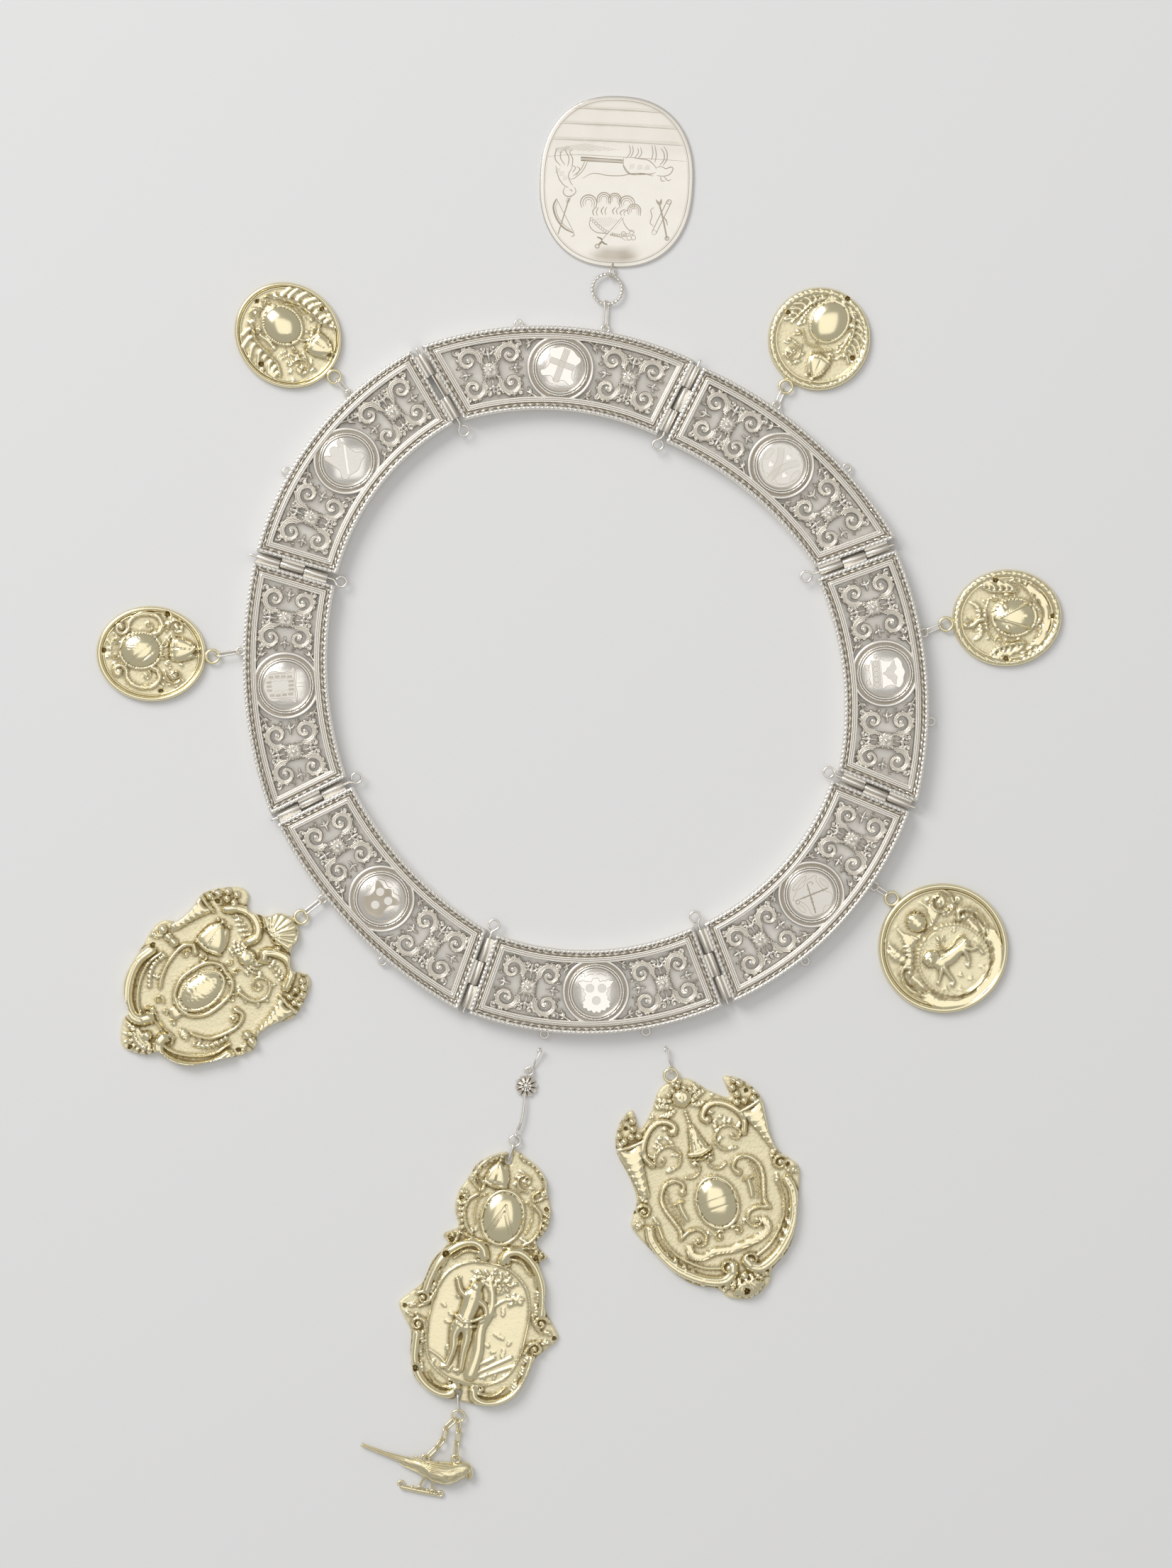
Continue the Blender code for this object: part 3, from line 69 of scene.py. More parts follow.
# %% [markdown]
# ## Curves and meshes
#
# A silversmith thinks in wires, strips and beads. The same few helpers make all of them here: a smooth
# line through a handful of points, and a section that is swept along it. Everything is worked out in
# millimetres and turned into metres when a mesh is made.

# %% Lines
MM = 0.001


def unit(bearing):
    """Flat direction at a bearing in degrees, counterclockwise from the right."""
    return np.array([math.cos(math.radians(bearing)), math.sin(math.radians(bearing))])


def left_of(way):
    return np.array([-way[1], way[0]])


def smooth(points, step=0.4, closed=False):
    """A soft line through the points, with a new point about every step."""
    knots = np.asarray(points, float)
    if closed:
        ring = np.vstack([knots[-1:], knots, knots[:2]])
    else:
        ring = np.vstack([2 * knots[0] - knots[1], knots, 2 * knots[-1] - knots[-2]])
    line = []
    for before, a, b, after in zip(ring[:-3], ring[1:-2], ring[2:-1], ring[3:]):
        count = max(1, int(round(np.linalg.norm(b - a) / step)))
        t = (np.arange(count) / count)[:, None]
        bend = (2 * before - 5 * a + 4 * b - after) * t ** 2 + (3 * a - before - 3 * b + after) * t ** 3
        line.append(a + 0.5 * ((b - before) * t + bend))
    if not closed:
        line.append(knots[-1:])
    return np.vstack(line)


def lengths(path, closed=False):
    """How far along each point of a line lies, and its whole length."""
    ring = np.vstack([path, path[:1]]) if closed else path
    steps = np.linalg.norm(np.diff(ring, axis=0), axis=1)
    total = np.concatenate([[0.0], np.cumsum(steps)])
    return (total[:-1], total[-1]) if closed else (total, total[-1])


def evenly(path, step, closed=False):
    """The same line with its points an even step apart."""
    ring = np.vstack([path, path[:1]]) if closed else path
    along, total = lengths(ring)
    count = max(3, int(round(total / step)))
    marks = np.linspace(0.0, total, count + 1)
    if closed:
        marks = marks[:-1]
    return np.stack([np.interp(marks, along, ring[:, i]) for i in range(ring.shape[1])], -1)


print("a line through four corners has", len(smooth([(0, 0), (4, 0), (4, 4), (0, 4)], closed=True)),
    "points")


# %% Meshes
class Part:
    """Points, faces, and at each point the darkness (tarnish and painted shade) and mattness of one mesh,
    in millimetres.
    """

    def __init__(self, ground=0.0):
        self.ground = ground
        self.points = []
        self.faces = []
        self.dark = []
        self.matt = []
        self.facing = []
        self.count = 0

    def add(self, points, faces, dark=0.0, matt=0.0, facing=None):
        """Adds points and faces; an open sheet has no inside, so facing says which way it looks."""
        points = np.asarray(points, float).reshape(-1, 3)
        self.points.append(points)
        if facing is not None:
            self.facing += [(len(self.faces) + i, tuple(facing)) for i in range(len(faces))]
        self.faces += [tuple(int(i) + self.count for i in face) for face in faces]
        # dark: tarnish and painted shade at each point
        self.dark.append(np.broadcast_to(np.asarray(dark, float), (len(points),)))
        self.matt.append(np.broadcast_to(np.maximum(matt, self.ground), (len(points),)))
        self.count += len(points)

    def make(self, name, node, material, slot):
        """The finished object: it stands for its CAD node and moves with the same body."""
        mesh = bpy.data.meshes.new(name)
        mesh.from_pydata(np.vstack(self.points) * MM, [], self.faces)
        # the dark attribute carries tarnish and painted shade to the material
        for label, rows in (("dark", self.dark), ("matt", self.matt)):
            values = mesh.attributes.new(label, "FLOAT", "POINT")
            values.data.foreach_set("value", np.concatenate(rows).astype(np.float32))
        shape = bmesh.new()
        shape.from_mesh(mesh)
        bmesh.ops.recalc_face_normals(shape, faces=shape.faces)
        shape.normal_update()
        shape.faces.ensure_lookup_table()
        for number, way in self.facing:
            if shape.faces[number].normal.dot(way) < 0:
                shape.faces[number].normal_flip()
        shape.to_mesh(mesh)
        shape.free()
        mesh.shade_smooth()
        mesh.set_sharp_from_angle(angle=math.radians(48))
        mesh.materials.append(None)
        piece = bpy.data.objects.new(name, mesh)
        bpy.context.scene.collection.objects.link(piece)
        piece.material_slots[0].link = "OBJECT"
        piece.material_slots[0].material = material
        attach(piece, frame["nodes"][node]["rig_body"])
        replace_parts(piece, node)
        return piece


def rings(rows, closed=True, capped=True):
    """Faces between rows of points, each row a ring of the same size."""
    count, size = len(rows), len(rows[0])
    faces = []
    for i in range(count if closed else count - 1):
        a, b = i * size, (i + 1) % count * size
        for j in range(size):
            k = (j + 1) % size
            faces.append((a + j, a + k, b + k, b + j))
    if capped and not closed:
        faces.append(tuple(range(size))[::-1])
        faces.append(tuple((count - 1) * size + j for j in range(size)))
    return np.vstack(rows), faces


def headings(path, closed):
    """Direction of travel at each point."""
    if closed:
        way = np.roll(path, -1, 0) - np.roll(path, 1, 0)
    else:
        way = np.gradient(path, axis=0)
    return way / np.linalg.norm(way, axis=1)[:, None]


def tube(path, radius, sides=8, closed=False, twist=0.0, strands=2):
    """A round wire, or with a twist a rope of several wires; twist is the length of one turn."""
    path = np.asarray(path, float)
    way = headings(path, closed)
    up = np.array([0.0, 0.0, 1.0])
    side = np.cross(way, up)
    flat = np.linalg.norm(side, axis=1)
    side[flat < 1e-6] = (1.0, 0.0, 0.0)
    side /= np.linalg.norm(side, axis=1)[:, None]
    lift = np.cross(side, way)
    along, total = lengths(path, closed)
    sizes = np.broadcast_to(np.asarray(radius, float), (len(path),))
    turns = np.arange(sides) / sides * 2 * math.pi
    if twist:
        twist = total / max(1, round(total / twist))
    rows = []
    for i in range(len(path)):
        reach = sizes[i] * np.ones(sides)
        if twist:
            wave = np.cos((turns - 2 * math.pi * along[i] / twist) * strands / 2)
            reach = reach * np.sqrt(0.42 + 0.58 * wave ** 2)
        rows.append(path[i] + np.outer(reach * np.cos(turns), side[i]) + np.outer(reach * np.sin(turns),
            lift[i]))
    return rings(rows, closed)


def strip(path, widths, foot, base, rise, sides=5):
    """A cast ornament line: a rounded top on straight flanks. The path is flat, widths are whole widths."""
    path = np.asarray(path, float)
    way = headings(path, False)
    across = np.stack([way[:, 1], -way[:, 0]], -1)
    widths = np.broadcast_to(np.asarray(widths, float), (len(path),))
    rise = np.broadcast_to(np.asarray(rise, float), (len(path),))
    turns = np.linspace(0.0, math.pi, sides)
    rows = []
    for i in range(len(path)):
        flats = path[i] + np.outer(np.cos(turns) * widths[i] / 2, across[i])
        heights = base + np.sin(turns) * rise[i]
        row = [np.append(flats[0], foot)]
        row += [np.append(flat, height) for flat, height in zip(flats, heights)]
        row.append(np.append(flats[-1], foot))
        rows.append(np.array(row))
    return rings(rows, False)


def bead(centre, radius, height, rise, around=12, tiers=5):
    """A ball let into a surface, or a flatter button when its rise is small."""
    rows = []
    for i in range(tiers):
        turn = math.pi / 2 * i / tiers
        flat = np.array([unit(360 * j / around) for j in range(around)]) * radius * math.cos(turn)
        level = np.full((around, 1), height + rise * math.sin(turn))
        rows.append(np.hstack([np.asarray(centre)[None, :2] + flat, level]))
    points, faces = rings(rows, False, False)
    tip = len(points)
    last = (tiers - 1) * around
    faces += [(last + j, last + (j + 1) % around, tip) for j in range(around)]
    faces.append(tuple(range(around))[::-1])
    return np.vstack([points, [centre[0], centre[1], height + rise]]), faces


sample = tube(evenly(np.array([(0, 0, 0), (10, 0, 0)]), 0.46), 0.9, 8, twist=4.0)
print("a rope of 10 mm takes", len(sample[1]), "faces")

# %% [markdown]
# ## Metal
#
# The collar is silver, the medals are gilt. Old silver stays bright where cloths and hands reach it and
# turns grey brown in the hollows, so both metals read a value that each mesh carries: dark in the
# hollows and low places, which paints their tarnish together with painted shade, and matt where the
# ground was left rough by the punch. The maths of a material is written as plain arithmetic.

# %% Shader maths
class Value:
    """One number inside a material, so that its maths reads like arithmetic."""

    def __init__(self, tree, socket):
        self.tree = tree
        self.socket = socket

    def join(self, operation, first, second=None):
        step = self.tree.nodes.new("ShaderNodeMath")
        step.operation = operation
        for socket, item in zip(step.inputs, (first, second)):
            if isinstance(item, Value):
                self.tree.links.new(item.socket, socket)
            elif item is not None:
                socket.default_value = item
        return Value(self.tree, step.outputs[0])

    def __add__(self, other):
        return self.join("ADD", self, other)

    def __radd__(self, other):
        return self.join("ADD", other, self)

    def __sub__(self, other):
        return self.join("SUBTRACT", self, other)

    def __rsub__(self, other):
        return self.join("SUBTRACT", other, self)

    def __mul__(self, other):
        return self.join("MULTIPLY", self, other)

    def __rmul__(self, other):
        return self.join("MULTIPLY", other, self)

    def __truediv__(self, other):
        return self.join("DIVIDE", self, other)

    def __pow__(self, other):
        return self.join("POWER", self, other)

    def held(self):
        """Kept between 0 and 1."""
        return self.join("MINIMUM", self.join("MAXIMUM", self, 0.0), 1.0)


class Finish:
    """A material under construction."""

    def __init__(self, name):
        self.material = bpy.data.materials.new(name)
        self.material.use_nodes = True
        self.tree = self.material.node_tree
        self.shader = self.tree.nodes["Principled BSDF"]

    def node(self, kind, settings=None, **sockets):
        """Any node: its type, its settings, then its socket values or links by name."""
        made = self.tree.nodes.new(kind)
        for key, item in (settings or {}).items():
            setattr(made, key, item)
        for key, item in sockets.items():
            self.feed(made.inputs[key.replace("_", " ")], item)
        return made

    def feed(self, socket, item):
        if isinstance(item, Value):
            self.tree.links.new(item.socket, socket)
        elif isinstance(item, bpy.types.NodeSocket):
            self.tree.links.new(item, socket)
        else:
            socket.default_value = item

    def value(self, socket):
        return Value(self.tree, socket)

    def noise(self, scale, detail=3.0):
        place = self.node("ShaderNodeTexCoord").outputs["Object"]
        made = self.node("ShaderNodeTexNoise", Vector=place, Scale=scale, Detail=detail)
        return self.value(made.outputs[0])

    def stored_value(self, label):
        made = self.node("ShaderNodeAttribute", {"attribute_name": label})
        return self.value(made.outputs["Fac"])

    def mix(self, share, first, second):
        made = self.node("ShaderNodeMix", {"data_type": "RGBA"})
        self.feed(made.inputs["Factor"], share)
        self.feed(made.inputs[6], first)
        self.feed(made.inputs[7], second)
        return made.outputs[2]


def metal(name, bright, hollow, polish):
    """Polished metal darkened in its hollows with tarnish and painted shade, a punched ground and fine
    wear.
    """
    made = Finish(name)
    dark = made.stored_value("dark")
    matt = made.stored_value("matt")
    blotch = made.noise(90.0)
    grain = made.noise(1100.0, 2.0)
    # Where the mesh is dark the colour goes towards the hollow colour: tarnish and painted shade, broken up
    # by blotches.
    tarnish_and_shade = (dark * (0.75 + 0.5 * blotch)).held()
    made.feed(made.shader.inputs["Base Color"], made.mix(tarnish_and_shade, bright, hollow))
    made.feed(made.shader.inputs["Metallic"], 1.0 - 0.55 * matt * (1.0 - 0.5 * tarnish_and_shade))
    gloss = (polish + 0.10 * (blotch - 0.5) + 0.22 * matt + 0.30 * tarnish_and_shade).held()
    made.feed(made.shader.inputs["Roughness"], gloss)
    height = grain * (0.15 + 0.85 * matt)
    bump = made.node("ShaderNodeBump", Strength=0.5, Distance=0.00018)
    made.feed(bump.inputs["Height"], height)
    made.feed(made.shader.inputs["Normal"], bump.outputs["Normal"])
    return made.material


# The second colour of each metal is that of its hollows: tarnish and painted shade.
silver = metal("silver", (0.925, 0.890, 0.825, 1.0), (0.37, 0.305, 0.215, 1.0), 0.20)
gilt = metal("gilt", (0.92, 0.83, 0.555, 1.0), (0.26, 0.185, 0.07, 1.0), 0.19)
print("metals:", silver.name, "and", gilt.name)

# %% [markdown]
# ## The collar's plates
#
# Each plate is a curved strip between two hinge lines. The hinge lines come from the joints of the
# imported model, and each curve has its own centre and radius, because no two plates of the old collar
# are bent alike.

# %% Hinge lines and curves
BAND = 35.5
HINGE_GAP = 2.3
HINGE_LEVEL = 4.0
NECK = np.array([1.5, 49.4])


def pin_line(name):
    """A point of a pin and its outward direction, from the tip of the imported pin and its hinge."""
    packed = frame["nodes"][name + "_pin"].data.vertices
    cloud = np.array([v.co[:2] for v in packed]) / MM
    away = cloud - NECK
    far = cloud[np.argsort(-np.linalg.norm(away, axis=1))[:5]]
    tip = far.mean(0)
    for joint in frame["joints"]:
        if joint["name"] == name + "_hinge" or (name == "top_left" and joint["type"] == "slide"):
            way = np.array(joint["axis"][:2])
            way = way / np.linalg.norm(way)
            return tip, way if np.dot(way, tip - NECK) > 0 else -way


class Plate:
    """One plate: where its curve is centred, its radius at mid band, and its two pins."""

    def __init__(self, name, x, y, radius, start, end, eyelets):
        self.name = name
        self.centre = np.array([x, y])
        self.radius = radius
        self.start = start
        self.end = end
        self.eyelets = eyelets
        self.pins = (pin_line(start), pin_line(end))
        self.first, self.last = self.span(0.0, HINGE_GAP)
        self.length = radius * math.radians(self.last - self.first)

    def level_with(self, which, reach, gap):
        """Bearing at which a curved line comes within a gap of a pin."""
        tip, out = self.pins[which]
        ahead = left_of(out) * (1 if which == 0 else -1)
        way = tip - out * BAND / 2 - self.centre
        side = 1 if which == 0 else -1
        near = math.degrees(math.atan2(way[1], way[0])) - side * 9.0
        far = near + side * 32.0
        for _ in range(44):
            bearing = (near + far) / 2
            spot = self.centre + unit(bearing) * (self.radius + reach)
            if np.dot(spot - tip, ahead) < gap:
                near = bearing
            else:
                far = bearing
        return bearing

    def span(self, reach, gap):
        first = self.level_with(0, reach, gap)
        last = self.level_with(1, reach, gap)
        return first, first + (last - first) % 360

    def at(self, along, across):
        """A flat point set out along the curve from the middle of the plate, outwards positive."""
        bearing = (self.first + self.last) / 2 + math.degrees(along / self.radius)
        return self.centre + unit(bearing) * (self.radius + across)

    def lay(self, points):
        return np.array([self.at(along, across) for along, across in points])

    def share(self, share, across):
        return self.at((share - 0.5) * self.length, across)

    def outline(self, inset, step=0.45):
        """The plate's edge, or a line inside it, with the same number of points at every inset."""
        sides = []
        many = int(self.length / step)
        few = int(BAND / step)
        for reach in (BAND / 2 - inset, inset - BAND / 2):
            first, last = self.span(reach, HINGE_GAP + inset)
            bearings = np.linspace(first, last, many)
            sides.append(np.array([self.centre + unit(b) * (self.radius + reach) for b in bearings]))
        outer, inner = sides[0], sides[1][::-1]
        end = np.linspace(outer[-1], inner[0], few)[1:-1]
        start = np.linspace(inner[-1], outer[0], few)[1:-1]
        return np.vstack([outer, end, inner, start])


# name, centre x and y, radius, pin it starts at, pin it ends at, eyelets as shares of its length
CURVES = (
    ("top", -16.2, 47.8, 133.5, "top_right", "top_left", (0.345, 0.665)),
    ("upper_left", -3.1, 68.5, 120.0, "top_left", "left_upper", (0.292, 0.672)),
    ("left", 45.3, 57.5, 169.5, "left_upper", "left_lower", (0.351,)),
    ("lower_left", 38.1, 72.8, 167.9, "left_lower", "bottom_left", (0.342, 0.678)),
    ("bottom", 2.9, 44.6, 127.0, "bottom_left", "bottom_right", (0.300, 0.684)),
    ("lower_right", 7.0, 41.8, 123.2, "bottom_right", "right_lower", (0.682, 0.300)),
    ("right", -21.2, 37.7, 151.0, "right_lower", "right_upper", (0.645, 0.296)),
    ("upper_right", -20.3, 17.6, 161.6, "right_upper", "top_right", (0.667, 0.300)),
)
plates = {row[0]: Plate(*row) for row in CURVES}
print("plate lengths, mm:", {name: round(p.length, 1) for name, p in plates.items()})

# %% [markdown]
# ## Frame, rope and scalloped strip
#
# The front of a plate is framed like a picture: a twisted wire along the outer edge, a thin strip cut
# into scallops inside it, then a reeded moulding. The section is one table of steps, each so far in
# from the edge and so high above the table, and the mesh runs round the plate once for each step.

# %% Sections
# in from the edge, height, how dark: tarnish and painted shade in the grooves, in the gap and at the foot
SECTION = (
    (0.00, 0.0, 0.2),
    (0.00, 1.2, 0.1),
    (0.00, 5.4, 0.0),
    (0.15, 6.0, 0.0),
    (0.45, 6.2, 0.2),
    (1.70, 5.8, 0.6),
    (1.95, 5.7, 0.8),
    (3.05, 5.7, 0.8),
    (3.15, 6.9, 0.2),
    (3.30, 7.2, 0.0),
    (3.60, 7.25, 0.0),
    (3.80, 6.85, 0.45),
    (4.00, 7.1, 0.0),
    (4.35, 7.2, 0.0),
    (4.60, 7.1, 0.0),
    (4.78, 6.75, 0.4),
    (4.95, 7.0, 0.0),
    (5.20, 7.0, 0.0),
    (5.36, 6.6, 0.3),
    (5.50, 6.6, 0.0),
    (5.62, 6.0, 0.4),
    (5.65, 4.9, 0.6),
)
EDGE_IN = 5.65
BACK = 1.0
PLATE_TOP = 8.0
ROPE_IN = 0.85
ROPE_RADIUS = 0.92
SCALLOP = 3.3


def scallops(plate):
    """A thin strip standing beside the rope, its top edge waved."""
    part_rows = []
    along, total = lengths(plate.outline(2.4), True)
    wave = np.abs(np.sin(math.pi * along / (total / round(total / SCALLOP)))) ** 0.7
    for inset, reach, lift, waved in ((1.70, 0.0, 5.7, 0.0), (1.80, 0.0, 6.4, 0.5), (2.05, 0.2, 6.75,
            0.45), (2.20, 0.62, 6.6, 0.2), (2.25, 0.78, 5.6, 0.0)):
        wavy = (plate.outline(inset) * (1 - wave)[:, None] + plate.outline(inset + reach) * wave[:, None])
        part_rows.append(np.column_stack([wavy, lift + waved * wave]))
    return part_rows


def skins(rows, closed_rows=True):
    """Faces between lines that all run round the same way."""
    size = len(rows[0])
    faces = []
    for i in range(len(rows) - 1):
        for j in range(size if closed_rows else size - 1):
            k = (j + 1) % size
            faces.append((i * size + j, i * size + k, (i + 1) * size + k, (i + 1) * size + j))
    return np.vstack(rows), faces


def add_frame(part, plate):
    """Walls, edge mouldings and back of one plate."""
    rows = []
    dark = []
    for inset, height, shade in SECTION:
        line = plate.outline(inset, 1.3)
        rows.append(np.column_stack([line, np.full(len(line), height)]))
        dark.append(np.full(len(line), shade))
    # the inner wall's foot on the back plate is painted in shade (0.4)
    lined = plate.outline(EDGE_IN, 1.3)
    rows.append(np.column_stack([lined, np.full(len(lined), BACK)]))
    dark.append(np.full(len(lined), 0.4))
    points, faces = skins(rows)
    part.add(points, faces, np.concatenate(dark))
    many, few = int(plate.length), int(BAND) - 2
    # the back plate under the openwork is painted in shade (0.16), the underside 0.2
    for level, inset, shade in ((BACK, EDGE_IN, 0.16), (0.0, 0.0, 0.2)):
        line = plate.outline(inset, 1.0)
        outer, inner = line[:many], line[many + few:many + few + many][::-1]
        layers = [np.column_stack([outer * (1 - t) + inner * t, np.full(many, level)])
            for t in np.linspace(0, 1, 4)]
        sheet, tiles = skins(layers, False)
        part.add(sheet, tiles, shade, 0.6, (0, 0, 1 if level else -1))
    rope = evenly(plate.outline(ROPE_IN), 0.46, True)
    rope = np.column_stack([rope, np.full(len(rope), PLATE_TOP - ROPE_RADIUS)])
    points, faces = tube(rope, ROPE_RADIUS, 8, True, 4.0)
    # the rope darkens towards its foot: painted shade, with tarnish
    part.add(points, faces, np.clip((7.0 - points[:, 2]) * 0.7, 0.0, 0.6))
    points, faces = skins(scallops(plate))
    # the scalloped strip darkens towards its foot: painted shade, with tarnish
    part.add(points, faces, np.clip((6.4 - points[:, 2]) * 0.8, 0.0, 0.6))


trial = Part()
add_frame(trial, plates["top"])
print("edge of a plate:", len(trial.faces), "faces")

# %% [markdown]
# ## Pierced panel
#
# Inside the frame lies a cast panel of leafy scrolls round two rosettes, open between them, so that the
# plain back shows through. Each scroll starts at the rosette, runs out and curls round a ball, and
# small leaf lobes follow its outside.

# %% Scrolls and leaves
PANEL = 6
UNDER = 4.8
BOSS_SEAT = 14.2


def spiral(centre, radius, start, turns, tip=0.24, points=22, power=0.8):
    """A line that curls in round a centre; start in degrees, turns positive to the left."""
    t = np.linspace(0, 1, points)
    reach = radius * (1 - (1 - tip) * t ** power)
    angles = np.radians(start + 360 * turns * t)
    return np.asarray(centre) + np.stack([reach * np.cos(angles), reach * np.sin(angles)], -1)


def lobe(root, tip, width, bend=0):
    """Widths and middle line of one leaf lobe."""
    root, tip = np.asarray(root, float), np.asarray(tip, float)
    way = tip - root
    middle = (root + tip) / 2 + left_of(way) * bend
    line = smooth([root, middle, tip], np.linalg.norm(way) / 4)
    t = np.linspace(0, 1, len(line))
    return line, width * np.sin(math.pi * (0.14 + 0.82 * t)) ** 0.8


def add_strip(part, plate, line, widths, rise=0.9, base=PANEL - 0.25, dark=0):
    flat = plate.lay(line)
    points, faces = strip(flat, widths, UNDER, base, rise)
    # the flanks darken towards the foot under the panel: painted shade, with tarnish
    low = np.clip((base + 0.25 - points[:, 2]) * 1.4, 0, 0.85)
    part.add(points, faces, np.maximum(low, dark))


def add_scroll(part, plate, centre, radius, start, turns, width=2.7):
    """A large volute: a fluted band of three ribs, a ball in its eye and leaf lobes round its outside."""
    side = 1 if turns > 0 else -1
    for rib in range(3):
        line = spiral(centre, radius - rib * width / 3, start + side * 7 * rib, turns - 0.06 * side * rib,
            0.2, 24, 1.25)
        t = np.linspace(0, 1, len(line))
        add_strip(part, plate, line, (width / 3 + 0.12) * (1 - 0.35 * t), (1.15 - 0.22 * rib) * (1 - 0.25
            * t))
    add_bead(part, plate, centre, 1.15, 1.3)
    for i in range(7):
        turn = start + side * (16 + 33 * i)
        root = np.asarray(centre) + unit(turn) * radius * (0.94 - 0.045 * i)
        tip = np.asarray(centre) + unit(turn - side * 20) * (radius * (0.96 - 0.05 * i) + 0.95)
        row, widths = lobe(root, tip, 1.3, side * 0.2)
        add_strip(part, plate, row, widths, 0.75)
    inner = np.asarray(centre) + unit(start + side * 200) * radius * 0.5
    row, widths = lobe(inner, inner + unit(start + side * 110) * radius * 0.5, 1.1, side * 0.3)
    add_strip(part, plate, row, widths, 0.6)


def add_bead(part, plate, spot, radius, rise=None):
    """A ball on a short stem, so that it doesn't float over the open ground."""
    centre = plate.lay([spot])[0]
    part.add(*bead(centre, radius, PANEL - 0.3, radius if rise is None else rise))
    # the stem below the ball is painted in shade (0.4)
    part.add(*bead(centre, radius * 0.8, UNDER, PANEL - UNDER, 10, 3), 0.4)


def add_sprig(part, plate, root, bearing, size=2.2):
    """Three small leaves with a ball where they meet."""
    root = np.asarray(root, float)
    for turn, reach in ((-52, 0.8), (0, 1), (52, 0.8)):
        row, widths = lobe(root, root + unit(bearing + turn) * size * reach, size * 0.42, turn / 260)
        add_strip(part, plate, row, widths, 0.75)
    add_bead(part, plate, root, size * 0.26)


def add_rosette(part, plate, along):
    """A four-petalled rosette with three lobes to a petal and a ball in the middle."""
    middle = np.array([along, 0.5])
    for i in range(4):
        turn = 45 + 90 * i
        for spread, reach, width in ((-26, 4, 1.9), (26, 4, 1.9), (0, 4.9, 2.2)):
            root = middle + unit(turn + spread * 0.4) * 0.9
            tip = middle + unit(turn + spread) * reach
            row, widths = lobe(root, tip, width)
            t = np.linspace(0, 1, len(row))
            add_strip(part, plate, row, widths, 1.2 + 0.4 * np.sin(math.pi * t), PANEL)
        row, widths = lobe(middle + unit(turn + 45) * 1.2, middle + unit(turn + 45) * 3.6, 1.1)
        add_strip(part, plate, row, widths, 0.7, PANEL)
    centre = plate.lay([middle])[0]
    part.add(*bead(centre, 1.35, PANEL + 0.6, 1.4, 14, 6))
    # the base under the rosette is painted in shade (0.5)
    part.add(*bead(centre, 2.2, UNDER, PANEL - UNDER + 0.5, 14, 4), 0.5)


def add_panel(part, plate):
    half = plate.length / 2 - EDGE_IN
    room = half - BOSS_SEAT
    clear = BAND / 2 - EDGE_IN
    for way in (-1, 1):
        rose = way * (BOSS_SEAT + room * 0.5)
        step = min(room * 0.285, 8.4)
        for inner in (-1, 1):
            for up in (-1, 1):
                turn = -up * way * inner
                centre = np.array([rose + way * inner * step, up * 6 + 0.3])
                start = math.degrees(math.atan2(-up * 0.9, -way * inner)) + 10 * turn
                reach = min(5.7, step * 0.75)
                add_scroll(part, plate, centre, reach, start, 1.3 * turn)
                joint = centre + unit(start) * reach
                stem = [(rose + way * inner * reach, 0.5 + up * rise) for reach, rise in ((1.6, 1),
                    (2.6, 1.9))]
                stem.append(joint)
                for rib, wide in ((0, 1.3), (0.5, 0.8)):
                    line = smooth(np.asarray(stem, float) + (0, -up * rib), 0.7)
                    add_strip(part, plate, line, wide, 0.9 - rib * 0.4)
                corner = (rose + way * inner * (step + 3.9), up * (clear - 1.9) + 0.2)
                add_scroll_small(part, plate, corner, 1.55, 90 * (1 - up) + 45 * up, turn)
                side = (rose + way * inner * (step + 0.2), up * (clear - 0.9) + 0.2)
                add_sprig(part, plate, side, 90 - way * inner * 70, 1.9)
                add_sprig(part, plate, (rose + way * inner * (step + 4.6), up * 3.2 + 0.3), 90 * up, 1.7)
        for up in (-1, 1):
            for side in (-1, 1):
                small = (rose + side * 2.3, up * 9.6 + 0.2)
                add_scroll_small(part, plate, small, 1.75, 90 - 90 * side, -up * side)
            add_sprig(part, plate, (rose, up * 6.9 + 0.3), 90 * up, 3.4)
            row, widths = lobe((rose, up * 4 + 0.4), (rose, up * 7.2 + 0.2), 1.1)
            add_strip(part, plate, row, widths, 0.7)
        for edge in (-1, 1):
            middle = rose + edge * way * (step + 4.4)
            add_sprig(part, plate, (middle - edge * way * 2.4, 0.3), 90 - 90 * edge * way, 3.2)
            row, widths = lobe((middle - edge * way * 5.2, 0.4), (middle - edge * way * 2.2, 0.3), 1.3)
            add_strip(part, plate, row, widths, 0.8)
        for up in (-1, 1):
            near = way * (BOSS_SEAT - 1.5)
            add_sprig(part, plate, (near, up * (clear - 1.4)), 90 - 90 * way - 20 * up * way, 2.6)
            add_strip(part, plate, smooth([(near - way * 2.4, up * (clear + 0.1)), (near,
                up * (clear - 1.5)), (near + way * 1.4, up * (clear - 4.4))], 0.6), 0.9, 0.8)
    centre = plate.at(0, 0)
    seat = [np.column_stack([centre + np.array([unit(5 * j) for j in range(72)]) * r, np.full(72, h)])
        for r, h in ((BOSS_SEAT, UNDER), (BOSS_SEAT, 6.1), (BOSS_SEAT - 0.4, 6.35), (BOSS_SEAT - 0.9,
        6.35), (BOSS_SEAT - 1.3, 6.05), (12, 6.05))]
    points, faces = skins(seat)
    # the seat's flank and the groove under the boss are painted in shade (0.75), its top is polished; the
    # cap under the boss is painted in shade too (0.6)
    part.add(points, faces, np.where(points[:, 2] > 6.2, 0.05, 0.75))
    top = len(seat[-1])
    part.add(seat[-1], [tuple(range(top))], 0.6, 0, (0, 0, 1))


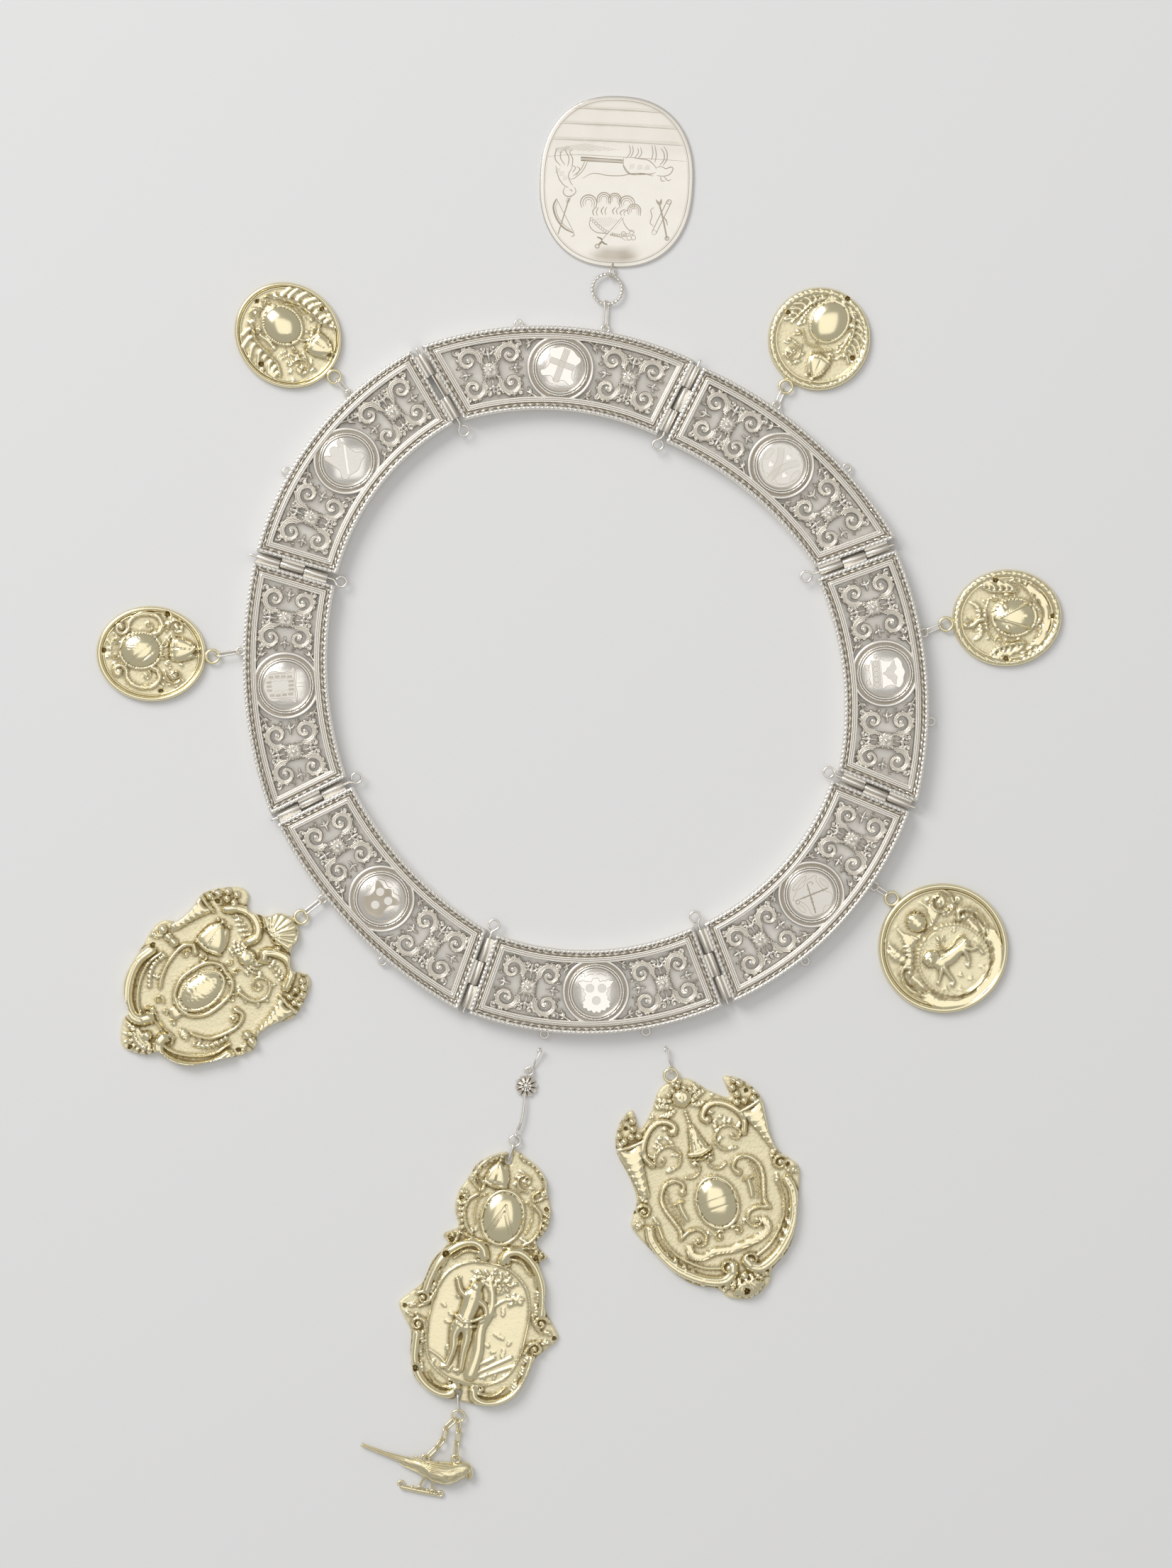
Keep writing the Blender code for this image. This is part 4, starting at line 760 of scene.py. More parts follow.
def add_scroll_small(part, plate, centre, radius, start, way):
    line = spiral(centre, radius, start, 1 * way, 0.3, 14)
    add_strip(part, plate, line, np.linspace(1.2, 0.8, len(line)), 0.7)
    add_bead(part, plate, centre, 0.6, 0.8)


# %% [markdown]
# ## Hinges, eyelets and pins
#
# Two knuckles on one plate hold the single knuckle of the next one, and a loose pin runs through all
# three from the neck side. At the clasp, upper left, the middle knuckle is cut open so that the collar
# can be taken off.

# %% Hinge parts
KNUCKLE = 1.65
BORE = 1.08
SPAN = 31.0
PLAY = 0.4


def knuckle_spans():
    length = (SPAN - 2 * PLAY) / 3
    return [(-length / 2 + i * (length + PLAY), length / 2 + i * (length + PLAY)) for i in (-1, 0, 1)]


def pin_frame(plate, which):
    """Middle of the band on the pin, outward, and the way from the pin to the plate."""
    tip, out = plate.pins[which]
    middle = tip - out * (BAND / 2 + 1.0)
    ahead = left_of(out) * (1 if which == 0 else -1)
    return middle, out, ahead


def add_knuckle(part, plate, which, first, last, open_barrel=False):
    """A rolled barrel with its leaf, let into the end wall of the plate."""
    middle, out, ahead = pin_frame(plate, which)
    half = 0.6
    if open_barrel:
        lip = math.sqrt(KNUCKLE ** 2 - 1.05 ** 2)
        section = [(2.9, half), (KNUCKLE, half), (1.5, 0.75), (1.3, 1.0), (1.05, lip), (1.05, -lip),
            (1.3, -1.0), (1.5, -0.75), (KNUCKLE, -half), (2.9, -half)]
    else:
        section = [(2.9, half)]
        for i in range(19):
            turn = math.radians(22 + (360 - 44) * i / 18)
            section.append((KNUCKLE * math.cos(turn), KNUCKLE * math.sin(turn)))
        section.append((2.9, -half))
    rows = []
    steps = (first, first + 0.15, last - 0.15, last)
    for reach, size in zip(steps, (0.95, 1.0, 1.0, 0.95)):
        flat = [middle + out * reach + ahead * (x * size if x < 2 else x) for x, z in section]
        rows.append([np.append(f, HINGE_LEVEL + z * size) for f, (x, z) in zip(flat, section)])
    points, faces = rings([np.array(row) for row in rows], False, False)
    part.add(points, faces, 0.15)
    if not open_barrel:
        turns = np.linspace(0, 2 * math.pi, 25)[:-1]
        for reach in (first, last):
            lips = [np.column_stack([middle + out * reach + ahead * (size * np.cos(turns))[:, None],
                HINGE_LEVEL + size * np.sin(turns)]) for size in (KNUCKLE * 0.95, BORE)]
            # the lips round the bore are painted in shade (0.6)
            part.add(*skins(lips), 0.6, 0, np.append(out * (reach - (first + last) / 2), 0))
    else:
        # the cut ends of the open barrel are painted in shade (0.4)
        for row, way in ((rows[0], -out), (rows[-1], out)):
            part.add(np.array(row), [tuple(range(len(section)))], 0.4, 0, np.append(way, 0))


def ring_path(centre, radius, bearing=0.0, tilt=0.0, points=28):
    """A ring round a centre, turned up about its own line by a tilt in degrees."""
    turns = np.linspace(0, 2 * math.pi, points + 1)[:-1]
    along = np.append(unit(bearing), 0.0)
    side = np.append(left_of(unit(bearing)) * math.cos(math.radians(tilt)), math.sin(math.radians(tilt)))
    return np.asarray(centre) + radius * (np.outer(np.cos(turns), along) + np.outer(np.sin(turns), side))


WIRE_LEVEL = 2.2
# radius and wire of the rings that are soldered on plates and medals
EYELET = (1.65, 0.45)
BAIL = (2.75, 0.62)


def eyelet_at(plate, share):
    return np.append(plate.share(share, BAND / 2 + 1.2), WIRE_LEVEL)


def build_plate(plate):
    part = Part(0.22)
    add_frame(part, plate)
    add_panel(part, plate)
    for way in (-1, 1):
        add_rosette(part, plate, way * (BOSS_SEAT + plate.length / 2 - EDGE_IN) / 2)
    inner, middle, outer = knuckle_spans()
    add_knuckle(part, plate, 0, *inner)
    add_knuckle(part, plate, 0, *outer)
    add_knuckle(part, plate, 1, *middle, plate.end == "top_left")
    for share in plate.eyelets:
        part.add(*tube(ring_path(eyelet_at(plate, share), EYELET[0]), EYELET[1], 8, True), 0.1)
    return part


for plate in plates.values():
    made = build_plate(plate)
    made.make(plate.name + "_plate_pierced", plate.name + "_plate", silver, "silver")
    print(plate.name, "plate:", len(made.faces), "faces")

# %% [markdown]
# ## Pins
#
# Each pin is a straight wire with a filed tip outside and a loop to pull it by on the neck side.

# %% Pins
def build_pin(name):
    tip, out = pin_line(name)
    middle = tip - out * (BAND / 2 + 1.0)
    ahead = left_of(out)
    line = [(18.75, 0.0, 0.3), (18.4, 0.0, 0.5), (17.4, 0.0, 0.6), (-17.2, 0.0, 0.6), (-18.2, 0.0, 0.56)]
    for turn in np.radians(60 - 20 * np.arange(17)):
        line.append((-21.55 + 2.2 * math.sin(turn), 2.2 * math.cos(turn), 0.48))
    path = [np.append(middle + out * reach + ahead * side, HINGE_LEVEL) for reach, side, wire in line]
    part = Part()
    part.add(*tube(np.array(path), [wire for reach, side, wire in line], 10), 0.1)
    return part


for name in ("top_right", "top_left", "left_upper", "left_lower", "bottom_left", "bottom_right",
        "right_lower", "right_upper"):
    made = build_pin(name)
    made.make(name + "_pin_wire", name + "_pin", silver, "silver")
print("eight pins made")

# %% [markdown]
# ## Chased relief
#
# The medals are cast and chased: the ornament stands up from a punched ground and is polished on top.
# Here a relief is a height at every point of a fine net. Each form is laid on with its own section, a
# round ridge, a veined leaf, a ball, a dome or a flat ribbon, and where forms meet the higher one
# shows.

# %% Relief
chance = np.random.default_rng(11)


class Relief:
    """Heights over a net of flat points; u runs across a medal and v towards its ring, in millimetres."""

    def __init__(self, u, v):
        self.u = u
        self.v = v
        self.h = np.zeros(u.shape)
        self.matt = np.ones(u.shape)

    def near(self, path, margin):
        """Points of the net near a line: how far off they are, how far along, and on which side."""
        low, high = path.min(0) - margin, path.max(0) + margin
        spots = np.nonzero((self.u > low[0]) & (self.u < high[0]) & (self.v > low[1]) & (self.v < high[1]))
        every = np.stack([self.u[spots], self.v[spots]], -1)
        way = np.diff(path, axis=0)
        steps = np.maximum(np.hypot(way[:, 0], way[:, 1]), 1e-9)
        before = np.concatenate([[0], np.cumsum(steps)])
        away, along, side = [], [], []
        for some in np.array_split(every, max(1, len(every) * len(way) // 400000 + 1)):
            offset = some[:, None] - path[:-1]
            share = np.clip((offset * way).sum(-1) / steps ** 2, 0, 1)
            gap = offset - share[..., None] * way
            reach = np.hypot(gap[..., 0], gap[..., 1])
            best = reach.argmin(1)
            rows = np.arange(len(some))
            away.append(reach[rows, best])
            along.append((before[best] + share[rows, best] * steps[best]) / before[-1])
            side.append(np.sign(way[best, 0] * gap[rows, best, 1] - way[best, 1] * gap[rows, best, 0]))
        return spots, np.concatenate(away), np.concatenate(along), np.concatenate(side)

    def lift(self, spots, height, matt=0):
        """Keeps the higher of what is there and the new form."""
        old = self.h[spots]
        self.matt[spots] = np.where(height > old + 0.02, matt, self.matt[spots])
        self.h[spots] = np.maximum(old, height)

    def ridge(self, points, width=1.4, rise=1.1, taper=(1, 0.6), base=0):
        line = smooth(points, 0.5) if len(points) < 16 else np.asarray(points, float)
        spots, away, along, side = self.near(line, width)
        half = width / 2 * (taper[0] + (taper[1] - taper[0]) * along)
        q = np.clip(away / half, 0, 1)
        form = base + rise * (half / half.max()) ** 0.6 * np.sqrt(1 - q ** 2)
        self.lift(spots, np.where(q < 1, form, 0))

    def ball(self, at, radius, rise=None, base=0):
        rise = radius if rise is None else rise
        q = np.hypot(self.u - at[0], self.v - at[1]) / radius
        spots = np.nonzero(q < 1)
        self.lift(spots, base + rise * (0.25 + 0.75 * np.sqrt(1 - q[spots] ** 2)))

    def volute(self, at, radius, start, turns=1.1, width=1.3, rise=1.1, eye=0.24):
        line = spiral(at, radius, start, turns, eye, 26)
        self.ridge(line, width, rise, (1, 0.55))
        self.ball(at, max(0.55, radius * eye), rise * 0.95)

    def leaf(self, root, tip, width=3, rise=1.1, bend=0, lobes=4):
        root, tip = np.asarray(root, float), np.asarray(tip, float)
        middle = (root + tip) / 2 + left_of(tip - root) * bend
        line = smooth([root, middle, tip], 0.5)
        spots, away, along, side = self.near(line, width)
        full = np.sin(math.pi * (0.14 + 0.84 * along)) ** 0.75
        cut = 1 - 0.34 * np.abs(np.sin(math.pi * (lobes * along - 0.9 * away / width)))
        half = width / 2 * full * cut + 0.02
        q = np.clip(away / half, 0, 1)
        vein = 0.86 + 0.14 * np.cos(2 * math.pi * (lobes * along - 1.1 * away / width))
        form = rise * full ** 0.4 * (1 - 0.5 * q ** 2) * vein * (1 - q ** 8)
        form -= 0.22 * rise * np.exp(-(away / 0.32) ** 2)
        self.lift(spots, np.where(q < 1, form, 0))

    def frond(self, spine, reach, side, ribs=7, rise=1.1, sweep=0.5, width=2.2):
        """Half an acanthus leaf: a polished spine with curved ribs on one side of it."""
        line = smooth(spine, 0.5)
        marks = np.linspace(0.06, 0.92, ribs)
        along, total = lengths(line)
        way = headings(line, False)
        for mark in marks:
            i = int(np.searchsorted(along, mark * total))
            i = min(i, len(line) - 1)
            out = left_of(way[i]) * side
            long = reach * math.sin(math.pi * (0.18 + 0.72 * (1 - mark)))
            tip = line[i] + out * long - way[i] * long * sweep
            knee = line[i] + out * long * 0.45 - way[i] * long * sweep * 0.1
            self.ridge([line[i], knee, tip], width, rise * 0.75, (0.8, 0.9))
        self.ridge(line, 1.5, rise * 1.25, (0.7, 1))

    def inside(self, line):
        low, high = line.min(0), line.max(0)
        spots = np.nonzero((self.u > low[0]) & (self.u < high[0]) & (self.v > low[1]) & (self.v < high[1]))
        within = crossing(self.u[spots], self.v[spots], line)
        return spots[0][within], spots[1][within]

    def slab(self, corners, rise=1.2, edge=0.9, base=0, crown=0.25, soft=True):
        """A raised piece with a rounded edge and a slightly domed face."""
        ring = np.vstack([corners, corners[:1]])
        line = smooth(corners, 0.5, True) if soft else evenly(ring, 0.5)
        line = np.vstack([line, line[:1]])
        spots, away, along, side = self.near(line, 0.1)
        within = crossing(self.u[spots], self.v[spots], line)
        q = np.clip(away / edge, 0, 1)
        form = base + rise * np.sqrt(1 - (1 - q) ** 2) * (1 + crown * np.tanh(away / 3))
        self.lift(spots, np.where(within, form, 0))

    def dome(self, at, half, rise=2.4, rim=1, edge=0.9):
        """An oval boss in a moulded ring."""
        q = np.hypot((self.u - at[0]) / half[0], (self.v - at[1]) / half[1])
        spots = np.nonzero(q < 1)
        self.lift(spots, 0.35 + (rise - 0.35) * (1 - q[spots] ** 2.4) ** 0.62)
        size = min(half)
        ring = (q - 1) * size
        spots = np.nonzero(np.abs(ring - rim * 0.55) < rim * 0.55)
        section = np.sqrt(1 - np.clip(np.abs(ring[spots] - rim * 0.55) / (rim * 0.55), 0, 1) ** 2)
        self.lift(spots, edge * section)

    def ribbon(self, points, width=3, rise=0.9):
        """A flat ribbon with thin raised borders."""
        line = smooth(points, 0.5)
        spots, away, along, side = self.near(line, width)
        q = np.clip(away / (width / 2), 0, 1)
        form = rise * np.sqrt(1 - q ** 10) * (1 + 0.16 * np.cos(2 * math.pi * 3 * along))
        form += 0.22 * np.exp(-((q - 0.8) / 0.1) ** 2) - 0.1 * np.exp(-((q - 0.6) / 0.1) ** 2)
        self.lift(spots, np.where(q < 1, form, 0))

    def cut(self, points, width=0.3, depth=0.25):
        """An engraved line."""
        line = smooth(points, 0.5) if len(points) > 2 else evenly(np.asarray(points, float), 0.5)
        spots, away, along, side = self.near(line, 3 * width)
        self.h[spots] -= depth * np.exp(-(away / width) ** 2)

    def shell(self, at, radius, start=0, spread=180, ribs=9, rise=1.4):
        """A scallop fan: ribs from one point, a scalloped edge."""
        du, dv = self.u - at[0], self.v - at[1]
        turn = (np.degrees(np.arctan2(dv, du)) - start) % 360 / spread
        edge = radius * (0.93 + 0.07 * np.abs(np.sin(math.pi * ribs * turn)))
        q = np.hypot(du, dv) / edge
        spots = np.nonzero((q < 1) & (turn <= 1))
        wave = np.abs(np.sin(math.pi * ribs * turn[spots]))
        form = rise * (0.35 + 0.65 * np.sqrt(1 - q[spots] ** 3)) * (0.68 + 0.32 * wave)
        self.lift(spots, form)

    def hole(self, at, radius=0.85):
        # a shallow pit, not an opening; the hollow darkening paints it dark as painted shade for the hole
        q = np.hypot(self.u - at[0], self.v - at[1]) / radius
        self.h = np.where(q < 1, -1.35, self.h)
        self.h = np.where((q >= 1) & (q < 1.5), np.minimum(self.h, 0.15), self.h)

    def mean(self, reach):
        """The relief with its detail smoothed away."""
        form = self.h
        for axis in (0, 1):
            size = form.shape[axis]
            layers = [np.take(form, np.clip(np.arange(size) + shift, 0, size - 1), axis)
                for shift in range(-reach, reach + 1)]
            form = np.mean(layers, 0)
        return form

    def swell(self, share=0.55):
        """Lets the sheet rise towards its forms, as if pushed out from behind, and punches its ground."""
        self.h = 0.84 * self.h + share * (0.5 * self.mean(3) + 0.5 * self.mean(7))
        grain = chance.normal(0, 1, self.h.shape)
        self.h = self.h + 0.055 * grain * self.matt

    def dark(self, reach=3):
        """How deep each point lies below its surroundings, from 0 to 1; it darkens the hollows with tarnish
        and painted shade.
        """
        return np.clip((self.mean(reach) - self.h) * 2 - 0.08, 0, 1)


def crossing(u, v, line):
    """Which points lie inside a closed line."""
    within = np.zeros(len(u), bool)
    for (a, b), (c, d) in zip(line[:-1], line[1:]):
        if b != d:
            within ^= ((v < b) != (v < d)) & (u < (c - a) * (v - b) / (d - b) + a)
    return within


# %% Nets
def table_loops(node):
    """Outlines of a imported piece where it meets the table, in millimetres."""
    shape = bmesh.new()
    shape.from_mesh(frame["nodes"][node].data)
    bmesh.ops.remove_doubles(shape, verts=shape.verts, dist=1e-6)
    shape.normal_update()
    shape.faces.index_update()
    floor = [f for f in shape.faces if f.normal.z < -0.9 and max(v.co.z for v in f.verts) < 1e-5]
    on_floor = {f.index for f in floor}
    nexts = {}
    for face in floor:
        for loop in face.loops:
            if len([f for f in loop.edge.link_faces if f.index in on_floor]) == 1:
                nexts[loop.vert.index] = loop.link_loop_next.vert.index
    places = {v.index: (v.co.x / MM, v.co.y / MM) for v in shape.verts}
    loops = []
    while nexts:
        start = next(iter(nexts))
        ring = [start]
        while nexts.get(ring[-1]) not in (None, start):
            ring.append(nexts.pop(ring[-1]))
        nexts.pop(ring[-1], None)
        loops.append(np.array([places[i] for i in ring]))
    shape.free()
    return sorted(loops, key=lambda ring: -np.ptp(ring, axis=0).prod())


class Medal:
    """Where a medal lies: its middle, its up direction and its outline in its own frame."""

    def __init__(self, node, x, y, bearing):
        self.node = node
        self.middle = np.array([x, y])
        self.up = unit(bearing)
        self.right = unit(bearing - 90)
        loops = [self.local(ring) for ring in table_loops(node)]
        self.outline = smooth(loops[0], 0.35, True)
        self.holes = [smooth(ring, 0.3, True) for ring in loops[1:]]
        packed = frame["nodes"][node].data.vertices
        cloud = self.local(np.array([v.co[:2] for v in packed]) / MM)
        self.top = cloud[:, 1].max()

    def local(self, points):
        away = np.asarray(points, float) - self.middle
        return np.stack([away @ self.right, away @ self.up], -1)

    def place(self, u, v, height):
        flat = self.middle + np.outer(u, self.right) + np.outer(v, self.up)
        return np.column_stack([flat, height])


def round_net(medal, across=216, deep=54):
    """A net that runs round with the outline, finest at the rim."""
    line = evenly(medal.outline, lengths(medal.outline, True)[1] / across, True)
    centre = line.mean(0)
    shares = np.concatenate([1 - np.linspace(0.0, 0.17, 18)[:-1], np.linspace(0.83, 0.012, deep - 17)])
    u = centre[0] + np.outer(shares, line[:, 0] - centre[0])
    v = centre[1] + np.outer(shares, line[:, 1] - centre[1])
    reach = np.linalg.norm(line - centre, axis=1).mean()
    inset = np.outer((1 - shares) * reach, np.ones(len(line)))
    along = np.outer(np.ones(len(shares)), np.arange(len(line)) / len(line))
    return u, v, inset, along


def make_round(part, medal, draw, field):
    u, v, inset, along = round_net(medal)
    relief = Relief(u, v)
    draw(relief, inset, along)
    relief.swell()
    dark = relief.dark()
    rounded = np.clip(inset / 0.7, 0.0, 1.0)
    height = field + relief.h - (field - 0.9) * (1 - np.sqrt(1 - (1 - rounded) ** 2))
    height = np.maximum(height, 0.25)
    size = u.shape[1]
    rows = [medal.place(u[0], v[0], np.zeros(size))]
    rows += [medal.place(u[i], v[i], height[i]) for i in range(len(u))]
    points, faces = skins(rows)
    # hollows darkened with tarnish and painted shade; the foot row at the table is painted in shade (0.4)
    shade = np.concatenate([np.full(size, 0.4), dark.ravel()])
    matt = np.concatenate([np.zeros(size), relief.matt.ravel()])
    part.add(points, faces, shade, matt)
    part.add(rows[-1], [tuple(range(size))], 0.1, 0.5, (0, 0, 1))
    part.add(rows[0], [tuple(range(size))[::-1]], 0.2, 0.2, (0, 0, -1))
    return relief


def square_net(medal, cell):
    """A square net cut to the outline: points near the edge move onto it."""
    loops = [medal.outline] + medal.holes
    low, high = medal.outline.min(0) - cell, medal.outline.max(0) + cell
    columns = np.arange(low[0], high[0], cell)
    lines = np.arange(low[1], high[1], cell)
    u, v = np.meshgrid(columns, lines)
    flat_u, flat_v = u.ravel().copy(), v.ravel().copy()
    gap = np.full(len(flat_u), 1e9)
    for loop in loops:
        closed = np.vstack([loop, loop[:1]])
        way = np.diff(closed, axis=0)
        steps = np.maximum((way ** 2).sum(-1), 1e-12)
        within = crossing(flat_u, flat_v, closed)
        every = np.stack([flat_u, flat_v], -1)
        near_u, near_v, away = [], [], []
        for some in np.array_split(every, len(every) * len(way) // 600000 + 1):
            offset = some[:, None] - closed[:-1]
            share = np.clip((offset * way).sum(-1) / steps, 0.0, 1.0)
            spot = closed[:-1] + share[..., None] * way
            reach = np.hypot(*(some[:, None] - spot).transpose(2, 0, 1))
            best = reach.argmin(1)
            rows = np.arange(len(some))
            near_u.append(spot[rows, best, 0])
            near_v.append(spot[rows, best, 1])
            away.append(reach[rows, best])
        away = np.concatenate(away)
        sign = np.where(within, 1.0, -1.0) * (1 if loop is loops[0] else -1)
        close = away < 0.5 * cell
        flat_u = np.where(close, np.concatenate(near_u), flat_u)
        flat_v = np.where(close, np.concatenate(near_v), flat_v)
        gap = np.minimum(gap, np.where(close, 0.0, sign * away))
    return flat_u.reshape(u.shape), flat_v.reshape(u.shape), gap.reshape(u.shape)


def make_square(part, medal, draw, field, cell=0.42, edge_height=0.9, soft=0.8):
    u, v, gap = square_net(medal, cell)
    relief = Relief(u, v)
    draw(relief, gap, None)
    relief.swell()
    dark = relief.dark()
    rounded = np.clip(gap / soft, 0.0, 1.0)
    height = field + relief.h - (field - edge_height) * (1 - np.sqrt(1 - (1 - rounded) ** 2))
    height = np.maximum(height, 0.25)
    height = np.where((gap <= 0) & (height > edge_height + 0.9), edge_height + 0.9, height)
    keep = gap >= 0
    number = np.full(u.shape, -1)
    number[keep] = np.arange(keep.sum())
    faces = []
    a, b, c, d = number[:-1, :-1], number[:-1, 1:], number[1:, 1:], number[1:, :-1]
    for corners in zip(a.ravel(), b.ravel(), c.ravel(), d.ravel()):
        good = [int(i) for i in corners if i >= 0]
        if len(good) >= 3:
            faces.append(tuple(good))
    edges = {}
    for face in faces:
        for i, j in zip(face, face[1:] + face[:1]):
            edges[(i, j)] = edges.get((i, j), 0) + 1
    border = [(i, j) for i, j in edges if (j, i) not in edges]
    top = medal.place(u[keep], v[keep], height[keep])
    ring = sorted({i for pair in border for i in pair})
    foot = {i: len(top) + n for n, i in enumerate(ring)}
    low = top[ring].copy()
    low[:, 2] = 0.0
    faces += [(j, i, foot[i], foot[j]) for i, j in border]
    shape = bmesh.new()
    low_verts = {foot[i]: shape.verts.new(spot) for i, spot in zip(ring, low)}
    low_edges = [shape.edges.new((low_verts[foot[i]], low_verts[foot[j]])) for i, j in border]
    bmesh.ops.triangle_fill(shape, use_beauty=True, use_dissolve=False, edges=low_edges)
    back = {vert: key for key, vert in low_verts.items()}
    faces += [tuple(back[vert] for vert in face.verts) for face in shape.faces]
    shape.free()
    points = np.vstack([top, low])
    # hollows darkened with tarnish and painted shade; the foot points at the table are painted in shade
    # (0.4)
    shade = np.concatenate([dark[keep], np.full(len(low), 0.4)])
    matt = np.concatenate([relief.matt[keep], np.zeros(len(low))])
    part.add(points, faces, shade, matt)
    return relief


def add_bail(part, medal):
    """The soldered ring at the top of a medal, thicker where it meets the rim."""
    radius, wire = BAIL
    at = medal.place(np.zeros(1), np.array([medal.top - 3.35]), np.array([WIRE_LEVEL]))[0]
    bearing = math.degrees(math.atan2(medal.up[1], medal.up[0]))
    turns = np.linspace(0, 360, 37)[:-1]
    sizes = wire * (1.0 + 0.35 * np.clip(-np.cos(np.radians(turns)), 0, 1) ** 2)
    points, faces = tube(ring_path(at, radius, bearing, points=36), np.minimum(sizes, 0.8), 10, True)
    part.add(points, faces, 0.05)


print("relief helpers ready")


# %% [markdown]
# ## Round medals
#
# Three of the round medals have a plain rolled rim and two a rim like a braided wreath. Three of
# them carry a mitre, leafy scrolls and acanthus round a smooth oval boss. The ground between the forms is
# punched matt, and the raised work is polished.

# %% Rims
def plain_rim(relief, inset, width=1.9, rise=1.3):
    q = np.clip(np.abs(inset - width * 0.48) / (width * 0.52), 0, 1)
    relief.h = np.maximum(relief.h, rise * np.sqrt(1 - q ** 2.4))
    line = np.clip(np.abs(inset - width - 0.55) / 0.4, 0, 1)
    relief.h = np.maximum(relief.h, 0.45 * np.sqrt(1 - line ** 2))
    relief.matt = np.where(inset < width + 1, 0, relief.matt)


def wreath_rim(relief, inset, along, count=58, width=3.3, rise=1.25):
    """Two rows of leaves lapped like a braid."""
    middle = (inset - width / 2) / (width / 2)
    body = np.sqrt(np.clip(1 - middle ** 2, 0, 1))
    slant = np.abs(middle)
    first = np.abs(np.sin(math.pi * (count * along + 0.75 * slant)))
    second = np.abs(np.sin(math.pi * (count * 0.5 * along - 0.9 * middle)))
    form = rise * body * (0.55 + 0.35 * first ** 0.7 + 0.12 * second)
    relief.h = np.where(inset < width, np.maximum(relief.h, form), relief.h)
    inner = np.clip(np.abs(inset - width - 0.35) / 0.3, 0, 1)
    relief.h = np.maximum(relief.h, 0.4 * np.sqrt(1 - inner ** 2))
    relief.matt = np.where(inset < width + 0.6, 0, relief.matt)


def mitre(relief, foot, size, lean=0, rise=1.5):
    """A bishop's cap seen a little from the side: two peaks, a band and small balls on top."""
    def spot(across, up):
        turn = math.radians(lean)
        return (foot[0] + size * (across * math.cos(turn) - up * math.sin(turn)),
            foot[1] + size * (across * math.sin(turn) + up * math.cos(turn)))
    relief.slab([spot(-0.1, 0.1), spot(0.42, 0.12), spot(0.46, 0.5), spot(0.2, 0.98), spot(0, 0.6)],
        rise * 0.7, 0.6)
    relief.slab([spot(-0.42, 0.1), spot(0.32, 0.1), spot(0.34, 0.5), spot(-0.08, 1), spot(-0.44, 0.5)],
        rise, 0.9)
    relief.ridge([spot(-0.44, 0.08), spot(-0.05, 0), spot(0.42, 0.1)], size * 0.16, rise * 1.15, (1, 1))
    relief.ridge([spot(-0.42, 0.5), spot(-0.3, 0.8), spot(-0.08, 1.02)], 0.7, rise * 1.2, (1, 1))
    relief.cut([spot(-0.06, 0.2), spot(-0.07, 0.9)], 0.25, 0.4)
    relief.ball(spot(-0.08, 1.08), size * 0.075, rise)
    relief.ball(spot(0.2, 1.05), size * 0.07, rise * 0.8)


def rosette_scroll(relief, at, radius, way=1, rise=1.2):
    """A leafy double scroll that closes on a flower."""
    relief.volute(at, radius, -100 if way > 0 else -80, 1.35 * way, radius * 0.3, rise)
    relief.volute((at[0] - way * radius * 0.25, at[1] + radius * 0.1), radius * 0.55, 60, -0.9 * way, 0.9,
        rise * 0.9)
    for i in range(6):
        turn = 90 - way * (20 + 42 * i)
        root = np.asarray(at) + unit(turn) * radius * 0.92
        tip = np.asarray(at) + unit(turn - 25 * way) * radius * 1.3
        relief.leaf(root, tip, radius * 0.42, rise * 0.8, 0.1 * way, 2)


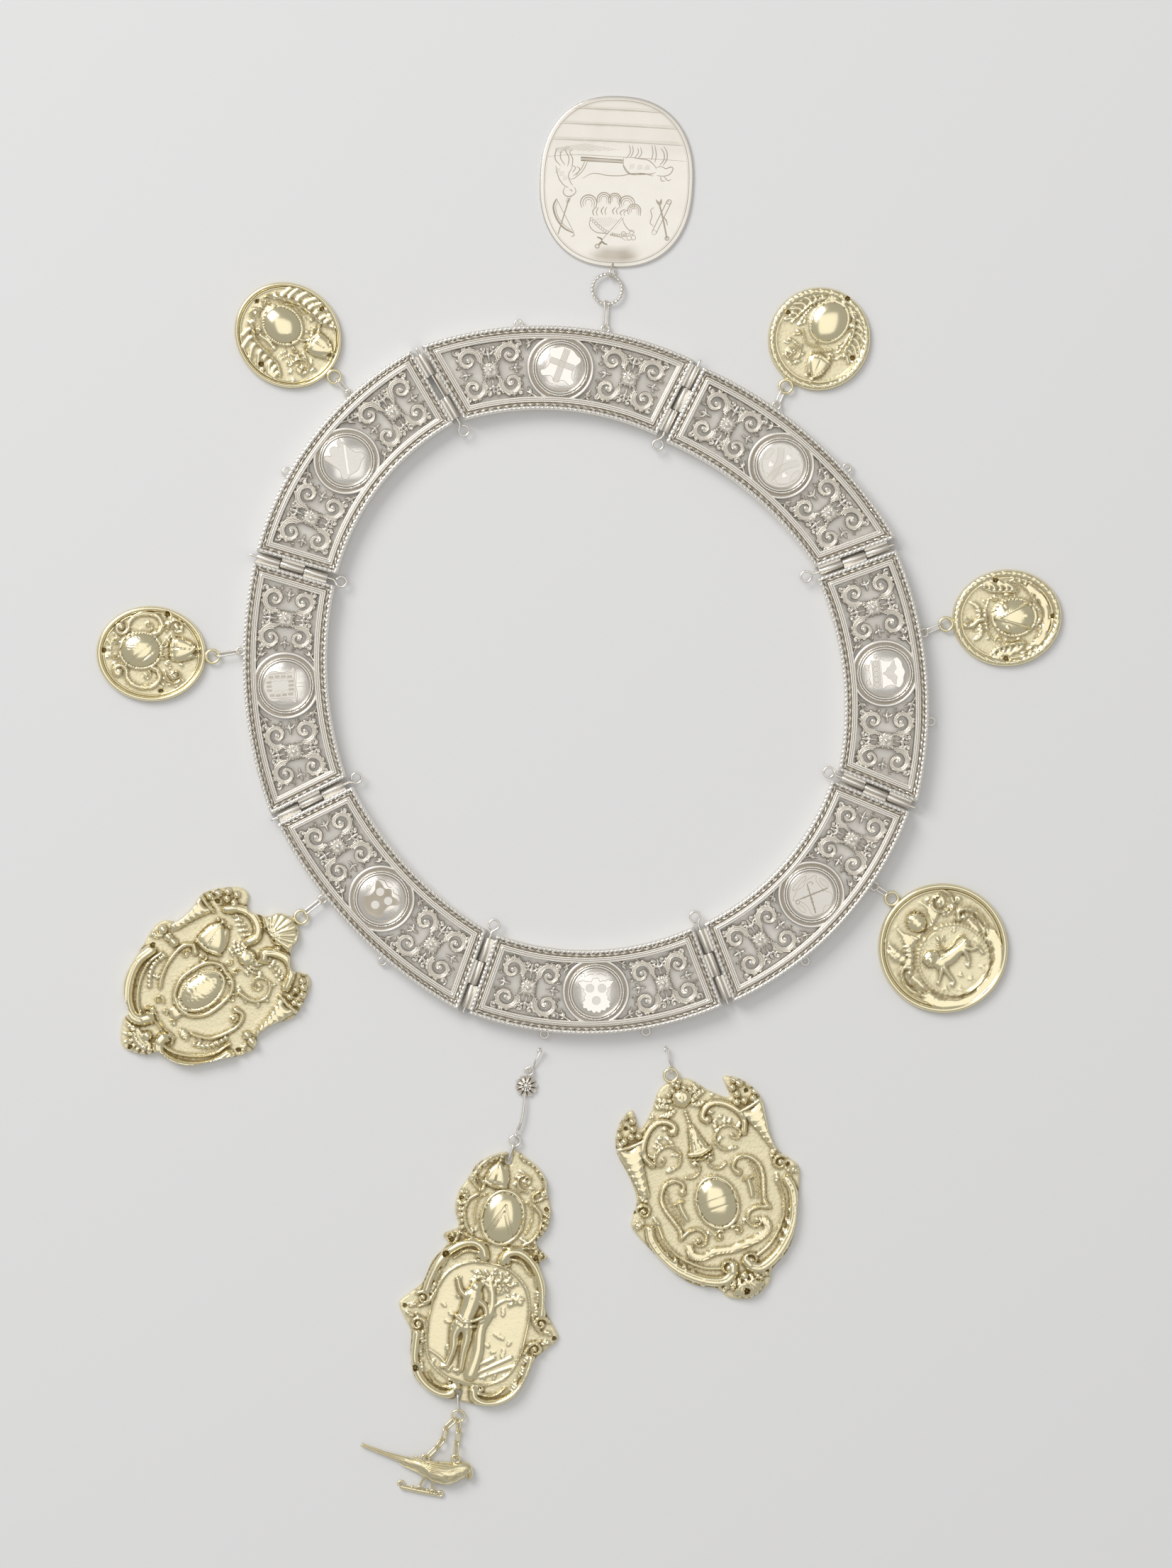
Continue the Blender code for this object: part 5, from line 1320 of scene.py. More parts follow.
def draw_upper_left(relief, inset, along):
    relief.frond([(-16, 13.2), (-13.3, 8), (-13.2, 0), (-12.5, -6.5), (-8.8, -14.2)], 7.2, -1, 9)
    relief.frond([(15.2, 9.6), (12.2, 5), (11.4, -2), (10.6, -9), (6.8, -14.6)], 6.6, 1, 8)
    mitre(relief, (-4.9, 8.9), 10, 6)
    rosette_scroll(relief, (6.4, 13.6), 4.4, -1)
    relief.ridge([(-12.8, 6.8), (-9, 8.7), (-5, 8), (-1, 8.8)], 1.2, 1, (1, 1))
    relief.ridge([(-9.6, 5.6), (-6.8, 7.4), (-4, 7.4), (-2.2, 5.9)], 1.1, 0.9, (1, 1))
    for at, size in (((-10, 6.4), 0.9), ((-6.4, 5.2), 0.8), ((-2.4, 5.9), 0.7), ((3.4, 18.6), 0.7),
            ((12.6, 14.6), 0.7), ((6, 4), 0.8), ((7.6, 3.4), 0.6), ((-11.2, 3.2), 0.9)):
        relief.ball(at, size)
    relief.volute((2.5, 5.9), 1.7, 100, -0.9, 0.9, 0.9)
    relief.volute((8.5, 8.2), 1.9, 180, -0.9, 0.9, 0.9)
    relief.ridge([(0.8, 10.5), (3.6, 8.8), (6, 6.2), (9.4, 4.9)], 1, 0.9)
    relief.dome((-1.5, -4.6), (7, 8.5), 2.4, 1.1)
    relief.ball((8, -0.6), 1.15, 1)
    relief.ridge([(7.8, -2.2), (7.5, -5), (7.9, -8.4)], 2, 0.9, (1, 1))
    relief.volute((6.5, -10.3), 1.5, 60, -0.9, 0.9, 0.9)
    relief.ridge([(-11.4, -1), (-11.4, -5.5), (-9.3, -9)], 1.1, 0.9)
    relief.ridge([(-10.6, 1.6), (-10, -2), (-10.2, -5)], 0.7, 0.6)
    for way in (-1, 1):
        relief.ridge([(-1.4 + way * 6, -14.8), (-1.4 + way * 5.2, -17.8), (-1.4 + way * 2.6, -18),
            (-1.4 + way * 1.6, -16.2)], 1.2, 1, (1, 1))
        relief.volute((-1.4 + way * 3.7, -16.2), 1.5, 90, way * 0.9, 0.8, 0.9)
        relief.leaf((-1.4 + way * 6.2, -14.2), (-1.4 + way * 9.2, -16.6), 2, 0.9, 0, 3)
    relief.ball((-1.4, -16.3), 0.9)
    plain_rim(relief, inset)
    for at in ((-17.9, 3.1), (16.6, -0.2), (-1.9, -19.5)):
        relief.hole(at)


def draw_left(relief, inset, along):
    for way, at in ((-1, -1.3), (1, -1.3)):
        def spot(across, up):
            return (at + way * across, up)
        big = [spot(7.2, 0.6), spot(8.2, 3), spot(11.4, 3.9), spot(14.8, 1.6), spot(15.6, -3.2),
            spot(14.4, -7.4), spot(11.6, -9.9), spot(8.4, -10.4), spot(6.7, -12.4), spot(7.6, -14.8),
            spot(10, -14.9), spot(11, -13.2)]
        relief.ridge(big, 2.3, 1.35, (0.9, 0.75))
        relief.cut(big[1:8], 0.28, 0.35)
        relief.ball(spot(9.4, -13.1), 1.25, 1.2)
        relief.ball(spot(7.6, 1.7), 1.3, 1.3)
        relief.volute(spot(10.6, -1.6), 2.1, 90 + way * 60, -way * 1, 1, 0.9)
        rosette_scroll(relief, spot(10.2, 10.3), 3.9, way)
        relief.volute(spot(3, 5.2), 1.6, 90, way * 0.9, 0.9, 0.9)
        relief.leaf(spot(6, 6.2), spot(3.6, 8), 1.8, 0.9, 0, 2)
        relief.ball(spot(5.6, 13.2), 0.8)
        relief.ball(spot(14.2, 5.9), 0.8)
        relief.leaf(spot(14.8, 4.4), spot(17.2, 6.6), 1.8, 0.8, 0, 2)
        relief.leaf(spot(0.4, -17), spot(4.6, -19.6), 1.8, 0.9, 0.1 * way, 3)
        relief.volute(spot(3, -15.4), 1.7, 90, -way * 1, 0.9, 1)
        relief.leaf(spot(4.6, -14.6), spot(7.4, -16.4), 1.6, 0.8, 0, 2)
    mitre(relief, (-2.3, 8.4), 10.4, -3)
    relief.dome((-1.3, -4.6), (7.2, 8.2), 2.4, 1.1)
    relief.cut([(-6.8, 2.2), (4.6, -9.6)], 0.25, 0.3)
    relief.cut([(-4.2, 4.4), (6, -6.4)], 0.25, 0.3)
    for i in range(5):
        for j in range(4):
            relief.cut([(-6.6 + 1.2 * i, -5.6 - 1.3 * j - 0.5 * (i % 2)), (-6.5 + 1.2 * i,
                -5.6 - 1.3 * j - 0.5 * (i % 2))], 0.22, 0.22)
    relief.ball((-1.3, -17.4), 0.9)
    plain_rim(relief, inset, 2.3)
    for at in ((-17, 6), (15.6, 4.6), (-0.7, -20)):
        relief.hole(at)


def draw_upper_right(relief, inset, along):
    relief.frond([(-13, 1), (-11.8, -4.5), (-10.2, -10.5), (-6.8, -15.8)], 6.4, -1, 7, 0.95, 0.9, 1.9)
    relief.frond([(13.6, 1), (12.6, -4.5), (11.2, -10.5), (7.8, -15.8)], 6.4, 1, 7, 0.95, 0.9, 1.9)
    mitre(relief, (-5, 5.6), 9.6, 8, 1.2)
    rosette_scroll(relief, (6.3, 11.4), 4.3, -1, 1)
    relief.ridge([(-11.8, 0.4), (-10.6, 3.4), (-8, 4.9)], 1, 0.8)
    relief.ridge([(-7.2, 0.6), (-4.6, 3.2), (-1.4, 3.4), (1, 4.2), (4.2, 4), (8, 0.8)], 1.2, 0.9,
        (0.8, 0.8))
    for way in (-1, 1):
        relief.volute((0.4 + way * 8.9, 2.8), 1.5, 90, way * 0.9, 0.9, 0.9)
        relief.ridge([(0.4 + way * 9.6, -0.6), (0.4 + way * 8.6, -2.2), (0.4 + way * 9.6, -4.4),
            (0.4 + way * 10.4, -4.4)], 0.9, 0.8)
        relief.ridge([(0.4 + way * 10.2, 0.4), (0.4 + way * 10.4, -5), (0.4 + way * 9.9, -9.6)], 1, 0.7)
        relief.volute((0.4 + way * 8.6, -12), 1.9, 90, -way * 1, 0.9, 1)
        relief.leaf((0.4 + way * 6.8, -15.4), (0.4 + way * 2.2, -18.6), 2, 0.9, 0.1 * way, 3)
        relief.ridge([(0.4 + way * 4.8, -17.4), (0.4 + way * 8.4, -17.8), (0.4 + way * 11, -16.4)], 1.1,
            0.8)
    relief.dome((0.7, -8.4), (7.2, 8.6), 1.9, 1, 0.8)
    relief.ball((10, 7.2), 0.9)
    relief.ball((2.4, 14), 0.8)
    relief.ball((0.2, -18.6), 0.9)
    wreath_rim(relief, inset, along)
    for at in ((-16.1, -1.5), (17.2, -1.6), (0, -21)):
        relief.hole(at)


def draw_right(relief, inset, along):
    relief.frond([(-14.6, 8), (-12, 4.6), (-11.2, -1), (-11, -6.4)], 5.2, -1, 6, 1, 0.8, 2)
    relief.frond([(14.4, 9.4), (12, 6), (11.2, 0.4), (10.9, -4.8)], 5.2, 1, 6, 1, 0.8, 2)
    relief.frond([(-15.6, -4.4), (-13.6, -8.4), (-9.8, -12), (-5, -13.8)], 3.6, -1, 6, 0.9, 0.6, 1.6)
    relief.frond([(15.4, -3.4), (13.4, -7.4), (9.8, -10.6), (5.4, -12.6)], 3.6, 1, 6, 0.9, 0.6, 1.6)
    relief.ridge([(0.6, 9.8), (0.2, 12.4), (-1.6, 14.6), (-2, 17)], 2.3, 1.4, (1.2, 0.7))
    relief.ball((-1.6, 17.6), 1, 1.4)
    relief.ridge([(-1.2, 15), (0.6, 15.6), (1.6, 17.4)], 0.8, 1.1)
    relief.ridge([(-1.8, 14.2), (-3.6, 15), (-4.4, 14.2)], 0.8, 1)
    for way in (-1, 1):
        relief.leaf((way * 2, 11.6), (way * 8.6, 15.6), 3.2, 1, -0.22 * way, 5)
        relief.ridge([(way * 1.4, 9), (way * 4.4, 8.8), (way * 8.8, 6.6)], 1.2, 1)
        relief.volute((way * 9, 4.2), 1.7, 90, way * 1, 0.9, 0.9)
        relief.ball((way * 7.9, 8.8), 0.7)
        relief.ridge([(way * 9.4, 1.4), (way * 9.8, -2), (way * 9, -4.4)], 1, 0.8)
        relief.volute((way * 10.8, -5.2), 1.5, 90, -way * 1, 0.9, 0.9)
        relief.leaf((way * 4.6, -12), (way * 1, -14.6), 1.8, 0.8, 0, 3)
    for i in range(5):
        relief.ball((-3.6 + 1.8 * i, 9.2 - 0.14 * abs(i - 2)), 0.85, 1.1)
    relief.dome((0, -3), (7.4, 8.6), 1.9, 1, 0.8)
    for way in (-1, 1):
        relief.ridge([(0, 4), (way * 2.4, -2.2), (way * 4.9, -8.4)], 1.7, 2.25, (0.9, 1))
        relief.ball((way * 4.7, 0.2), 1.4, 0.8, 1.4)
    relief.ball((0, -8.2), 1.5, 0.8, 1.3)
    relief.ribbon([(-11.6, -11.6), (-8.8, -14.2), (-4.8, -16.1), (0, -16.8), (5.2, -15.9), (9, -13.8),
        (11.8, -10.8)], 3, 0.85)
    wreath_rim(relief, inset, along)
    for at in ((-17, 2.2), (16.5, 3.2), (-1, -19)):
        relief.hole(at)


def draw_lower_right(relief, inset, along):
    relief.leaf((-14.6, 5.8), (-14.6, 18.6), 4.6, 1.3, 0.06, 5)
    relief.leaf((-13.8, 5.8), (-8.6, 15.2), 4.2, 1.3, -0.08, 5)
    relief.leaf((-15.2, 7), (-17, 17.2), 2.8, 1.1, 0.12, 5)
    relief.leaf((-12, 8), (-5.4, 11), 2.4, 1, 0.1, 4)
    relief.ball((-14.8, 19.4), 0.7)
    rosette_scroll(relief, (12.8, 14.6), 4.6, -1, 1.3)
    relief.ridge([(17.6, 17), (18.2, 13.4), (16.2, 9.6), (12.6, 8.6), (10, 9.8)], 1.5, 1.2)
    relief.volute((19.6, 9.4), 1.6, 200, -1, 1, 1)
    for way in (-1, 1):
        for i in range(5):
            root = (way * (4.4 + 0.3 * i), 10.8 + 0.6 * i)
            tip = (way * (10.6 - 0.9 * i), 14.2 + 1.9 * i)
            relief.leaf(root, tip, 1.9, 1.15 - 0.05 * i, -0.16 * way, 5)
        relief.ridge([(way * 1.8, 10.6), (way * 4.8, 10.6), (way * 7, 11.6)], 1, 0.9)
        outer = [(-0.9 + way * 14.6, 3.6), (-0.9 + way * 16.2, 6.2), (-0.9 + way * 19.4, 5),
            (-0.9 + way * 21.4, 0.6), (-0.9 + way * 21, -4.6), (-0.9 + way * 18.6, -9)]
        relief.ridge(outer, 2, 1.4, (0.9, 0.7))
        relief.ridge([(-0.9 + way * 16.4, 3), (-0.9 + way * 18.6, 1.6), (-0.9 + way * 19.2, -2.6),
            (-0.9 + way * 18.2, -7), (-0.9 + way * 16.2, -9.6)], 1.3, 1)
        relief.ball((-0.9 + way * 14.5, 4.2), 1.35, 1.4)
        relief.ball((-0.9 + way * 16.5, 2.7), 1.1, 1.2)
        relief.slab([(-0.9 + way * 15.9, 0.2), (-0.9 + way * 17.7, 0.2), (-0.9 + way * 17.5, -5.6),
            (-0.9 + way * 15.9, -5.8)], 0.55, 0.5)
        relief.ball((-0.9 + way * 17.2, -11.4), 1.6, 1)
        relief.volute((-0.9 + way * 17, -13.8), 1.7, 90, way, 0.9, 0.9)
    relief.ball((0, 15.6), 3.9, 2)
    relief.ball((0, 14.2), 2.9, 2.3)
    for i in range(9):
        at = np.array([0, 16.2]) + unit(-8 + 24.5 * i) * 3.1
        relief.volute(tuple(at), 1.15, 40 * i, 0.9, 0.7, 1.9)
    for way in (-1, 1):
        relief.ball((way * 1.05, 13.9), 0.42, 0.35, 2.15)
        relief.ball((way * 1.5, 12.9), 0.75, 0.35, 1.8)
    relief.ball((0, 13.4), 0.45, 0.5, 2.1)
    relief.ridge([(-0.6, 12.4), (0, 12.25), (0.6, 12.4)], 0.4, 0.3, (1, 1), 2)
    ring_at = (-0.4, -6.5)
    away = np.hypot(relief.u - ring_at[0], relief.v - ring_at[1])
    spots = np.nonzero(away < 14.9)
    relief.h[spots] = 0.35
    relief.matt[spots] = 0.7
    for radius, width, rise in ((14.9, 1.1, 1.1), (13.7, 0.5, 0.6)):
        q = np.clip(np.abs(away - radius) / (width / 2), 0, 1)
        relief.h = np.maximum(relief.h, np.where(q < 1, rise * np.sqrt(1 - q ** 2), 0))
    beast(relief)
    relief.ribbon([(-19.6, -9.8), (-17.8, -15.4), (-13.2, -20.4), (-7, -23.4), (-0.4, -24.2), (6.4, -23.4),
        (12.6, -20.2), (17, -15.2), (18.8, -9.8)], 4.2, 0.75)
    plain_rim(relief, inset, 2.4, 1.4)


def beast(relief):
    """A lion walking to the left, with its tail over its back, among small clovers."""
    relief.ridge([(-5.4, -3.6), (-1, -4.8), (4, -5.2), (8, -5.4)], 5, 1.5, (1.15, 0.72), 0.2)
    relief.ball((-6.6, 0.6), 3.6, 1.5, 0.2)
    for i in range(12):
        at = np.array([-6.6, 0.4]) + unit(30 * i) * 2.9
        relief.leaf(tuple(np.array([-6.6, 0.4]) + unit(30 * i) * 1.4), tuple(np.array([-6.6,
            0.4]) + unit(30 * i + 14) * 4.1), 1.4, 1.8, 0.1, 2)
        relief.ball(tuple(at), 0.6, 1.6)
    relief.ball((-7.2, 0.4), 1.7, 1.6, 0.9)
    relief.ball((-7.9, -0.5), 0.9, 1.4, 1.5)
    for way in (-1, 1):
        relief.ball((-7.2 + 0.75 * way, 0.9), 0.34, 0.3, 2.3)
        relief.ball((-7 + 1.5 * way, 2), 0.6, 1.4, 0.6)
    relief.ridge([(8.6, -4.8), (10, -2.6), (7.6, -1.3), (3.2, -1.9), (0.2, -1), (-0.8, 1.2), (0.6, 3.2)],
        0.9, 1.2, (1, 0.8), 0.2)
    relief.ball((1.2, 3.8), 1, 1.3, 0.1)
    for leg in ([(-6.8, -5.6), (-9.6, -7.4), (-12.2, -8.8)], [(-5.6, -6), (-6.4, -9.6), (-6.8, -12.8),
            (-8.4, -13.6)], [(6.6, -6.2), (8.2, -9.2), (10.6, -10), (10.2, -13.2)], [(5.4, -6.4), (5, -9),
            (3.6, -11.6), (2, -12.8)]):
        relief.ridge(leg, 2, 1.3, (1.2, 0.55), 0.2)
        relief.ball(leg[-1], 0.9, 1.1, 0.2)
    for at in ((2.8, 2.6), (8.6, 2.2), (-11.6, -12.4), (-3, -13), (12, -7.6), (-7.4, -16.8), (-1.2, -17.2),
            (6, -17)):
        for turn in (30, 150, 270):
            relief.ball(tuple(np.array(at) + unit(turn) * 0.75), 0.62, 0.7, 0.15)
        relief.ridge([at, (at[0] + 0.2, at[1] - 1.8)], 0.5, 0.6, (1, 1), 0.15)


# medal, where its middle lies, bearing of its ring, how its relief is drawn
ROUND_MEDALS = (
    ("upper_left_medal", -123.12, 195.3, 318, draw_upper_left),
    ("left_medal", -180.91, 60.53, 357.5, draw_left),
    ("upper_right_medal", 101.55, 193.71, 235, draw_upper_right),
    ("right_medal", 180.96, 75.69, 185.9, draw_right),
    ("lower_right_medal", 153.91, -64, 136, draw_lower_right),
)
for node, x, y, bearing, draw in ROUND_MEDALS:
    medal = Medal(node, x, y, bearing)
    made = Part()
    make_round(made, medal, draw, 1.6)
    add_bail(made, medal)
    made.make(node + "_chased", node, gilt, "gilt")
    print(node, "faces:", len(made.faces))

# %% [markdown]
# ## The two shields
#
# The shields are pierced-edge castings twice the size of the medals. One has a scallop shell and a
# winged head at the top, the other a bunch of fruit over a fluted bell, and both have horns of plenty
# at the shoulders, heavy polished scrolls below and an oval boss in strapwork. Left and right are
# nearly alike, so most forms are laid on twice.

# %% Shields
def berries(relief, rows, size=1.45, rise=1.6):
    for at in rows:
        relief.ball(at, size, rise)


def horn_of_plenty(relief, way, lip, root, wide, narrow, fruit):
    """A ribbed horn that opens upwards, with fruit in its mouth."""
    lip, root = np.array(lip), np.array(root)
    down = (root - lip) / np.linalg.norm(root - lip)
    out = left_of(down)
    corners = [lip - out * wide / 2, lip + down * 1, lip + out * wide / 2, (lip + root) / 2 + out * (wide
        + narrow) / 4.6, root + out * narrow / 2, root + down * 0.8, root - out * narrow / 2,
        (lip + root) / 2 - out * (wide + narrow) / 4.6]
    relief.slab(corners, 1.1, 1.8, 0, 0.3)
    for i in range(6):
        share = 0.16 + 0.14 * i
        half = (wide * (1 - share) + narrow * share) / 2 * 0.86
        middle = lip + (root - lip) * share
        relief.ridge([middle - out * half - down * 0.9, middle + down * 0.5,
            middle + out * half - down * 0.9], 1, 1.5, (1, 1))
    relief.ridge([lip - out * wide * 0.56 - down * 0.6, lip - down * 0.2, lip + out * wide * 0.56 - down
        * 0.6], 1.7, 1.75, (1, 1))
    berries(relief, fruit)


def draw_horn(relief, gap, along):
    relief.slab([(-2.8, 45), (-2.4, 48.6), (1, 50.2), (4.4, 48.6), (4.8, 45), (1, 42.6)], 1.5, 1.6)
    for i in range(4):
        relief.cut([(-2.6 + 1.9 * i, 43.6), (-0.8 + 1.9 * i, 49.6)], 0.2, 0.22)
        relief.cut([(-0.6 + 1.9 * i, 43.6), (-2.4 + 1.9 * i, 49.6)], 0.2, 0.22)
    berries(relief, [(-1.6, 50.6), (1, 51.8), (3.6, 50.4), (-0.4, 53.4), (2.2, 53.6), (0.8, 55.2),
        (-3.8, 49.6), (5.8, 49)], 1.15, 1.4)
    for i in range(5):
        relief.ball((0.5, 40.6 - 1.5 * i), 0.8, 1.2)
    relief.slab([(-0.6, 34.4), (1.6, 34.4), (3, 29), (4.6, 22.6), (0.5, 21.8), (-3.6, 22.6), (-2, 29)],
        1.5, 1.2)
    for i in range(-2, 3):
        relief.cut([(0.5 + 0.15 * i, 33.6), (0.5 + 1.5 * i, 24)], 0.24, 0.4)
    relief.ridge([(-4, 22.8), (0.5, 21.8), (5, 22.8)], 2, 1.9, (1, 1))
    relief.ridge([(-4.6, 20.6), (0.5, 19.6), (5.6, 20.6)], 1, 1.2, (1, 1))
    for way in (-1, 1):
        def spot(across, up, at=0.2):
            return (at + way * across, up)
        relief.leaf(spot(4.6, 44), spot(12, 46.4), 3.6, 1.4, 0.1 * way, 5)
        relief.leaf(spot(4, 47), spot(10.8, 51.4), 3.2, 1.3, -0.1 * way, 4)
        relief.leaf(spot(3.6, 42.6), spot(10.4, 42.4), 2.8, 1.2, -0.14 * way, 4)
        relief.leaf(spot(13, 43.2), spot(16.6, 45.2), 2.4, 1, 0.1, 3)
        shoulder = [spot(20.6, 24), spot(22.4, 28.6), spot(21.4, 33.2), spot(17.2, 38.2), spot(12.2, 40.4),
            spot(8.2, 39), spot(6.2, 36), spot(7.4, 33.8)]
        relief.ridge(shoulder, 3, 1.8, (0.8, 0.8))
        relief.cut(shoulder[1:7], 0.35, 0.4)
        relief.ball(spot(8.2, 34.4), 1.5, 1.8)
        for i in range(4):
            relief.leaf(spot(20.4 - 3 * i, 28.6 + 2.6 * i), spot(17.4 - 2.6 * i, 26.6 + 3.6 * i), 2.2, 1,
                0.1 * way, 3)
        tendril = [spot(11, 19.6), spot(8.7, 22), spot(8.2, 26), spot(12, 29.5), spot(16.8, 28.4),
            spot(19.2, 25), spot(17.2, 22.4), spot(14.8, 24.2)]
        relief.ridge(tendril, 1.4, 1.2, (0.9, 0.7))
        relief.ball(spot(15.4, 24.8), 1, 1.2)
        relief.leaf(spot(9.6, 28), spot(11.6, 33.6), 2.6, 1.1, 0.1 * way, 3)
        relief.leaf(spot(13.6, 29), spot(16.2, 33.2), 2.2, 1, 0.1 * way, 3)
        relief.leaf(spot(12, 19.4), spot(16.6, 18.6), 2.4, 1.1, 0.1 * way, 3)
        relief.leaf(spot(8.6, 24), spot(12.4, 25.2), 1.8, 0.9, 0.1 * way, 2)
        relief.ridge([spot(9, 14.4), spot(6, 13.4), spot(3.2, 14.6), spot(1.9, 17.2), spot(3.2, 19.2)],
            1.3, 1.2, (1, 0.8))
        relief.ball(spot(4, 18.4), 1.1, 1.2)
        strap = [spot(12, 9.5), spot(11.2, 12.2), spot(14.2, 14.9), spot(18.8, 14), spot(21.9, 9.6),
            spot(21.9, 4.4), spot(20.3, -1), spot(18.9, -6.4), spot(19.9, -9.4)]
        relief.ridge(strap, 2, 1.5, (0.8, 0.9))
        relief.cut(strap[2:8], 0.3, 0.3)
        relief.ball(spot(12.6, 9), 1.5, 1.6)
        relief.ridge([spot(18.4, 12), spot(19.2, 7), spot(18, 1), spot(16.6, -4)], 1, 0.9, (0.8, 0.8))
        relief.ridge([spot(15.4, 4.6), spot(15.2, 1), spot(14.5, -2.6)], 2.2, 1, (1, 0.8))
        relief.ridge([spot(13.4, 5.4), spot(17.4, 5.2)], 1.1, 1.3, (1, 1))
        curl = [spot(19.6, -9.2), spot(15.2, -7.4), spot(11.2, -8.2), spot(9.3, -11.6), spot(11, -14.8),
            spot(14.2, -14.4), spot(14.6, -12.2)]
        relief.ridge(curl, 1.6, 1.4, (1, 0.7))
        relief.ball(spot(13.2, -12.4), 1.2, 1.4)
        relief.volute(spot(4, -14), 2.7, 90 + 50 * way, -way * 1.1, 1.1, 1.2)
        relief.leaf(spot(7, -12.4), spot(8.6, -9.8), 1.8, 1, 0, 2)
        rim = [spot(31, -1), spot(31.6, -6), spot(29.2, -14.6), spot(24.2, -22.4), spot(16.4, -29),
            spot(9, -32), spot(4.6, -30.6), spot(3, -27.6)]
        relief.ridge(rim, 5.2, 2, (0.75, 0.85))
        relief.cut(rim[:7], 0.45, 0.55)
        relief.ridge([spot(27, -1), spot(26.6, -8.6), spot(22.6, -16.8), spot(15.4, -23.6),
            spot(8.4, -26.6)], 1.5, 1.3, (0.8, 1))
        relief.volute(spot(5.4, -27.6), 3.4, 90 + 90 * way, -way * 1.2, 1.6, 1.9)
        for i in range(6):
            turn = i / 5
            root = spot(30.2 - 13 * turn, -9.6 - 17.4 * turn)
            tip = spot(33.4 - 15 * turn, -13.4 - 18.6 * turn)
            relief.leaf(root, tip, 3.2, 2, -0.12 * way, 3)
        relief.volute(spot(30.6, 6.8), 3.5, 90 - 60 * way, way * 1.2, 1.7, 1.8)
        relief.leaf(spot(32.4, 3), spot(36.8, 0.4), 4, 1.5, 0.1 * way, 4)
        relief.leaf(spot(28, 10.4), spot(31.6, 13.6), 3, 1.4, 0.1 * way, 3)
        relief.leaf(spot(27.6, 3), spot(25.6, -1), 2.6, 1.2, 0.1 * way, 3)
        for i in range(3):
            relief.leaf(spot(2.6 + 2 * i, -33.6), spot(4.6 + 3 * i, -38.8 + 1.5 * i), 3, 1.6, -0.06 * way,
                3)
        relief.ridge([spot(11.4, -33.2), spot(10.6, -36.2), spot(8.6, -35)], 1.5, 1.3)
    fruit_left = [(-21.5, 37.6), (-24.6, 38.4), (-28, 37.6), (-23, 41.2), (-29.4, 40.6), (-22, 44.4),
        (-27.6, 44), (-24.4, 47.2), (-30.2, 36.8)]
    fruit_right = [(22.4, 37), (25.6, 36.6), (29.4, 36.2), (23.6, 40.2), (31, 38.8), (22.6, 43.4),
        (26, 44), (29.6, 42.4), (24.6, 46.4)]
    horn_of_plenty(relief, -1, (-27, 34.4), (-27.6, 12.6), 10.4, 3.6, fruit_left)
    horn_of_plenty(relief, 1, (27.4, 33.4), (31.4, 13.4), 10.4, 3.6, fruit_right)
    relief.dome((0, 0), (8, 10.2), 2.4, 1.2, 1.1)
    relief.cut([(-7.4, 1.5), (7.6, 1.5)], 0.25, 0.3)
    relief.cut([(-7.2, -2), (7.4, -2)], 0.25, 0.3)
    relief.ribbon([(-17.6, -14), (-17.4, -17.6), (-13.4, -19.8), (-8, -19.2), (0, -20.8), (7, -20.4),
        (13, -19.6), (16.6, -17.2), (16.4, -13.8)], 3.2, 1)
    relief.shell((0.2, -34.6), 8, 205, 130, 7, 1.7)
    relief.ball((0.2, -33), 1.8, 1.9)
    for at in ((-25.5, 42.5), (27.7, 40.3), (-34.3, 8), (33.7, 5), (-1, -39.5)):
        relief.hole(at)


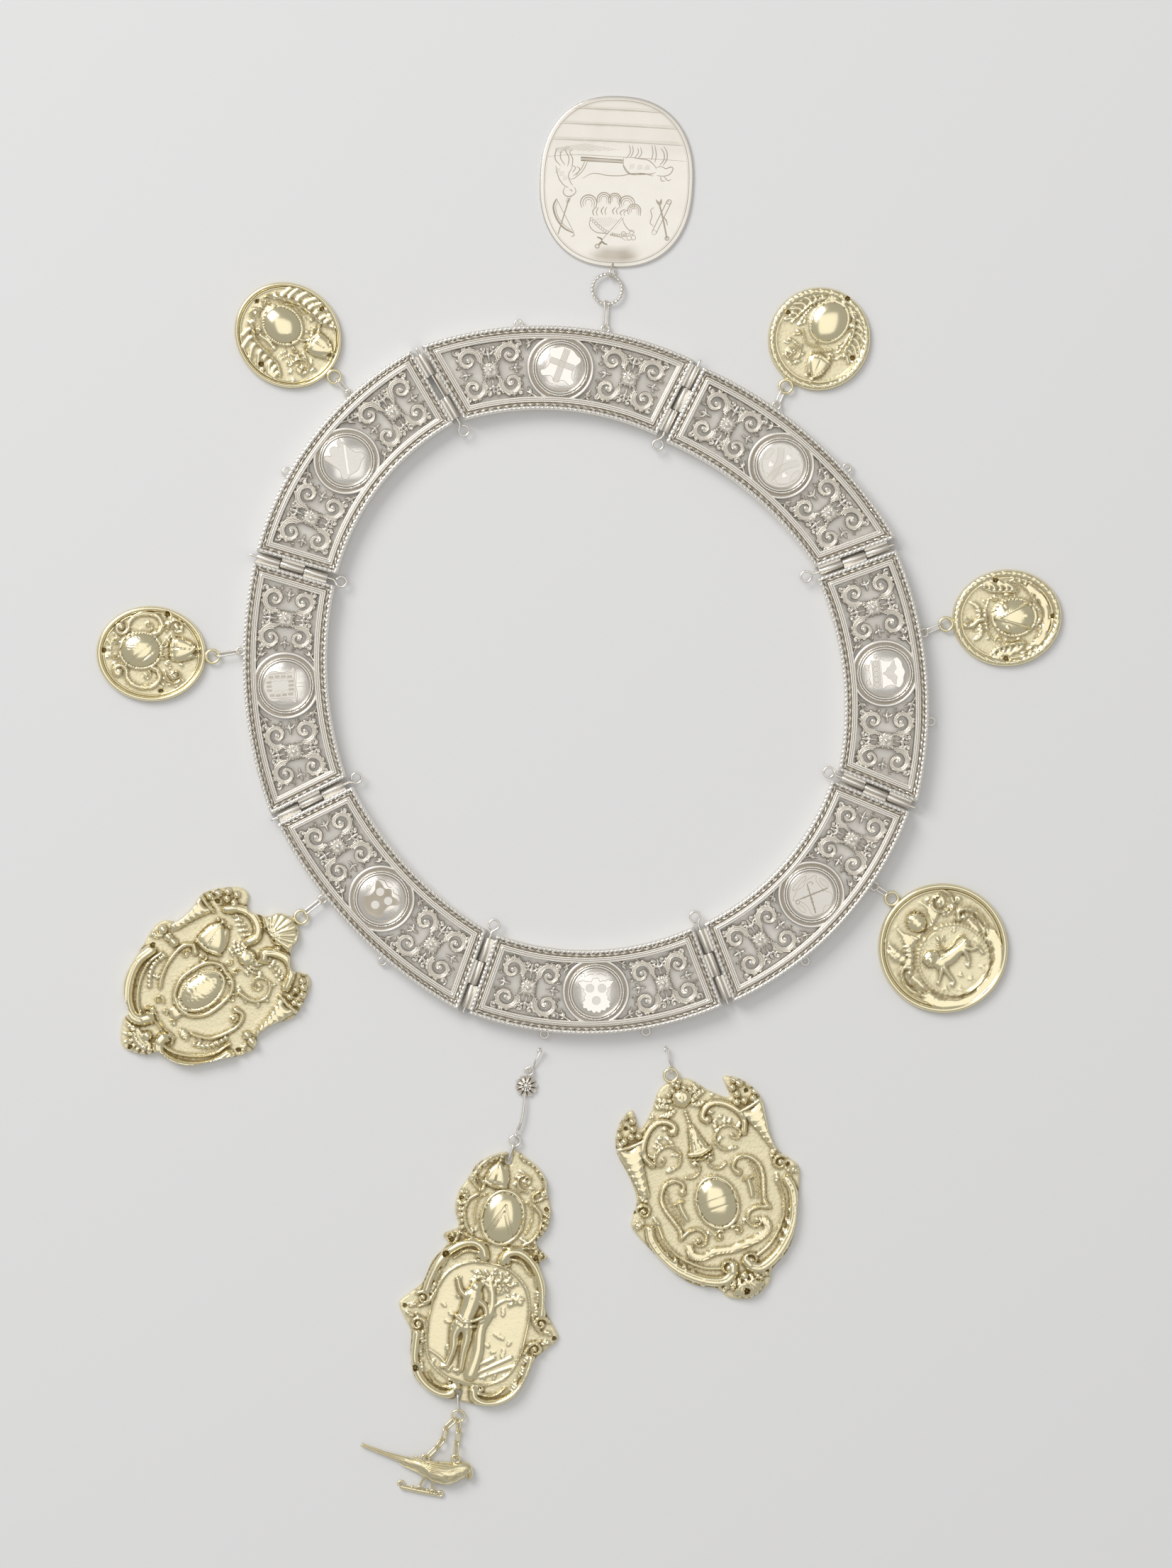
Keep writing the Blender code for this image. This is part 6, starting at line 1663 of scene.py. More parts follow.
def draw_shell(relief, gap, along):
    relief.shell((-1.4, 36.6), 12.4, 12, 156, 9, 1.9)
    relief.ridge([(-10.2, 39.4), (-9.4, 44.6), (-5.6, 48.6), (-1.4, 49.6), (3.2, 48.4), (6.6, 44.4),
        (7.2, 39.4)], 1.2, 1.5, (1, 1))
    for at, size in (((-4.2, 37.8), 2.2), ((1, 37.5), 2.2)):
        relief.volute(at, size, 90, 1.1 if at[0] < 0 else -1.1, 1.2, 1.9)
    relief.volute((-7.4, 36.4), 1.8, 0, 1, 1, 1.5)
    relief.volute((4.4, 36.2), 1.8, 180, -1, 1, 1.5)
    left = [(-21.4, 28), (-18.6, 32.4), (-15, 34.9), (-11, 35.5), (-6.6, 34.2), (-4.1, 31.2), (-4.6, 27.6)]
    right = [(20.6, 29), (17.8, 33.6), (14.4, 36), (10.6, 36.5), (6.4, 34.4), (3.3, 30.8), (5.2, 28.4)]
    for way, path in ((-1, left), (1, right)):
        relief.ridge(path, 4.9, 2.3, (0.7, 0.8))
        relief.cut(path[1:6], 0.4, 0.45)
        relief.ball(path[-1], 1.4, 1.8)
    for i in range(6):
        relief.leaf((-19.6 + 2.3 * i, 27.6 + 0.9 * math.sin(i)), (-17.4 + 2.4 * i,
            31.8 - 0.3 * abs(i - 3)), 1.9, 1.2, 0.1, 3)
        relief.leaf((18.8 - 2.3 * i, 28.4), (16.8 - 2.2 * i, 32.4 - 0.3 * abs(i - 3)), 1.9, 1.2, -0.1, 3)
    for way in (-1, 1):
        for i in range(4):
            relief.leaf((0.3 + way * 2.4, 20.6 + 1 * i), (0.3 + way * (9.2 - 1.3 * i), 23.6 + 2 * i), 1.9,
                1.35, -0.12 * way, 4)
        relief.volute((0.3 + way * 2.6, 15.8), 1.6, 90, way * 1, 0.9, 1.1)
        relief.leaf((0.3 + way * 3.8, 18.6), (0.3 + way * 7.6, 19.2), 1.9, 1.1, 0.1 * way, 3)
    relief.ball((0.4, 23.2), 3.3, 1.9)
    relief.ball((0.4, 22.2), 2.5, 2.1)
    for i in range(8):
        at = np.array([0.4, 23.6]) + unit(-4 + 27 * i) * 2.7
        relief.volute(tuple(at), 1, 50 * i, 0.9, 0.65, 1.8)
    for way in (-1, 1):
        relief.ball((0.4 + way * 0.95, 21.9), 0.38, 0.35, 2)
        relief.ball((0.4 + way * 1.3, 21), 0.6, 0.3, 1.75)
    relief.ball((0.4, 21.5), 0.42, 0.45, 2)
    relief.ridge([(-0.2, 20.5), (0.4, 20.35), (1, 20.5)], 0.38, 0.3, (1, 1), 1.95)
    mitre(relief, (-12.2, 11.6), 12.6, 20, 1.8)
    relief.ball((-20, 23), 1, 1.3)
    spiral_way = [(10.4, 11.8), (16.4, 14.2), (18.8, 19), (16.6, 23.6), (12.4, 24.2), (9.8, 21.4),
        (11.2, 18.2), (14, 18.4), (14.6, 20.6)]
    relief.ridge(spiral_way, 1.6, 1.4, (1.1, 0.6))
    relief.ball((13.2, 20.6), 1.1, 1.3)
    for root, tip in (((16, 23.4), (17.4, 27.2)), ((18.6, 18), (21.6, 19.8)), ((17.8, 15.6), (20.8, 14.2)),
            ((10.6, 22.6), (8.6, 25)), ((11, 12.6), (7.8, 13.6)), ((13, 12.4), (16.2, 10.8))):
        relief.leaf(root, tip, 2.3, 1.1, 0.12, 3)
    fruit_left = [(-23.4, 35.4), (-26.8, 33.2), (-28.4, 29.4), (-29.6, 25.8), (-24.6, 31), (-25.6, 27.6),
        (-30.8, 28.6), (-21.6, 32.6)]
    fruit_right = [(19.6, 38.8), (22.2, 36.2), (24.8, 35), (27, 32.8), (27.8, 28.4), (23.8, 31.8),
        (30.2, 29.8), (24.6, 28.2)]
    horn_of_plenty(relief, -1, (-28.4, 22.6), (-28.2, 5), 8.4, 3.4, fruit_left)
    horn_of_plenty(relief, 1, (26.6, 25.2), (29.4, 7.6), 8.4, 3.4, fruit_right)
    berries(relief, [(-30, 1.5), (-26, 1.5), (-22.8, 2), (27, 4), (30.6, 4), (33.2, 4.5)], 1.9, 1.7)
    relief.leaf((-28.4, -0.4), (-32.2, -4), 3.4, 1.4, 0.1, 4)
    relief.leaf((29.6, 1.2), (33, -3), 3.4, 1.4, -0.1, 4)
    low_left = [(-26.2, -7.6), (-25.6, -15.4), (-21.4, -22.6), (-14.8, -28.4), (-8.4, -30.4),
        (-4.6, -28.6), (-3.2, -25.2)]
    low_right = [(29.2, -7), (28.4, -15), (24.2, -22.6), (18.2, -28.2), (12.2, -30.4), (8.2, -28.8),
        (7, -25.2)]
    for way, path in ((-1, low_left), (1, low_right)):
        relief.ridge(path, 6, 2.4, (0.8, 0.8))
        relief.cut(path[:6], 0.45, 0.55)
        inner = [(x - way * 3.6, y + 3) for x, y in path[:6]]
        relief.ridge(inner, 1.6, 1.35, (0.9, 0.9))
        relief.volute((path[-1][0] - way * -1.6, path[-1][1] + 1), 2.6, 90 - 90 * way, way * 1.1, 1.3, 1.8)
        for i in range(5):
            a, b = np.array(path[i]), np.array(path[i + 1])
            out = np.array([way * 1, -0.8])
            relief.leaf(tuple(a * 0.4 + b * 0.6 + out * 0.6), tuple(b + out * 2.2), 3, 1.9, -0.1 * way, 3)
    strap_left = [(-14.2, 6.8), (-17, 8), (-19.4, 5), (-19, 0), (-17, -6), (-14, -11), (-11, -14)]
    strap_right = [(15.6, 6.4), (19, 7.5), (21.5, 3), (21, -3), (19, -9), (15.4, -12.8), (12.6, -14.6)]
    for way, path in ((-1, strap_left), (1, strap_right)):
        relief.ridge(path, 1.9, 1.5, (0.9, 0.8))
        relief.ball(path[0], 1.4, 1.6)
        relief.volute((path[3][0] - way * 3.2, 3.2), 2.2, 90, -way * 1.1, 1, 1.1)
        relief.volute((way * 10.8, 8), 2.2, 90, way * 1.1, 1, 1.2)
        relief.leaf((path[5][0], path[5][1]), (path[5][0] + way * 3.4, path[5][1] - 2.4), 2.4, 1.1, 0.1, 3)
    for path in ([(-20.8, -4.6), (-20.4, -10), (-18, -14), (-14, -17.2)], [(22.8, -4), (22.2, -9),
            (20.2, -13.6), (16.8, -16.4)]):
        for at in evenly(smooth(path, 0.4), 2):
            relief.ball(tuple(at), 1.05, 1.15)
    heart = [(0.5, 12.2), (-3.6, 12.4), (-7.6, 8.6), (-9, 2), (-8.6, -5), (-5, -10.6), (0.5, -12.6)]
    relief.ridge(heart, 1.7, 1.4, (1, 1))
    relief.ridge([(1 - x, y) for x, y in heart], 1.7, 1.4, (1, 1))
    for at, start, turns in (((-3.6, 11.4), 0, 1), ((4.6, 11.4), 180, -1), ((-1.8, -12), 90, 1), ((3, -12),
            90, -1)):
        relief.volute(at, 1.9, start, turns, 1, 1.5)
    relief.dome((0.5, -0.5), (6.3, 9.8), 2.1, 1, 1)
    for i in range(46):
        turn, reach = 137.5 * i, 0.86 * math.sqrt(i / 46)
        at = (0.5 + 5.6 * reach * math.cos(math.radians(turn)),
            -0.5 + 8.8 * reach * math.sin(math.radians(turn)))
        relief.cut([at, (at[0] + 0.3, at[1] + 0.2)], 0.5, 0.16)
    relief.volute((-7, -17.6), 2.4, 30, 1.1, 1.1, 1.2)
    relief.shell((11, -19), 3.6, 20, 140, 5, 1.3)
    relief.slab([(-0.8, -13.6), (3.8, -13.6), (3.8, -16.8), (-0.8, -16.8)], 0.9, 0.6)
    relief.volute((-1.6, -18.4), 1.5, 0, 1, 0.9, 1)
    relief.volute((4.6, -18.4), 1.5, 180, -1, 0.9, 1)
    relief.ridge([(-6.6, -21.2), (1.6, -22.6), (10, -21.4)], 1.2, 1.1, (0.8, 0.8))
    relief.ridge([(-5, -23), (1.6, -24.2), (8.6, -23.2)], 1, 1, (0.8, 0.8))
    for i in range(-3, 4):
        relief.leaf((2.2 + 1.1 * i, -31.6), (2.2 + 3.2 * i, -40.8 + 0.75 * i * i), 3, 1.6, -0.03 * i, 3)
    relief.ball((2.4, -30.2), 2, 2.1)
    for at in ((-26.5, 27), (25.5, 30.5), (-27.4, -5.6), (29.8, -2.8), (1.8, -39)):
        relief.hole(at)


def draw_two_part(relief, gap, along):
    for way in (-1, 1):
        def spot(across, up, at=0.6):
            return (at + way * across, up)
        border = [spot(2, 73), spot(8, 71.6), spot(12.6, 67.4), spot(15.2, 62.4), spot(14.6, 57.6),
            spot(11.4, 55.6), spot(10.6, 58), spot(12.8, 60.4)]
        relief.ridge(border, 1.7, 1.5, (0.9, 0.7))
        for i in range(7):
            turn = i / 6
            root = spot(4 + 12.4 * turn, 71 - 12 * turn * turn)
            tip = spot(3 + 14.6 * turn, 75.2 - 13 * turn * turn)
            relief.leaf(root, tip, 2.8, 1.4, 0.1 * way, 3)
        relief.volute(spot(15, 59.6), 2.6, 90, -way * 1.1, 1.2, 1.4)
        side = [spot(12.4, 53.6), spot(15.6, 50.4), spot(16.4, 45), spot(14.4, 39.6), spot(11, 36.4)]
        relief.ridge(side, 1.6, 1.4, (0.9, 0.8))
        for i in range(7):
            turn = i / 6
            root = spot(16.8 - 1.6 * turn * turn, 53.6 - 14.4 * turn)
            tip = spot(20.6 - 4 * turn * turn, 52.2 - 15.4 * turn)
            relief.leaf(root, tip, 2.6, 1.4, 0.1 * way, 3)
        relief.ridge([spot(8.6, 54.4), spot(11.6, 51.6), spot(12.2, 46), spot(10.8, 41)], 1, 1, (0.8, 0.8))
        relief.leaf(spot(9.4, 38.8), spot(13.6, 36.2), 2.4, 1.1, 0.1 * way, 3)
        relief.volute(spot(19.6, 33.8), 3, 90 + 60 * way, way * 1.2, 1.6, 1.6)
        relief.ridge([spot(16.4, 36.2), spot(10.4, 35), spot(3.4, 33.6)], 1.3, 1.2, (1, 0.7))
        top = [spot(3.6, 28.2), spot(5.2, 31.4), spot(9.4, 33.2), spot(14.6, 31.4), spot(19.6, 26.6),
            spot(22.8, 20.4), spot(24.4, 14), spot(25, 9)]
        relief.ridge(top, 4.6, 2.1, (0.8, 0.7))
        relief.ridge([spot(4.4, 27), spot(7.6, 29.6), spot(12.4, 28.8), spot(16.6, 24.8)], 1.6, 1.4,
            (0.9, 0.7))
        relief.volute(spot(6.4, 27.6), 2.2, 90, way * 1.1, 1.2, 1.5)
        low = [spot(3.6, -28), spot(5, -31.2), spot(9.6, -32.4), spot(15.4, -30.6), spot(20.4, -26.4),
            spot(23.4, -20.4), spot(24.4, -14), spot(24.8, -9.4)]
        relief.ridge(low, 4.6, 2.1, (0.8, 0.7))
        relief.ridge([spot(4.4, -26.8), spot(8, -29), spot(12.8, -28), spot(16.8, -24)], 1.6, 1.4,
            (0.9, 0.7))
        relief.volute(spot(6.6, -27), 2.2, 270, -way * 1.1, 1.2, 1.5)
        for up in (-1, 1):
            leaf_at = [(20.8, 22), (22.6, 15.6), (23.2, 10)]
            for x, y in leaf_at:
                relief.leaf(spot(x - 1.6, up * (y + 2.6)), spot(x - 0.6, up * (y - 2.4)), 3, 1.3,
                    0.12 * way * up, 4)
            relief.slab([spot(20, up * 27.4), spot(22.4, up * 25.4), spot(23, up * 21), spot(21,
                up * 22.6)], 1.3, 0.7)
            relief.volute(spot(25.4, up * 5.6), 3.2, 90 - way * up * 60, way * up * 1.2, 1.7, 1.7)
            relief.ridge([spot(21.4, up * 8.4), spot(23, up * 4.4), spot(26.8, up * 1.6)], 1.6, 1.4,
                (0.9, 0.7))
            relief.leaf(spot(28, up * 2.6), spot(31.4, up * 1.2), 2.6, 1.3, 0.1, 3)
    mitre(relief, (-5.4, 58.2), 10.4, -4, 1.6)
    rosette_scroll(relief, (6.6, 62.8), 4, -1, 1.3)
    relief.dome((0.6, 46), (8.2, 10.6), 2.4, 1.2, 1.1)
    for way in (-1, 1):
        relief.cut([(0.9, 51.6), (0.9 + way * 3.4, 44.6), (0.9 + way * 6, 38.6)], 0.28, 0.4)
        relief.cut([(0.9, 48.8), (0.9 + way * 2.2, 44), (0.9 + way * 4, 39.4)], 0.28, 0.4)
    field = [(0, 26), (9, 24.6), (16.6, 19), (20.2, 10), (20.8, 0), (20.2, -10), (16.6, -19.4), (9, -24.6),
        (0, -26), (-9, -24.6), (-16.6, -19.4), (-20.2, -10), (-20.8, 0), (-20.2, 10), (-16.6, 19),
        (-9, 24.6)]
    inside = relief.inside(np.vstack([smooth(field, 0.5, True)]))
    relief.matt[inside] = 0.35
    inside_spots = np.column_stack([chance.uniform(-15, 15, 40), chance.uniform(-18, 18, 40)])
    relief.ridge(smooth(field, 0.5, True), 1.1, 0.8, (1, 1))
    trunk = [(1.6, -22), (2.6, -12), (1.8, -2), (4.2, 6), (3.4, 13), (1, 19)]
    relief.ridge(trunk, 4.2, 1.2, (1.2, 0.6))
    for i in range(40):
        spot = inside_spots[i]
        relief.leaf(tuple(spot), tuple(spot + unit(30 + 47 * i) * 2.6), 2.6, 0.45, 0.1, 2)
    relief.ridge([(3.8, 7), (8.6, 11.6), (13.4, 13.4)], 1.6, 0.8, (1, 0.4))
    relief.ridge([(2.6, 14), (-3, 19.6), (-7.6, 21.4)], 1.4, 0.8, (1, 0.4))
    for i in range(26):
        turn, reach = 137.5 * i, 1 * math.sqrt((i + 0.5) / 26)
        at = np.array([3.4, 19]) + np.array([9.6, 4.6]) * reach * unit(turn)
        relief.leaf(tuple(at - unit(turn) * 1.1), tuple(at + unit(turn) * 1.5), 1.9, 1.1, 0.1, 2)
    for i in range(10):
        at = np.array([13.4, 13]) + np.array([3.4, 2.6]) * math.sqrt((i + 0.5) / 10) * unit(137.5 * i)
        relief.leaf(tuple(at - unit(137.5 * i)), tuple(at + unit(137.5 * i) * 1.2), 1.6, 0.9, 0.1, 2)
    figure(relief)
    for x, y, x2, y2 in ((4, -20.6, 17, -11), (6, -22.2, 18.4, -14.6), (2, -18.6, 10, -12.8), (-18, -15,
            -8, -22)):
        relief.ridge([(x, y), ((x + x2) / 2 + 1.2, (y + y2) / 2 + 0.8), (x2, y2)], 1.8, 0.6, (0.6, 0.9))
    for i in range(9):
        relief.leaf((-15 + 3.8 * i, -23 + 0.12 * (i - 4) ** 2), (-14.2 + 3.8 * i,
            -19.6 + 0.1 * (i - 4) ** 2), 1.6, 0.7, 0.05, 2)
    for at in ((-18.3, 50.5), (18, 53.2), (-18.5, 32.4), (18.1, 32.2), (-31.7, 0.8), (32.9, 0.8),
            (-21.8, -24), (-19.6, 26)):
        relief.hole(at)


def figure(relief):
    """A plain standing figure with an arm raised, dressed in a short wrap."""
    relief.ridge([(-4.2, 12.6), (-4.6, 10.6)], 2.2, 1.5, (1, 1))
    relief.ball((-3.9, 15), 2.5, 2.2)
    relief.ridge([(-4.4, 11), (-4.8, 6.4), (-5.6, 1.6), (-5.8, -2)], 8.2, 2.2, (1, 0.82))
    relief.ridge([(-7.2, 10.2), (-10.2, 12.4), (-12.4, 16.8)], 2.6, 1.7, (1.1, 0.7))
    relief.ridge([(-2, 9.8), (1.6, 7.4), (2.8, 3), (0.8, 0.6)], 2.6, 1.7, (1.1, 0.7))
    relief.ridge([(-7.4, -1.4), (-8.6, -7), (-7.9, -13), (-9, -20.2)], 4.4, 2, (1.1, 0.5))
    relief.ridge([(-4.2, -1.6), (-3.2, -7.4), (-3.4, -13.6), (-3, -20.6)], 4.4, 2.1, (1.1, 0.5))
    relief.ridge([(-8.8, -20.2), (-11.2, -21)], 1.9, 1.3, (1, 0.7))
    relief.ridge([(-3, -20.6), (-5.2, -21.6)], 1.9, 1.3, (1, 0.7))
    relief.ridge([(-9.6, 1.4), (-6, -0.4), (-1.4, 1.2), (1.6, 3.4)], 2.4, 2.4, (0.8, 0.8))
    relief.ridge([(-9, -1.4), (-5.4, -2.8), (-1.2, -1.4)], 2.2, 2.3, (0.8, 0.8))
    relief.ridge([(-8.8, 0), (-10.6, -3.4), (-10, -6.6)], 1.8, 1.6, (1, 0.6))
    for i in range(3):
        relief.cut([(-8.2 + 2.4 * i, 0.6), (-7.6 + 2.4 * i, -3)], 0.3, 0.3)
    relief.cut([(-4.6, 9.6), (-4.9, 6), (-5.4, 3)], 0.4, 0.22)


# piece, where its boss or middle lies, bearing of its ring, how its relief is drawn
SHIELDS = (
    ("horn_shield", 58.32, -171.49, 110, draw_horn, 2.3),
    ("shell_shield", -159.43, -81.23, 36, draw_shell, 2.3),
    ("two_part_medal", -42.86, -222.62, 77.5, draw_two_part, 2.3),
)
for node, x, y, bearing, draw, field in SHIELDS:
    medal = Medal(node, x, y, bearing)
    made = Part()
    make_square(made, medal, draw, field)
    if node != "two_part_medal":
        add_bail(made, medal)
    made.make(node + "_chased", node, gilt, "gilt")
    print(node, "faces:", len(made.faces), "top at", round(medal.top, 1))

# %% [markdown]
# ## Bosses
#
# A boss is turned from thick sheet, with a ring of twisted wire laid round a polished moulding. Its
# face is engraved by hand with the arms of a trade. Every burin line is a thin dark strip a hair above
# the face, and ground that was roughened first is a matt patch below the lines, because the eye sees an
# engraving as a change of shine long before it sees any depth.

# %% Engraving
class Graver:
    """Cuts lines and fields into a flat face; places are millimetres across and up from its middle."""

    def __init__(self, part, centre, bearing, level, weight=1):
        self.part = part
        self.centre = np.asarray(centre, float)
        self.up = unit(bearing)
        self.right = -left_of(self.up)
        self.level = level
        self.weight = weight
        self.cuts = 0

    def place(self, points, lift):
        points = np.asarray(points, float)
        flat = self.centre + np.outer(points[:, 0], self.right) + np.outer(points[:, 1], self.up)
        return np.column_stack([flat, np.full(len(flat), self.level + lift)])

    def line(self, points, width=0.22, dark=0.75, closed=False, straight=False, taper=0.4):
        """One cut, thin at its ends as a burin leaves it."""
        path = np.asarray(points, float)
        if closed:
            path = np.vstack([smooth(path, 0.6, True), path[:1]])
        elif len(path) > 2 and not straight:
            path = smooth(path, 0.65)
        elif len(path) == 2 and taper < 1:
            path = np.vstack([path[:1], path.mean(0)[None], path[1:]])
        share = np.linspace(0, 1, len(path))
        width = width * self.weight
        half = width / 2 * (taper + (1 - taper) * np.sin(math.pi * share) ** 0.5)
        if closed:
            half = np.full(len(path), width / 2)
        way = headings(path, False)
        side = np.column_stack([-way[:, 1], way[:, 0]]) * half[:, None]
        self.cuts = (self.cuts + 1) % 40
        lift = 0.024 + 0.0006 * self.cuts
        edges = [self.place(path + side, -0.05), self.place(path + side, lift), self.place(path - side,
            lift), self.place(path - side, -0.05)]
        rows = [np.array(row) for row in zip(*edges)]
        self.part.add(*rings(rows, False), min(1, dark * self.weight), 0.4)

    def field(self, corners, dark=0, matt=1, lift=0.008, soft=False):
        """A patch of the face with another shine."""
        line = smooth(corners, 0.6, True) if soft else np.asarray(corners, float)
        self.part.add(*rings([self.place(line, -0.05), self.place(line, lift)], False), dark, matt)

    def hatch(self, corners, bearing, gap=0.45, width=0.13, dark=0.5):
        """Parallel cuts that fill an outline."""
        ahead, side = unit(bearing), left_of(unit(bearing))
        ring = np.asarray(corners, float)
        first = np.column_stack([ring @ ahead, ring @ side])
        second = np.roll(first, -1, 0)
        for level in np.arange(first[:, 1].min() + gap / 2, first[:, 1].max(), gap):
            crossed = (first[:, 1] > level) != (second[:, 1] > level)
            a, b = first[crossed], second[crossed]
            marks = np.sort(a[:, 0] + (level - a[:, 1]) / (b[:, 1] - a[:, 1]) * (b[:, 0] - a[:, 0]))
            for start, stop in zip(marks[::2], marks[1::2]):
                start, stop = start + chance.uniform(0.05, 0.3), stop - chance.uniform(0.05, 0.3)
                if stop > start + 0.2:
                    self.line([ahead * start + side * level, ahead * stop + side * level], width, dark,
                        taper=1)

    def dots(self, corners, gap=0.55, size=0.14, dark=0.55):
        """Punched ground: small pricks spread through an outline."""
        ring = np.asarray(corners, float)
        low, high = ring.min(0), ring.max(0)
        u, v = np.meshgrid(np.arange(low[0], high[0], gap), np.arange(low[1], high[1], gap))
        u = u.ravel() + chance.uniform(-0.45, 0.45, u.size) * gap
        v = v.ravel() + chance.uniform(-0.45, 0.45, v.size) * gap
        for spot in np.column_stack([u, v])[crossing(u, v, np.vstack([ring, ring[:1]]))]:
            corners = [spot + unit(90 * i + 45) * size for i in range(4)] + [spot]
            points = self.place(corners, -0.02)
            points[4, 2] = self.level + 0.05
            self.part.add(points, [(0, 1, 4), (1, 2, 4), (2, 3, 4), (3, 0, 4), (3, 2, 1, 0)], dark, 0.6)

    def circle(self, at, radius, width=0.2, dark=0.7, squash=1):
        turns = np.arange(0, 360, 12)
        self.line([np.asarray(at) + unit(turn) * radius * (squash, 1) for turn in turns], width, dark, True)

    def curl(self, at, radius, start, turns=1.1, width=0.24, dark=0.7):
        self.line(spiral(at, radius, start, turns, 0.2, 16), width, dark, False, True)


def both_sides(half):
    """A symmetrical outline from its right half, from the top down."""
    half = np.asarray(half, float)
    other = half[::-1] * (-1, 1)
    return np.vstack([half, other[1:-1]])


def leaning(points, turn):
    """The same points turned by degrees."""
    return np.outer(np.asarray(points)[:, 0], unit(turn)) + np.outer(np.asarray(points)[:, 1],
        unit(turn + 90))


def box(u, v, width, height):
    return [(u - width / 2, v - height / 2), (u + width / 2, v - height / 2), (u + width / 2,
        v + height / 2), (u - width / 2, v + height / 2)]


SHIELD = ((0, 9), (2.6, 8.7), (5, 7.2), (6.6, 6.6), (7, 5), (5.7, 2.6), (5.2, 0), (6, -2.4), (7.6, -3.8),
    (6.2, -5.6), (4.4, -5), (2.4, -4.6), (0, -6.4))
print("a shield has", len(both_sides(SHIELD)), "corners")

# %% Arms on the bosses
def straps(graver, lean=0):
    """Strapwork between a shield and the rim: a long loop on either side and curls below."""
    for way in (-1, 1):
        loop = [(way * 6.3, 1.9), (way * 7.2, 3.7), (way * 8.4, 2.6), (way * 8.9, 0.4), (way * 8.4, -1.8),
            (way * 7, -2.4), (way * 6.5, -0.4)]
        loop = leaning(loop, lean)
        graver.line(loop, 0.18, 0.6, True)
        inner = smooth(loop, 0.8, True)
        graver.hatch(inner.mean(0) + (inner - inner.mean(0)) * 0.8, 62 * way + lean, 0.6, 0.1, 0.35)
        graver.curl(leaning([(way * 5.6, -7.2)], lean)[0], 1.3, 90 + way * 40, way * 1.1)
        tail = [(way * 4.4, -6.5), (way * 2.4, -7.6), (way * 0.4, -7.4)]
        graver.line(leaning(tail, lean), 0.2)
        graver.line(leaning([(way * 3.6, -8.2), (way * 1.8, -8.9), (0, -8.7)], lean), 0.16)


def arms_cross(graver):
    shield = leaning(both_sides(SHIELD), -17)
    graver.field(shield, 0, 0, 0.006, True)
    for arm, bearing, lift in ((box(0, 1.2, 2.6, 14.4), 73, 0.016), (box(0, 1.8, 10.6, 2.5), -17, 0.011)):
        corners = leaning(arm, -17)
        graver.field(corners, 0.16, 1, lift)
        graver.hatch(corners, bearing, 0.42)
        graver.line(np.vstack([corners, corners[:1]]), 0.16, 0.6, False, True, 1)
    graver.line(shield, 0.24, 0.7, True)
    straps(graver, -17)


def arms_staff(graver):
    shield = both_sides([(0, 8.6), (1.4, 8.2), (2.2, 6.4), (3.6, 8), (5.2, 8.2), (5.2, 5.6), (5, 2.6),
        (5.2, -0.6), (6.8, -2.8), (6.2, -4.8), (3.8, -5), (0, -6.2)])
    graver.field(shield, 0.12, 1, 0.006, True)
    graver.dots(smooth(shield, 0.8, True) * 0.95, 0.6)
    staff = leaning(box(0, 0.6, 0.9, 12.4), -44)
    graver.field(staff, 0, 0, 0.07)
    graver.line(np.vstack([staff, staff[:1]]), 0.14, 0.6, False, True, 1)
    graver.line([(3.4, 4.4), (4.6, 5.6), (4.4, 6.9), (3.2, 6.7), (3, 5.6)], 0.3, 0.5)
    graver.line(shield, 0.24, 0.7, True)


def arms_wall(graver):
    wall = both_sides([(0, 9.3), (3, 8.4), (5.2, 7.4), (6.4, 5.2), (5.6, 1.4), (6, -1.6), (7.4, -3.9),
        (3, -4.1), (0, -4.1)])
    graver.field(wall, 0.12, 1, 0.006, True)
    graver.dots(smooth(wall, 0.8, True) * 0.93, 0.62)
    for side in (-1, 1):
        for row in range(4):
            stone = box(side * (4 - 0.15 * abs(row - 1)), 5.9 - 2.6 * row, 1.05, 2)
            graver.field(stone, 0.62, 0.2, 0.06)
            graver.line(box(side * 2.5, 5.2 - 2.6 * row, 0.9, 1.9), 0.13, 0.5, True)
    for column in range(3):
        for level, height in ((6.9, 2.1), (-2.4, 2.2)):
            graver.field(box(-1.7 + 1.7 * column, level, 1, height), 0.62, 0.2, 0.06)
    for side in (-1, 1):
        graver.line([(side * 5, 6.9), (side * 5.2, 3), (side * 5, 0), (side * 5.6, -3.4)], 0.2)
        graver.line([(side * 6.7, 4.6), (side * 7.6, 2), (side * 7.4, -1.2), (side * 8.3, -3.2)], 0.18, 0.5)
        graver.line([(side * 0.75, -4.4), (side * 0.75, -8.8)], 0.2)
        graver.line([(side * 7.2, -4.3), (side * 4.4, -4.8), (0, -4.5)], 0.26)
        graver.hatch([(side * 1.4, -5.2), (side * 5.4, -5.2), (side * 3.4, -8.2)][::side], 60 * side, 0.6)
    graver.line(wall, 0.24, 0.65, True)


